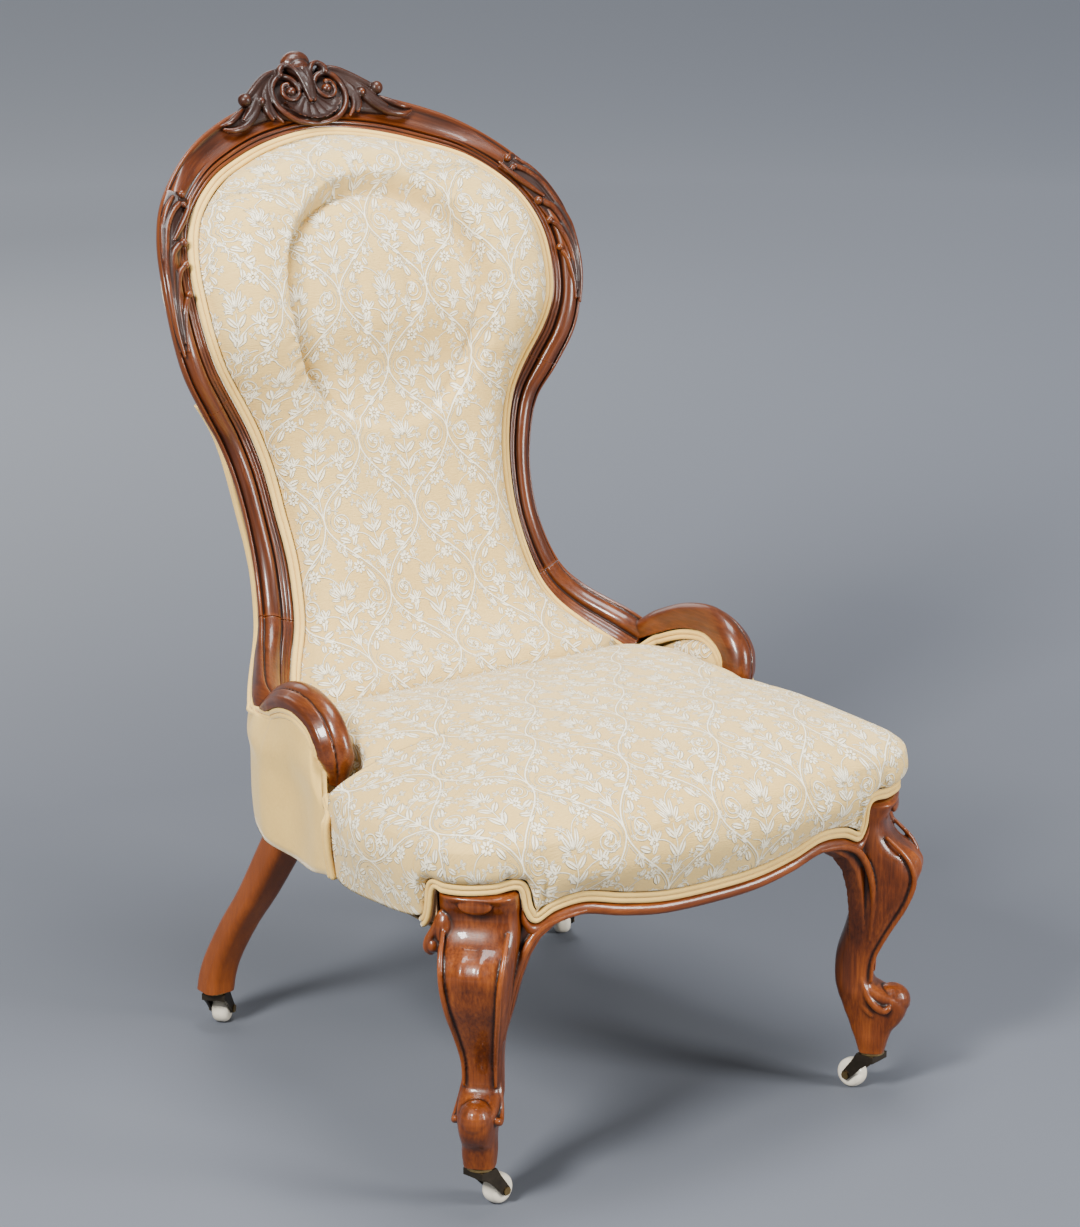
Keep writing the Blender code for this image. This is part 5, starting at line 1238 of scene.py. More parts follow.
def shell_form():
    """Dished scallop shell that fans down from the middle of the scrolls."""
    front = []
    back = []
    for reach in places(0.06, 1.0, 24):
        near = []
        far = []
        for share in places(-1.0, 1.0, 84):
            lobe = abs(math.cos(math.pi * (share * SHELL_LOBES / 2)))
            radius = SHELL_RADIUS * reach * (0.92 + 0.08 * lobe)
            turn = share * SHELL_SPREAD
            x = math.sin(turn) * radius
            u = SHELL_APEX + math.cos(turn) * radius
            lip = 0.0024 * smooth_step((reach - 0.82) * 6)
            dish = 0.0140 - 0.0066 * math.sin(reach * math.pi * 0.70)
            n = dish + 0.0034 * reach * lobe ** 0.45 + lip
            for row, level in ((near, n), (far, -0.002)):
                point = crest_point(abs(x), u, level)
                row.append(point if x >= 0 else MIRROR @ point)
        front.append(near)
        back.append(far)
    return closed_sheet(front, back)


def crest_ground():
    """Solid wood over the crest's right half that the strands stand on."""
    rings = []
    for x in range(0, CREST_GROUND_REACH, CREST_GROUND_STEP):
        near = -30 + 27 * smooth_step((x - 20) / 60) + 10 * smooth_step((x - 80) / 30)
        far = 36 - 14 * smooth_step((x - 10) / 40) - 6 * smooth_step((x - 70) / 40)
        front = 8.5 - 2.5 * smooth_step((x - 60) / 50)
        ring = ((near, -5), (near, front - 4), (near + 4, front - 1), (far - 3, front - 3.5),
                (far, front - 6), (far, -5))
        rings.append([crest_point(*mm((x, u, n))) for u, n in ring])
    return loft(rings)


def make_crest():
    forms = []
    for side in (-1, 1):
        forms += [crest_strand(spots, sizes, side) for spots, sizes in CREST_STRANDS]
        for spot, size in CREST_BALLS:
            forms.append(ball(on_side([crest_point(*mm(spot))], side)[0], size / 1000))
        forms += [crest_strand(spots, sizes, side) for spots, sizes in CREST_LEAVES]
        forms.append(mirrored(crest_ground(), side))
    forms.append(shell_form())
    mesh = fused("crest_carving", forms, CARVING_VOXEL, 1)
    knob = [blob(crest_point(*middle), [Vector(axis) for axis in axes]) for middle, axes in CREST_KNOB]
    knob = fused("crest_knob", knob, CARVING_VOXEL, 2)
    # darkening moves the knob and the carving as a whole towards the colour of grime and painted shade
    dress_wood("crest_knob", knob, [], along=0, rounds=10, darkening=0.45)
    dress_wood("crest_carving_detailed", mesh, ["crest_carving"], along=0, rounds=26, depth=0.0009,
               darkening=1.35)


# Strands over the right shoulder: places along the frame and shares of its width, from the
# outer leaf inward
SHOULDER_STRANDS = (
    ((7.4, 0.10), (6.9, 0.08), (6.5, 0.08), (6.0, 0.09), (5.6, 0.11), (4.8, 0.20), (4.3, 0.34), (4.0, 0.5)),
    ((7.0, 0.14), (6.5, 0.16), (6.0, 0.21), (5.4, 0.36), (5.1, 0.62)),
    ((7.1, 0.22), (6.6, 0.26), (6.2, 0.33), (5.8, 0.50), (5.65, 0.68)),
    ((7.3, 0.26), (6.9, 0.34), (6.5, 0.48), (6.3, 0.62)),
    ((5.0, 0.12), (4.6, 0.11), (4.2, 0.16), (3.9, 0.24)),
    ((5.0, 0.46), (4.5, 0.72), (4.1, 0.80), (3.7, 0.74)),
    ((6.0, 0.06), (5.4, 0.04), (4.9, 0.05), (4.5, 0.04)),
)
# Their radii in millimetres
SHOULDER_SIZES = (
    (1.6, 2.6, 3.4, 3.8, 4.0, 4.0, 3.6, 3.2), (1.6, 3.0, 3.8, 4.0, 3.6), (1.6, 2.8, 3.4, 3.4, 3.0),
    (1.4, 2.4, 3.0, 2.6), (1.8, 3.0, 3.0, 1.6), (2.0, 3.2, 2.8, 1.4), (1.4, 2.2, 2.4, 1.4),
)
SHOULDER_BALLS = ((3.78, 0.44, 4.6), (5.05, 0.76, 4.8), (5.6, 0.76, 4.2), (6.22, 0.70, 3.8),
                  (4.0, 0.62, 3.4))
SHOULDER_START = 3.75
SHOULDER_SPAN = 3.55
SHOULDER_VOXEL = 0.0008


def shoulder_point(place, share, n):
    """Point over the shoulder: along the frame, across it and forward of its face."""
    outer, width, across, facing = frame_at(place)
    return outer + across * (share * width) + facing * n


def make_shoulders():
    forms = []
    for spots, sizes in zip(SHOULDER_STRANDS, SHOULDER_SIZES):
        forms.append(strand([shoulder_point(p, share, 0.0052) for p, share in spots], mm(sizes)))
    for p, share, size in SHOULDER_BALLS:
        forms.append(ball(shoulder_point(p, share, 0.0058), size / 1000))
    ground = []
    for p in places(SHOULDER_START, SHOULDER_START + SHOULDER_SPAN, 24):
        t = (p - SHOULDER_START) / SHOULDER_SPAN
        near, far = 0.03, 0.80 - 0.5 * smooth_step(t * 1.3 - 0.3)
        ring = ((near, -0.004), (near, 0.002), ((near + far) / 2, 0.0055), (far, 0.001), (far, -0.004))
        ground.append([shoulder_point(p, u, n) for u, n in ring])
    forms.append(loft(ground))
    for word, side in SIDES:
        mesh = fused("shoulder_" + word, [mirrored(form, side) for form in forms], SHOULDER_VOXEL, 1)
        # darkening moves the shoulder carving as a whole towards the colour of grime and painted shade
        dress_wood("shoulder_carving_detailed_" + word, mesh, ["shoulder_carving_" + word], along=2,
                   rounds=22, depth=0.0009, darkening=0.6)


# Legs

LEG_SAMPLES = 96
LEG_VOXEL = 0.0011
# The leg draws in by this share under the fabric's edge
CUFF_TRIM = 0.22


def leg_point(d, s, level):
    """Point of the right front leg: forward on the diagonal, sideways, and its height."""
    return FRONT_FOOT + DIAGONAL * d + SIDEWAYS * s + UP * level


def leg_values(level_share):
    """Front, back and half width of the leg at a share of its height."""
    rows = [Vector(shares[1:]) for shares in LEG_SHARES]
    for i in range(len(LEG_SHARES) - 1):
        low, high = LEG_SHARES[i][0], LEG_SHARES[i + 1][0]
        if low <= level_share <= high:
            values = curve_at(rows, i + (level_share - low) / (high - low))
            flare = 1 - CUFF_TRIM * smooth_step((level_share - 0.895) / 0.04)
            return values.x * flare * KNEE_REACH, values.y * KNEE_BACK, values.z * LEG_HALF_WIDTH
    return rows[-1].x * KNEE_REACH, rows[-1].y * KNEE_BACK, rows[-1].z * LEG_HALF_WIDTH


def leg_height(level_share):
    """Height of the front leg at a share of it."""
    return CASTOR_HEIGHT + level_share * (RAIL_TOP - CASTOR_HEIGHT)


def leg_share(height):
    """Share of the front leg's height that a height is."""
    return (height - CASTOR_HEIGHT) / (RAIL_TOP - CASTOR_HEIGHT)


KNEE_LEVEL = 0.254
KNEE_LOBE_HALF_SPAN = 0.0082
KNEE_LOBE_RISE = 0.0050
KNEE_LOBE_WIDTH = 0.0070
KNEE_LOBE_HEIGHT = 0.0160


def knee_swell(aside, height):
    """Rise of the knee's two soft swellings beside the leg's middle line."""
    level = math.exp(-((height - KNEE_LEVEL) / KNEE_LOBE_HEIGHT) ** 2)
    lobes = sum(math.exp(-((aside - s * KNEE_LOBE_HALF_SPAN) / KNEE_LOBE_WIDTH) ** 2) for s in (-1, 1))
    return KNEE_LOBE_RISE * level * lobes


def leg_section(level_share):
    """Rounded square section of the front leg."""
    front, back, half = leg_values(level_share)
    middle, reach = (front + back) / 2, (front - back) / 2
    ring = []
    for i in range(LEG_SAMPLES):
        angle = 2 * math.pi * (i + 0.5) / LEG_SAMPLES
        c, s = math.cos(angle), math.sin(angle)
        along = middle + reach * math.copysign(abs(c) ** LEG_SQUARENESS, c)
        aside = half * math.copysign(abs(s) ** LEG_SQUARENESS, s)
        along += knee_swell(aside, leg_height(level_share)) * smooth_step(c * 2)
        ring.append(leg_point(along, aside, leg_height(level_share)))
    return ring


def leg_line(heights, forward_share, side_share):
    """Points on the leg's front at shares of its reach and half width."""
    line = []
    for height in heights:
        front, back, half = leg_values(leg_share(height))
        forward = front - (front - back) * (1 - forward_share) / 2
        line.append(leg_point(forward, half * side_share, height))
    return line


LEG_TOP_SHARE = 0.9655
TENON_SHARES = (0.972, 1.0)
# Beads down the two edges of the leg's front: heights in metres and radii in millimetres
EDGE_HEIGHTS = (0.125, 0.150, 0.180, 0.210, 0.238, 0.262, 0.284)
EDGE_SIZES = (1.6, 2.1, 2.4, 2.6, 2.7, 2.6, 2.0)
# Strands on the right front leg: forward, outward and height in millimetres, with their radii
ANKLE_STRANDS = (
    (((-13, 14.5, 150), (-12, 15.5, 136), (-9, 17.0, 122), (-3, 19.0, 109), (5, 20.5, 100),
      (13, 21.0, 96.5), (18, 20.0, 100)), (1.8, 2.4, 3.0, 3.6, 4.0, 4.0, 3.2)),
    (((-20, 14.0, 140), (-16, 15.0, 118), (-9, 17.0, 100), (1, 18.0, 89)), (1.4, 2.2, 2.4, 1.6)),
)
KNEE_STRANDS = (
    (((4, 34, 298), (6, 37, 289), (8, 41, 280), (9, 45, 272), (8, 46, 264), (5, 43, 259)),
     (3.0, 3.6, 4.0, 4.4, 4.6, 4.2)),
    (((-48, -93, 289), (-29, -70, 286), (-16, -53, 277), (-8, -44, 264), (-3, -38, 248), (0, -32.5, 228),
      (0, -27.5, 204), (-3, -22, 172)), (2.6, 3.6, 3.8, 3.8, 3.4, 3.0, 2.6, 1.8)),
)


# Egg-shaped masses on the right front leg: middle, and half sizes along the same three directions.
# The ear's volute, solid wood behind it, the toe over the castor, its swelling into the foot, and
# the small tongue under the fabric's edge
LEG_BLOBS = (
    ((0.006, 0.041, 0.267), (0.0095, 0.0070, 0.0080)),
    ((0.002, 0.031, 0.280), (0.012, 0.0120, 0.0200)),
    ((0.0195, 0.0, 0.1015), (0.0185, 0.0165, 0.0175)),
    ((0.012, 0.0, 0.084), (0.014, 0.0150, 0.016)),
    ((0.0165, 0.0, 0.3100), (0.0042, 0.0160, 0.0080)),
)


def leg_strand(spots, sizes, side):
    """A strand on the leg, on its outer or its inner side."""
    return strand([leg_point(d / 1000, side * w / 1000, z / 1000) for d, w, z in spots], mm(sizes))


# Sideways place, underside, top and front of the wood under the rail's end, in millimetres
BRACKET_ROWS = ((-93, 283, 295, -53), (-78, 282, 295, -40), (-66, 278, 295, -31), (-54, 268, 295, -21),
                (-45, 252, 295, -13), (-37, 228, 295, -8), (-30, 200, 295, -6), (-22, 172, 290, -6))
BRACKET_THICKNESS = 18


def bracket():
    """Solid wood between the rail's underside and the leg, under the sweeping moulding."""
    rings = []
    for s, low_level, high_level, d in BRACKET_ROWS:
        rear = d - BRACKET_THICKNESS
        edge = d - 3
        spots = ((rear, low_level), (rear, high_level), (edge, high_level),
                 (d, (low_level + high_level) / 2), (edge, low_level))
        rings.append([leg_point(d / 1000, s / 1000, z / 1000) for d, z in spots])
    return loft(rings)


def make_front_legs():
    rows = [leg_section(share) for share in places(0.0, LEG_TOP_SHARE, 90)]
    # the tenon grows out of the leg's inside, so the two forms overlap
    root = [p.lerp(sum(rows[-1], Vector()) / LEG_SAMPLES, 0.1) for p in rows[-1]]
    forms = [loft(rows), loft([root] + [leg_section(share) for share in TENON_SHARES])]
    for s in (-1, 1):
        forms.append(strand(leg_line(EDGE_HEIGHTS, 0.95, 0.80 * s), mm(EDGE_SIZES)))
        forms += [leg_strand(spots, sizes, s) for spots, sizes in ANKLE_STRANDS]
    forms += [leg_strand(spots, sizes, 1) for spots, sizes in KNEE_STRANDS]
    for middle, (forward, aside, high) in LEG_BLOBS:
        forms.append(blob(leg_point(*middle), [DIAGONAL * forward, SIDEWAYS * aside, UP * high]))
    forms.append(bracket())
    for word, side in SIDES:
        mesh = fused("leg_" + word, [mirrored(form, side) for form in forms], LEG_VOXEL, 2)
        dress_wood("front_leg_detailed_" + word, mesh, ["front_leg_" + word], along=2)


REAR_LEG_ROUNDING = 0.30


def make_rear_legs():
    rings = []
    cut = REAR_LEG_SIDE * REAR_LEG_ROUNDING
    last = len(REAR_LEG_LINE) - 1
    for p in places(0, last, 64):
        centre = curve_at(REAR_LEG_LINE, p)
        half = curve_at(REAR_LEG_SIZES, p).x * REAR_LEG_SIDE / 2
        ring = []
        for cx, cy, first in ((1, 1, 0), (-1, 1, 90), (-1, -1, 180), (1, -1, 270)):
            for k in range(7):
                angle = math.radians(first + 15 * k)
                ring.append(centre + Vector((cx * (half - cut) + cut * math.cos(angle),
                                             cy * (half - cut) + cut * math.sin(angle), 0.0)))
        rings.append(ring)
    for word, side in SIDES:
        mesh = mesh_from("rear_leg_" + word, [mirrored(loft(rings), side)])
        dress_wood("rear_leg_shaped_" + word, mesh, ["rear_leg_" + word], along=2)


# Front rail


def rail_ring(place):
    """Section of the front rail: half-round lip in front, flat above and below."""
    spot = abs(place)
    base = hem_at(spot)
    inward = (hem_at(spot, 1.0) - base).normalized()
    top = wood_level(spot)
    ring = []
    for i in range(15):
        turn = math.pi * (i / 14 - 0.5)
        depth = LIP_DEPTH * (1 - max(0.0, math.cos(turn)) ** 0.7)
        level = top - LIP_HEIGHT / 2 + LIP_HEIGHT / 2 * math.sin(turn)
        ring.append(base + inward * depth + UP * level)
    rear = RAIL_INSET + RAIL_THICKNESS
    for inset, level in ((RAIL_INSET, top + GAP), (RAIL_INSET, RAIL_TOP), (rear, RAIL_TOP),
                         (rear, RAIL_BOTTOM), (RAIL_INSET + RAIL_THICKNESS / 2, RAIL_BOTTOM),
                         (RAIL_INSET, min(RAIL_BOTTOM, top - LIP_HEIGHT / 2))):
        ring.append(base + inward * inset + UP * level)
    return on_side(ring, -1 if place < 0 else 1)


RAIL_END = 6.35


def make_front_rail():
    rings = [rail_ring(p) for p in stations(-RAIL_END, RAIL_END, RAIL_STEP)]
    mesh = fused("front_rail", [loft(rings)], LEG_VOXEL, 1)
    dress_wood("front_rail_moulded", mesh, ["front_rail"], along=0)


# Upholstery


def dress_cloth(name, mesh, slot, nodes, cloth):
    """Fabric with its place in the weave at every point."""
    store(mesh, "cloth", cloth)
    return dress(name, mesh, slot, nodes, sharp=180)


CORD_SIDES = 12
STILE_WELT_END = 16.25
# How far the stile's welt draws in under the edge and stands up to the frame's back
STILE_WELT_TUCK = 0.0020
STILE_WELT_LIFT = 0.0010
NOTCH_TUCK = 0.006


def cord_pair(stretch):
    """Two cords side by side on their tape, with the run along them; stretch lists
    (centre, aside, outward) along the welt."""
    rings = []
    cloth = []
    run = 0.0
    radius = WELT_WIDTH / 4
    for i, (centre, aside, outward) in enumerate(stretch):
        run += (centre - stretch[i - 1][0]).length if i else 0.0
        ring = []
        for middle in (-1, 1):
            for k in range(CORD_SIDES + 1):
                turn = math.pi * (k / CORD_SIDES)
                across = middle * radius - radius * math.cos(turn)
                lift = radius * 0.95 * math.sin(turn) + WELT_THICKNESS * 0.02
                ring.append(centre + aside * across + outward * lift)
                cloth.append((run, middle * radius * 3 + turn * radius, 0.0))
        tape = aside * (WELT_WIDTH / 2 * 0.98)
        for edge in (centre + tape, centre - tape):
            ring.append(edge - outward * (WELT_THICKNESS / 2))
        cloth += [(run, 0.0, 0.01)] * 2
        rings.append(ring)
    return rings, cloth


def make_welt(name, stretch, node):
    """Double piping along a stretch of stations."""
    rings, cloth = cord_pair(stretch)
    dress_cloth(name, mesh_from(name, [loft(rings)]), "velvet", [node], cloth)


def frame_welt(place):
    """Station of the welt between the show frame and the back pad."""
    outer, width, across, facing = frame_at(place)
    centre = outer + across * (width + GAP + WELT_WIDTH / 2) + facing * (WELT_LEVEL_SHARE * FRAME_DEPTH)
    return centre, across, facing


def scroll_welt(place, face):
    """Station of the welt under the scroll, on its inner (-1) or outer (1) face."""
    radial = ridge_at(place)[1]
    share, gap = (SCROLL_INNER_SHARE, 3 * GAP) if face < 0 else (SCROLL_SIDE_SHARE, GAP)
    centre = scroll_point(place, face, -share, -gap - WELT_WIDTH / 2, -face * WELT_THICKNESS / 2)
    return centre, -radial, Vector((face, 0.0, 0.0))


def hem_welt(place):
    """Station of the welt along the seat's lower edge."""
    outward, aside = hem_frame(place)
    centre = hem_at(place) + UP * wood_level(place) - outward * (WELT_THICKNESS / 2)
    centre += aside * (WELT_WIDTH / 2 + GAP)
    return centre, aside, outward


def notch_tuck(place):
    """How far the piping and the cover draw in under the rail towards the notch below the scroll."""
    return NOTCH_TUCK * smooth_step((place - 13) / 2.5) * (1 - 0.8 * smooth_step(place - 16))


def stile_welt(place):
    """Station of the welt that covers the seam behind the stile's outer edge."""
    outer, width, across, facing = frame_at(place)
    lip = back_inset(place) * width + notch_tuck(place)
    behind = FRAME_DEPTH + WELT_WIDTH / 2 - STILE_WELT_LIFT
    centre = outer + across * (lip - STILE_WELT_TUCK) - facing * behind
    return centre, -facing, -across


def whole(half):
    """A welt's stations from end to end, from those of its right-hand half."""
    return [on_side(station, -1) for station in half[:0:-1]] + half


# The upright welt from the hem's end to the scroll's tip: shares of the way back and up
SIDE_WELT_SHARES = ((0.0, 0.0), (0.0, 0.35), (0.0, 0.66), (0.06, 0.80), (0.38, 0.89), (0.78, 1.0))
SIDE_WELT_STEPS = 50


def side_welt():
    """Stations of the upright welt, bowed out over the stuffing."""
    hem = hem_at(HEM_LAST)
    tip = RIDGE[-1]
    foot = Vector((hem.x - WELT_THICKNESS / 2, (hem.y + skirt_at(0).y) / 2, wood_level(HEM_LAST) + GAP))
    top = Vector((ARM_HALF_WIDTH + ARM_SECTION_WIDTH / 2 - WELT_THICKNESS / 2, tip.y - WELT_WIDTH / 2,
                  tip.z - GAP))
    line = [Vector((foot.x + (top.x - foot.x) * back, foot.y + (top.y - foot.y) * back,
                    foot.z + (top.z - foot.z) * rise)) for back, rise in SIDE_WELT_SHARES]
    found = []
    for p in places(0, len(line) - 1, SIDE_WELT_STEPS):
        run = curve_at(line, p + LOOK_AHEAD) - curve_at(line, p - LOOK_AHEAD)
        swell = math.sin(math.pi * min(p / (len(line) - 1) * 1.3, 1.0))
        bow = Vector((0.0055 + 0.0070 * swell, -0.0015, 0.0))
        aside = Vector((0.0, run.z, -run.y)).normalized()
        found.append((curve_at(line, p) + bow, aside, Vector((1, 0, 0))))
    return found


def smooth_stretch(keys, steps):
    """Fine stations through coarser ones, smoothed between them."""
    lists = [[key[i] for key in keys] for i in range(3)]
    found = []
    for p in places(0, len(keys) - 1, (len(keys) - 1) * steps):
        centre, aside, outward = (curve_at(points, p) for points in lists)
        found.append((centre, aside.normalized(), outward.normalized()))
    return found


def make_welts():
    half = [frame_welt(p) for p in stations(0, WELT_STATIONS, STATION_STEP)]
    half += [scroll_welt(p, -1) for p in curl_places()]
    make_welt("back_double_piping", smooth_stretch(whole(half), 5), "back_piping")
    half = [hem_welt(p) for p in stations(0, WELT_END, RAIL_STEP)]
    make_welt("seat_double_piping", whole(half), "seat_piping")
    keys = [stile_welt(p) for p in stations(SHOULDER_JOINT, STILE_WELT_END, STATION_STEP)]
    keys += [scroll_welt(p, 1) for p in stations(SCROLL_WELT_START, SCROLL_WELT_END, STATION_STEP)]
    stretch = smooth_stretch(keys, 4)
    upright = side_welt()
    for word, side in SIDES:
        make_welt("arm_double_piping_" + word, [on_side(s, side) for s in stretch], "arm_piping_" + word)
        make_welt("side_double_piping_" + word, [on_side(s, side) for s in upright], "side_piping_" + word)


# Seat

# Pleats gathered over each front leg: distance from the middle and depth
SEAT_PLEATS = ((0.186, 0.0050), (0.222, 0.0042))
PLEAT_WIDTH = 0.0045
# The pleats lie within this distance of the seat's front
PLEAT_REACH = 0.10
SEAT_FINE = 5
# Rows of points from the seat's crown to its shoulder, and from there down its side
DOME_ROWS = 30
WALL_ROWS = 22
# Waves of the stuffing: how many to the metre, and their height
SEAT_WAVES = ((9.0, 0.0016), (24.0, 0.0006))


def fine_loop(points, steps):
    """A closed loop of points with smoothed points between them."""
    count = len(points)
    found = []
    for i in range(count):
        a, b, c, d = (points[(i + k) % count] for k in (-1, 0, 1, 2))
        for k in range(steps):
            f = k / steps
            found.append((b * 2 + (c - a) * f + (a * 2 - b * 5 + c * 4 - d) * f ** 2
                          + (b * 3 - a - c * 3 + d) * f ** 3) / 2)
    return found


SEAT_CENTRE = Vector((0.0, SEAT_FRONT_Y + SEAT_DEPTH * SEAT_MIDDLE_SHARE, 0.0))


def seat_column(edge, outward, swell, level):
    """Points of the cover from the crown over the shoulder to under its edge, and their cloth."""
    flat = Vector((edge.x, edge.y, 0.0))
    widest = max(BELLY_LEVEL, edge.z + WELT_WIDTH)
    seam = (edge.y - HEM_PLAN[-1].y) / 0.030
    reach = BELLY * max(swell, 0.0) * (1 - 0.72 * math.exp(-seam * seam))
    shoulder = flat + outward * (reach * 0.5)
    column = []
    for share in places(0.04, 1.0, DOME_ROWS):
        rise = (1 - share ** DOME_POWER) ** DOME_FULLNESS
        column.append(SEAT_CENTRE + (shoulder - SEAT_CENTRE) * share
                      + UP * (level + (DOME_LEVEL - level) * rise))
    wall = [column[-2], column[-1], flat + outward * reach + UP * widest, edge,
            edge - outward * SKIRT * 0.5]
    column += [curve_at(wall, spot) for spot in places(1, 3, WALL_ROWS)[1:]]
    column.append(edge - outward * SKIRT * 0.8 + UP * GAP)
    plan = Vector((shoulder.x, shoulder.y, 0.0))
    drop = 0.0
    cloth = []
    for i, point in enumerate(column):
        if i > DOME_ROWS:
            drop += (point - column[i - 1]).length
            point = plan + outward * drop
        cloth.append((point.x, point.y, 0.0))
    return column, cloth


def stuffed_seat(column, edge, outward):
    """A column with its pleats over the front legs and the waves of the stuffing."""
    found = []
    for i, point in enumerate(column):
        if edge.y <= SEAT_FRONT_Y + PLEAT_REACH:
            fall = within(i, DOME_ROWS, 46) * (1 - 0.3 * within(i, 46, DOME_ROWS + WALL_ROWS))
            for x, depth in SEAT_PLEATS:
                away = (abs(edge.x) - x) / PLEAT_WIDTH
                point = point - outward * (depth * fall * math.exp(-away * away))
        wave = sum(noise.noise(point * pitch) * height for pitch, height in SEAT_WAVES)
        found.append(point + UP * wave * within(DOME_ROWS + 1 - i, 0, 6))
    return found


def make_seat():
    outline = seat_outline()
    edges = fine_loop([p for p, _, _, _ in outline], SEAT_FINE)
    outwards = [v.normalized() for v in fine_loop([o for _, o, _, _ in outline], SEAT_FINE)]
    numbers = fine_loop([Vector((swell, level, 0.0)) for _, _, swell, level in outline], SEAT_FINE)
    points = []
    cloth = []
    for edge, outward, (swell, level, _) in zip(edges, outwards, numbers):
        column, spots = seat_column(edge, outward, swell, level)
        points += stuffed_seat(column, edge, outward)
        cloth += spots
    count = len(edges)
    rows = len(points) // count
    top, bottom = len(points), len(points) + 1
    points += [SEAT_CENTRE + UP * DOME_LEVEL, SEAT_CENTRE + UP * RAIL_TOP]
    cloth += [(SEAT_CENTRE.x, SEAT_CENTRE.y, 0.0)] * 2
    faces = []
    for j in range(count):
        here, beside = j * rows, (j + 1) % count * rows
        faces += [(here + i, beside + i, beside + i + 1, here + i + 1) for i in range(rows - 1)]
    faces += [(top, (j + 1) % count * rows, j * rows) for j in range(count)]
    faces += [(bottom, j * rows + rows - 1, (j + 1) % count * rows + rows - 1) for j in range(count)]
    mesh = mesh_from("seat", [(points, faces)])
    seat = dress_cloth("seat_cushion_sewn", mesh, "damask", ["seat_cushion"], cloth)


# Back pad

PAD_STEP = 0.0625
PAD_RIM = Vector((0.0, 0.012, 0.0))
PAD_FINE_COLUMNS = 150
# Creases inside the recess: distance from the middle, upper and lower end, and depth
PAD_CREASES = ((-0.030, 0.80, 0.716, 0.0036), (0.030, 0.812, 0.718, 0.0044))


def lengths_along(row):
    """Length along a row of points up to each of them, counted from its middle point."""
    along = [0.0]
    for i in range(1, len(row)):
        along.append(along[-1] + (row[i] - row[i - 1]).length)
    middle = along[len(row) // 2]
    return [value - middle for value in along]


def pad_relief(point):
    """Depth of the recess, its sharp seam and the soft creases inside it."""
    x = point.x / RECESS_HALF_WIDTH
    z = (point.z - RECESS_LEVEL) / RECESS_RISE
    radius = math.hypot(x, z if z > 0 else z * 0.66)
    inside = (1 - radius) * RECESS_HALF_WIDTH
    fall = smooth_step(z * 0.8 + 1.45)
    left = smooth_step(0.5 - x * 0.9)
    depth = RECESS_DEPTH * 1.05 * smooth_step(inside / (0.020 - 0.008 * left) + 0.5) * fall
    depth += 0.0035 * smooth_step((inside + 0.030) / 0.035) * fall
    seam = (inside - 0.004) / 0.0050
    depth += (0.0070 + 0.0020 * left) * math.exp(-seam * seam) * fall
    # small puckers where the cloth is drawn in along the seam
    turn = math.atan2(z, x)
    band = (inside + 0.004) / 0.012
    depth += 0.0011 * math.sin(turn * 46 + 3 * math.sin(turn * 7)) * math.exp(-band * band) * fall
    for across, top, bottom, deep in PAD_CREASES:
        t = (point.z - bottom) / (top - bottom)
        line = across + 0.004 * math.sin(t * 3)
        away = (point.x - line) / 0.006
        depth += deep * math.exp(-away * away) * smooth_step(t * 3) * smooth_step((1 - t) * 3)
    return depth


def pad_rows():
    """Grid over the pad's front: rows from side to side of the frame, from its crown to its foot."""
    rows_at = stations(0, PAD_END, PAD_STEP)
    borders = [pad_border(p, WELT_WIDTH + GAP, PAD_BORDER_SHARE) for p in rows_at]
    spots = borders + on_side(borders, -1)
    tree = KDTree(len(spots))
    for i, spot in enumerate(spots):
        tree.insert(spot, i)
    tree.balance()
    rows = []
    for p, start in zip(rows_at, borders):
        edge = pad_border(p, 0.0, PAD_BORDER_SHARE)
        facing = frame_at(p)[3]
        lean = Vector((0.0, facing.y, facing.z)).normalized()
        row = [edge]
        for i in range(PAD_FINE_COLUMNS + 1):
            point = Vector((start.x * (1 - 2 * (i / PAD_FINE_COLUMNS)), start.y, start.z))
            rise = min(tree.find(point)[2] / PAD_ROLL, 1.0)
            crown = PAD_CROWN * math.sqrt(1 - (1 - rise) ** 2)
            row.append(point + lean * (crown - pad_relief(point)))
        rows.append(row + [MIRROR @ edge])
    rear = SEAT_REAR_Y + 2 * GAP
    for row in rows:
        for i, p in enumerate(row):
            if p.z < DOME_LEVEL + OVERRUN:
                row[i] = Vector((p.x, max(p.y, rear), p.z))
    front = SEAT_REAR_Y + PAD_CROWN
    rows.append([Vector((p.x * PAD_FOOT_WIDTH, max(min(p.y, front), rear), PAD_FOOT_LEVEL))
                 for p in rows[-1]])
    return rows


def make_pad():
    rows = pad_rows()
    width = len(rows[0])
    middle = width // 2
    cloth = []
    run = 0.0
    for r, row in enumerate(rows):
        if r:
            run += (row[middle] - rows[r - 1][middle]).length
        cloth += [(value, -run, 0.0) for value in lengths_along(row)]
    points = [p for row in rows for p in row]
    faces = [(r * width + i, r * width + i + 1, (r + 1) * width + i + 1, (r + 1) * width + i)
             for r in range(len(rows) - 1) for i in range(width - 1)]
    # a rim behind each side, with flat faces between them
    rear = [p + PAD_RIM for row in rows for p in (row[0], row[-1])]
    base = len(points)
    points += rear
    cloth += [(0.0, 0.0, 0.0)] * len(rear)
    for r in range(len(rows) - 1):
        a, b = r * width, (r + 1) * width
        ra, rb = base + 2 * r, base + 2 * r + 2
        faces += [(a, b, rb, ra), (a + width - 1, ra + 1, rb + 1, b + width - 1), (ra, rb, rb + 1, ra + 1)]
    last = (len(rows) - 1) * width
    faces.append(tuple(range(width)) + (base + 1, base))
    faces.append(tuple(range(last, last + width)) + (len(points) - 1, len(points) - 2))
    mesh = mesh_from("back_pad", [(points, faces)])
    pad = dress_cloth("back_pad_sewn", mesh, "damask", ["back_pad"], cloth)


# Plain covers


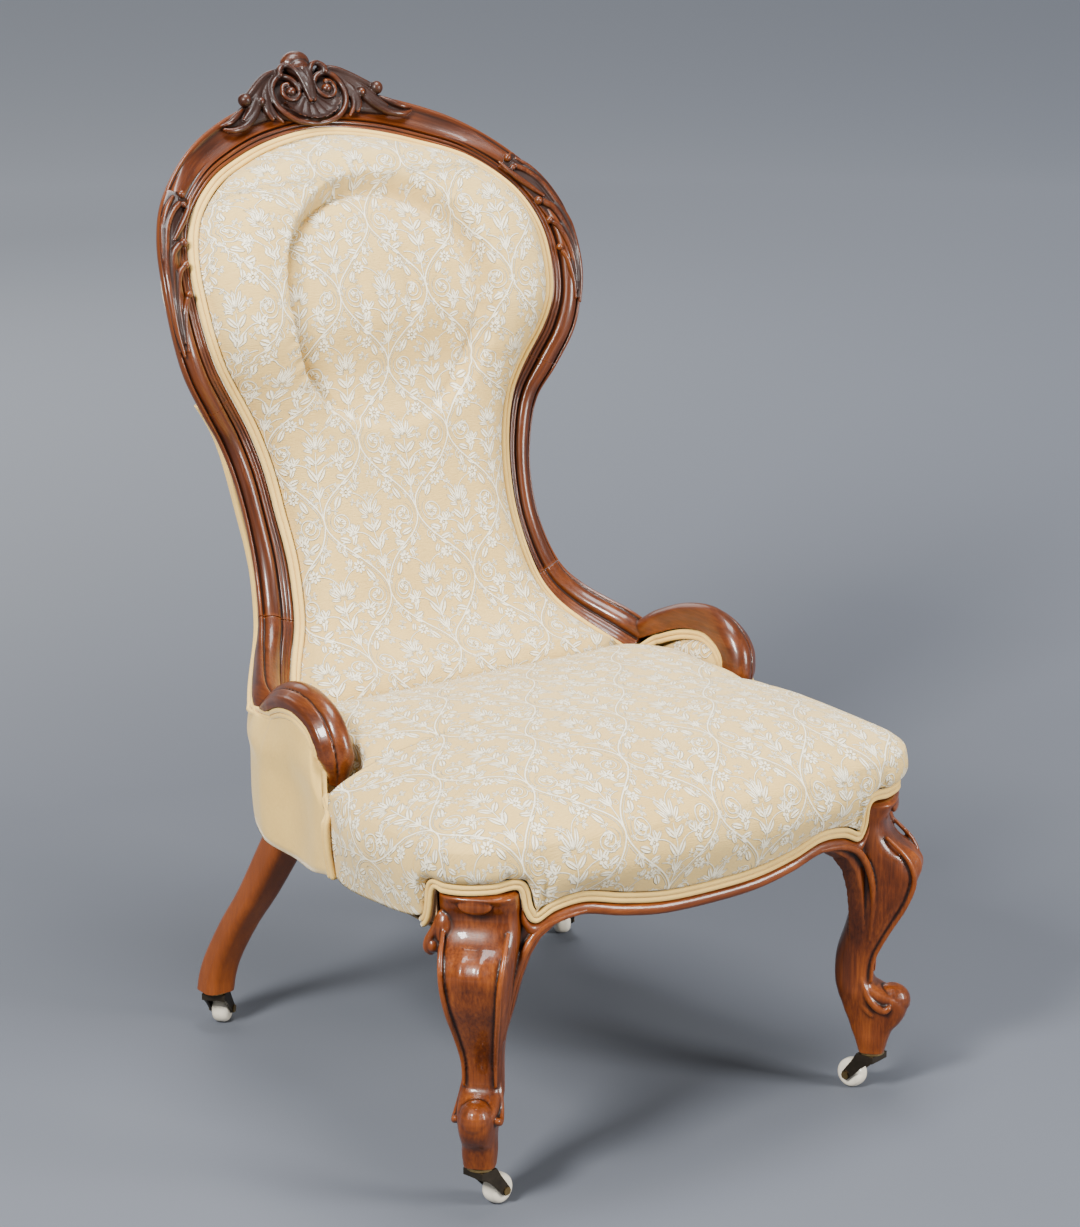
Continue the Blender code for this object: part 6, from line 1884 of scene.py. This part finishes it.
def fine_grid(rows, row_steps, point_steps):
    """A finer grid smoothed through a grid of points."""
    dense = []
    for row in rows:
        dense.append([curve_at(row, p) for p in places(0, len(row) - 1, (len(row) - 1) * point_steps)])
    columns = list(zip(*dense))
    columns = [[curve_at(column, p) for p in places(0, len(column) - 1, (len(column) - 1) * row_steps)]
               for column in columns]
    return [list(row) for row in zip(*columns)]


def closed_sheet(front, back):
    """Closed form between two grids of the same size."""
    return loft([near + far[::-1] for near, far in zip(front, back)])


def sheet_cloth(front):
    """Cloth coordinates for the points of a closed sheet, row by row, from its front's grid."""
    cloth = []
    down = 0.0
    for r, row in enumerate(front):
        if r:
            down += (row[len(row) // 2] - front[r - 1][len(row) // 2]).length
        line = [(value, down, 0.0) for value in lengths_along(row)]
        cloth += line + line[::-1]
    return cloth


# Stuffing behind the covers at the rear corners: its lower end, height, and push aside and back
COVER_SWELL_LOW = 0.235
COVER_SWELL_HEIGHT = 0.165
COVER_SWELL_ASIDE = 0.011
COVER_SWELL_BACK = 0.008
COVER_DROP = 0.015
COVER_SEAM = 0.02
# The side cover's edge, turned in under the outside back
SEAM_FLAP = Vector((-0.012, 0.0039, 0.0))
# The side cover's upper edge, tucked up at the notch
NOTCH_LIFT = 0.007


def stuffed(point):
    """Point of a cover pushed out and down by the stuffing low at the chair's rear corners."""
    rise = min(max((point.z - COVER_SWELL_LOW) / COVER_SWELL_HEIGHT, 0.0), 1.0)
    share = math.sin(math.pi * rise) * smooth_step((abs(point.x) - 0.13) / 0.09)
    share *= smooth_step((point.y - BACK_START_Y + 0.110) / 0.070)
    low = smooth_step((0.345 - point.z) / 0.065) * smooth_step((point.y - HEM_PLAN[-1].y) / 0.090)
    push = Vector((math.copysign(COVER_SWELL_ASIDE, point.x), COVER_SWELL_BACK, 0.0))
    return point + push * share - UP * (COVER_DROP * low)


def make_outside_cover():
    grids = []
    for depth in (COVER_THICKNESS, 0.0):
        rows = [row + on_side(row[-2::-1], -1) for row in outside_rows(depth)]
        grids.append(fine_grid(rows, 3, 8))
    for row in grids[0]:
        for i, point in enumerate(row):
            row[i] = stuffed(point + Vector((0.0, noise.noise(point * 7.0) * 0.0012, 0.0)))
    mesh = mesh_from("outside_back", [closed_sheet(*grids)])
    dress_cloth("outside_back_cover", mesh, "velvet", ["outside_back"], sheet_cloth(grids[0]))


def cover_tops(inset):
    """Upper edge of the outside arm cover, tucked up behind the piping."""
    tip = RIDGE[-1] - UP * (2 * GAP)
    tip.x = ARM_HALF_WIDTH + ARM_SECTION_WIDTH / 2 - inset
    tops = [tip]
    tuck = COVER_THICKNESS * 0.35
    for place in curl_places()[::-1]:
        drop = ARM_SECTION_DEPTH * scroll_size(place) * SCROLL_SIDE_SHARE + WELT_WIDTH * 0.75
        tops.append(scroll_point(place, 1.0, 0.0, -drop, -inset - tuck))
    for place in stations(ARM_JOINT + COVER_SEAM, NOTCH_PLACE, STATION_STEP)[::-1]:
        lip = back_inset(place) * frame_at(place)[1] + notch_tuck(place)
        tuck_up = UP * (NOTCH_LIFT * smooth_step((place - 15.75) / 0.75))
        tops.append(frame_point(place, lip + inset, -FRAME_DEPTH - COVER_THICKNESS / 2) + tuck_up)
    return tops


def make_side_covers():
    low = wood_level(HEM_LAST)
    grids = []
    for inset in (0.0, COVER_THICKNESS):
        tops = cover_tops(inset)
        rows = []
        for i, top in enumerate(tops):
            place = (SIDE_PANEL_END + GAP_AT_SEAM - COVER_SEAM) * i / (len(tops) - 1)
            outward = outward_at(SKIRT_PLAN, place)
            foot = skirt_at(place, inset)
            turn = foot + UP * (RAIL_TOP + OVERRUN)
            middle = top.lerp(turn, 0.5) + outward * (COVER_THICKNESS * PANEL_SWELL)
            rows.append([top, middle, turn, foot + UP * low])
        grid = [[stuffed(p) for p in row] for row in fine_grid(rows, 4, 8)]
        grid += [[p + SEAM_FLAP * share for p in grid[-1]] for share in (0.5, 1.0)]
        grids.append(grid)
    for word, side in SIDES:
        mesh = mesh_from("outside_arm", [mirrored(closed_sheet(*grids), side)])
        dress_cloth("outside_arm_cover_" + word, mesh, "velvet", ["outside_arm_" + word],
                    sheet_cloth(grids[0]))


ARM_PAD_ROWS = 24
ARM_PAD_ROLL = 0.22


def make_arm_pads():
    rows = []
    backs = []
    for p in curl_places():
        top = scroll_point(p, -1.0, -SCROLL_INNER_SHARE, -WELT_WIDTH - 5 * GAP)
        top.x = ARM_HALF_WIDTH - ARM_SECTION_WIDTH / 2
        foot = Vector((top.x, top.y, RAIL_TOP + 3 * GAP))
        thick = Vector((ARM_PAD_THICKNESS, 0.0, 0.0))
        front = []
        back = []
        for share in places(0, 1, ARM_PAD_ROWS):
            point = top.lerp(foot, share)
            swell = math.sqrt(max(0.0, 1 - (1 - min(share / ARM_PAD_ROLL, 1.0)) ** 2))
            front.append(point - thick * (0.9 * swell - 0.35))
            back.append(point + thick * 0.9)
        rows.append(front)
        backs.append(back)
    front = fine_grid(rows, 6, 1)
    back = fine_grid(backs, 6, 1)
    cloth = sheet_cloth(front)
    for word, side in SIDES:
        mesh = mesh_from("inner_arm_pad", [mirrored(closed_sheet(front, back), side)])
        pad = dress_cloth("inner_arm_pad_sewn_" + word, mesh, "damask", ["inner_arm_pad_" + word], cloth)


# Castor wheels

# Wheel's section round its bore: shares of its radius and of half its width
WHEEL_CURVE_SHARES = (
    (0.30, -0.92), (0.34, -1.0), (0.52, -1.0), (0.66, -0.985), (0.80, -0.90), (0.90, -0.74),
    (0.97, -0.50), (1.0, -0.22), (1.0, 0.22), (0.97, 0.50), (0.90, 0.74), (0.80, 0.90),
    (0.66, 0.985), (0.52, 1.0), (0.34, 1.0), (0.30, 0.92),
)
WHEEL_TURNS = 64
CORNERS = ("front_left", "front_right", "rear_left", "rear_right")


def axle_direction(name):
    """Level direction of a castor's axle, from the joint that it turns on."""
    for joint in frame["joints"]:
        if joint["name"] == "roll_" + name:
            return Vector(joint["axis"]).normalized()
    raise ValueError(name)


def make_wheels():
    profile = [Vector((r, y, 0.0)) for r, y in WHEEL_CURVE_SHARES]
    last = len(profile) - 1
    for name in CORNERS:
        low, high = (Vector(corner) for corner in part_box("castor_axle_" + name))
        middle = (low + high) / 2 - SHIFT
        run = axle_direction(name)
        across = run.cross(UP).normalized()
        rings = []
        for p in places(0, last, last * 3):
            share = curve_at(profile, p)
            ring = []
            for i in range(WHEEL_TURNS):
                turn = 2 * math.pi * i / WHEEL_TURNS
                ring.append(middle + run * (share.y * WHEEL_WIDTH / 2)
                            + (across * math.cos(turn) + UP * math.sin(turn)) * (share.x * WHEEL_RADIUS))
            rings.append(ring)
        points, faces = loft(rings + rings[:1], capped=False)
        # the last ring is the first one again
        spare = len(points) - WHEEL_TURNS
        faces = [tuple(i % spare for i in face) for face in faces]
        mesh = mesh_from("wheel", [(points[:spare], faces)])
        dress("castor_wheel_turned_" + name, mesh, "ceramic", ["castor_wheel_" + name], "wheel_" + name)


# Seat's underside

WEBBING_WIDTH = 0.050
WEBBING_PITCH = 0.105
STRAP_THICKNESS = 0.0010
STRAP_WEAVE = 0.0006
STRAP_STEPS = 96
STRAP_COLUMNS = 10
# The bottom cloth's points are no further apart than this, after so many rounds of halving
CLOTH_EDGE = 0.016
CLOTH_ROUNDS = 5
CLOTH_WELD = 0.00002
CLOTH_SAG = 0.003


def strap(x_range, y_range, level, crossings, over):
    """Closed strip that runs along its longer side, over and under the straps that cross it."""
    lengthwise = y_range[1] - y_range[0] > x_range[1] - x_range[0]
    run, cross = (y_range, x_range) if lengthwise else (x_range, y_range)
    top, bottom = [], []
    for i in range(STRAP_STEPS + 1):
        along = run[0] + (run[1] - run[0]) * i / STRAP_STEPS
        lift = 0.0
        for k, place in enumerate(crossings):
            sign = 1 if (over + k) % 2 else -1
            lift += sign * STRAP_WEAVE * math.exp(-((along - place) / (WEBBING_WIDTH * 0.6)) ** 2)
        for row, height in ((top, STRAP_THICKNESS / 2), (bottom, -STRAP_THICKNESS / 2)):
            line = places(cross[0], cross[1], STRAP_COLUMNS)
            row.append([Vector((c, along, level + lift + height)) if lengthwise
                        else Vector((along, c, level + lift + height)) for c in line])
    return top, bottom


def make_straps():
    """Two-way webbing, woven over and under, in separate straps tacked to the rails."""
    low, high = (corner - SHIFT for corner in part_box("seat_webbing"))
    level = (low.z + high.z) / 2
    half = WEBBING_WIDTH / 2
    columns = [i * WEBBING_PITCH for i in (-1, 0, 1)]
    lines = [SEAT_FRONT_Y + SEAT_DEPTH * SEAT_MIDDLE_SHARE + i * WEBBING_PITCH * 0.8 for i in (-1, 1)]
    laid = []
    for k, x in enumerate(columns):
        end = high.y - (0.0 if k == 1 else half)
        laid.append(((x - half, x + half), (low.y, end), lines, k))
    for k, y in enumerate(lines):
        span = high.x - (0.0 if k == 0 else half)
        laid.append(((-span, span), (y - half, y + half), columns, k + 1))
    for number, (x_range, y_range, crossings, over) in enumerate(laid, 1):
        top, bottom = strap(x_range, y_range, level, crossings, over)
        mesh = mesh_from("strap", [closed_sheet(top, bottom)])
        piece = dress_cloth("webbing_strap_" + str(number), mesh, "webbing", ["seat_webbing"],
                            sheet_cloth(top))
        length = max(x_range[1] - x_range[0], y_range[1] - y_range[0])
        (["front_rail", "back_rail"] if number < 4
                 else ["side_rail_left", "side_rail_right"])


def make_bottom_cloth():
    """Fine cloth under the rails, tacked at its edge and sagging a little between."""
    mesh = frame["nodes"]["bottom_cloth"].data.copy()
    mesh.transform(Matrix.Translation(-SHIFT))
    bm = bmesh.new()
    bm.from_mesh(mesh)
    bmesh.ops.remove_doubles(bm, verts=bm.verts, dist=CLOTH_WELD)
    bmesh.ops.triangulate(bm, faces=bm.faces)
    for _ in range(CLOTH_ROUNDS):
        long = [e for e in bm.edges if e.calc_length() > CLOTH_EDGE]
        bmesh.ops.subdivide_edges(bm, edges=long, cuts=1, use_grid_fill=False)
        bmesh.ops.triangulate(bm, faces=[f for f in bm.faces if len(f.verts) > 3])
    bm.to_mesh(mesh)
    area = sum(f.calc_area() for f in bm.faces) / 2
    bm.free()
    low, high = (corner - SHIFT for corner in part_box("bottom_cloth"))
    middle = (low + high) / 2
    cloth = []
    for vertex in mesh.vertices:
        across = (vertex.co.x - middle.x) / (high.x - middle.x)
        along = (vertex.co.y - middle.y) / (high.y - middle.y)
        fall = max(0.0, 1 - across * across) * max(0.0, 1 - along * along)
        cloth.append((vertex.co.x, vertex.co.y, 0.0))
        vertex.co.z -= CLOTH_SAG * fall
    piece = dress_cloth("bottom_cloth_tacked", mesh, "hessian", ["bottom_cloth"], cloth)


# Every node keeps or gets its own finish


SLOTS = (
    ("spring_steel", ("seat_spring",)),
    ("castor_brass", ("castor_axle", "castor_plate")),
    ("castor_bronze", ("castor_horn",)),
    ("ceramic", ("castor_wheel",)),
    ("webbing", ("seat_webbing",)),
    ("hessian", ("bottom_cloth",)),
    ("beech", ("back_post", "arm_post", "tacking", "side_rail", "back_rail", "corner_block")),
    ("damask", ("seat_cushion", "back_pad", "inner_arm")),
    ("velvet", ("back_piping", "arm_piping", "seat_piping", "side_piping", "outside")),
)
BEVELLED = ("castor_horn", "castor_plate", "castor_axle")
WORN_EDGE = 0.0005


def slot_of(name):
    """Slot of a node that keeps its own shape."""
    for slot, beginnings in SLOTS:
        if name.startswith(beginnings):
            return slot
    return "walnut"


for name, node in frame["nodes"].items():
    node.data.materials.clear()
    node.data.materials.append(MATERIALS[slot_of(name)])
    if name.startswith(BEVELLED):
        bevel = node.modifiers.new("worn_edges", "BEVEL")
        bevel.width = WORN_EDGE
        bevel.segments = 2
        bevel.limit_method = "ANGLE"

make_frame_pieces()
make_arms()
make_crest()
make_shoulders()
make_front_legs()
make_rear_legs()
make_front_rail()
make_welts()
make_seat()
make_pad()
make_outside_cover()
make_side_covers()
make_arm_pads()
make_wheels()
make_straps()
make_bottom_cloth()


# Floor, light and camera

FLOOR_RADIUS = 16.0
FLOOR_NEAR = 0.9
FLOOR_FAR = 5.5


def make_stage():
    """Level studio floor that fills the view behind the chair, its colour painted paler with distance and
    towards the chair's left, as painted light of a lit backdrop.
    """
    material, tree, shader = fresh_material("studio_floor")
    place = object_place(tree)
    patch = noise_over(tree, place, (1.5, 1.5, 1.5), 3.0)
    east, north, _ = split(tree, place)
    reach = (east * east + north * north).apply("POWER", 0.5)
    # painted light: the far floor is painted pale to stand for a lit backdrop
    rise = ((reach - FLOOR_NEAR) / (FLOOR_FAR - FLOOR_NEAR)).clamped()
    # painted light: paler towards the chair's left, darker towards its right
    aside = (east / reach.apply("MAXIMUM", 0.5) * -0.45 + 0.5).clamped()
    right = mixed(tree, patch, (0.076, 0.084, 0.103), (0.086, 0.094, 0.115))
    left = mixed(tree, patch, (0.088, 0.097, 0.118), (0.100, 0.109, 0.132))
    near = mixed(tree, aside, right, left)
    far = mixed(tree, aside, (0.440, 0.485, 0.600), (0.980, 1.000, 1.000))
    tree.links.new(mixed(tree, rise.apply("POWER", 1.15), near, far), shader.inputs["Base Color"])
    shader.inputs["Roughness"].default_value = 0.85
    bpy.ops.mesh.primitive_circle_add(vertices=96, radius=FLOOR_RADIUS, fill_type="NGON")
    floor = bpy.context.active_object
    floor.name = "studio_floor"
    floor.data.materials.append(material)


# Name, place, point that it's aimed at, size, power and colour
LIGHTS = (
    ("key", (-2.4, -1.1, 2.3), (0.0, 0.0, 0.55), (0.62, 0.85), 236.0, (1.0, 0.99, 0.955)),
    ("fill", (1.5, -2.6, 1.3), (0.0, 0.0, 0.4), (0.8, 1.3), 142.0, (1.0, 0.995, 0.97)),
    ("top", (0.1, -0.2, 3.0), (0.0, 0.0, 0.5), (1.4, 1.0), 108.0, (1.0, 1.0, 1.0)),
    ("back", (0.7, 3.4, 2.4), (0.0, 0.0, 0.5), (2.4, 1.8), 36.0, (1.0, 1.0, 1.0)),
)


def add_light(name, place, aim, size, power, colour):
    """Rectangular lamp at a place, turned to the point that it's aimed at."""
    lamp = bpy.data.lights.new(name, "AREA")
    lamp.shape = "RECTANGLE"
    lamp.size, lamp.size_y = size
    lamp.energy = power
    lamp.color = colour
    holder = bpy.data.objects.new(name, lamp)
    holder.location = place
    holder.rotation_euler = (Vector(aim) - Vector(place)).to_track_quat("-Z", "Y").to_euler()
    bpy.context.collection.objects.link(holder)


# Camera fitted to the photograph: angles in degrees, place in metres, focal length in its pixels
CAMERA_AZIMUTH = -34.71
CAMERA_ELEVATION = 16.31
CAMERA_ROLL = -0.109
CAMERA_PLACE = Vector((-1.948, -2.829, 1.487))
FOCAL_PIXELS = 3589.8
IMAGE_HEIGHT = 1227
SENSOR = 36.0
CLIP_END = 50.0


def make_camera():
    """Camera at its place, with the photograph's field of view."""
    azimuth, elevation, roll = (math.radians(v) for v in (CAMERA_AZIMUTH, CAMERA_ELEVATION, CAMERA_ROLL))
    back = Vector((math.sin(azimuth) * math.cos(elevation), -math.cos(azimuth) * math.cos(elevation),
                   math.sin(elevation)))
    right = (-back).cross(UP).normalized()
    up = right.cross(-back)
    side = right * math.cos(roll) + up * math.sin(roll)
    top = up * math.cos(roll) - right * math.sin(roll)
    lens = bpy.data.cameras.new("camera")
    lens.sensor_fit = "AUTO"
    lens.sensor_width = SENSOR
    lens.lens = SENSOR * FOCAL_PIXELS / IMAGE_HEIGHT
    lens.clip_end = CLIP_END
    camera = bpy.data.objects.new("camera", lens)
    pose = Matrix((side, top, back)).transposed().to_4x4()
    pose.translation = CAMERA_PLACE + SHIFT
    camera.matrix_world = pose
    bpy.context.collection.objects.link(camera)
    bpy.context.scene.camera = camera


WORLD_COLOUR = (0.95, 0.97, 1.0, 1.0)
WORLD_STRENGTH = 0.335


def make_world():
    world = bpy.data.worlds.new("studio")
    world.use_nodes = True
    light = world.node_tree.nodes["Background"]
    light.inputs["Color"].default_value = WORLD_COLOUR
    light.inputs["Strength"].default_value = WORLD_STRENGTH
    bpy.context.scene.world = world


make_stage()
make_world()
make_camera()
for values in LIGHTS:
    add_light(*values)

bpy.context.view_layer.update()
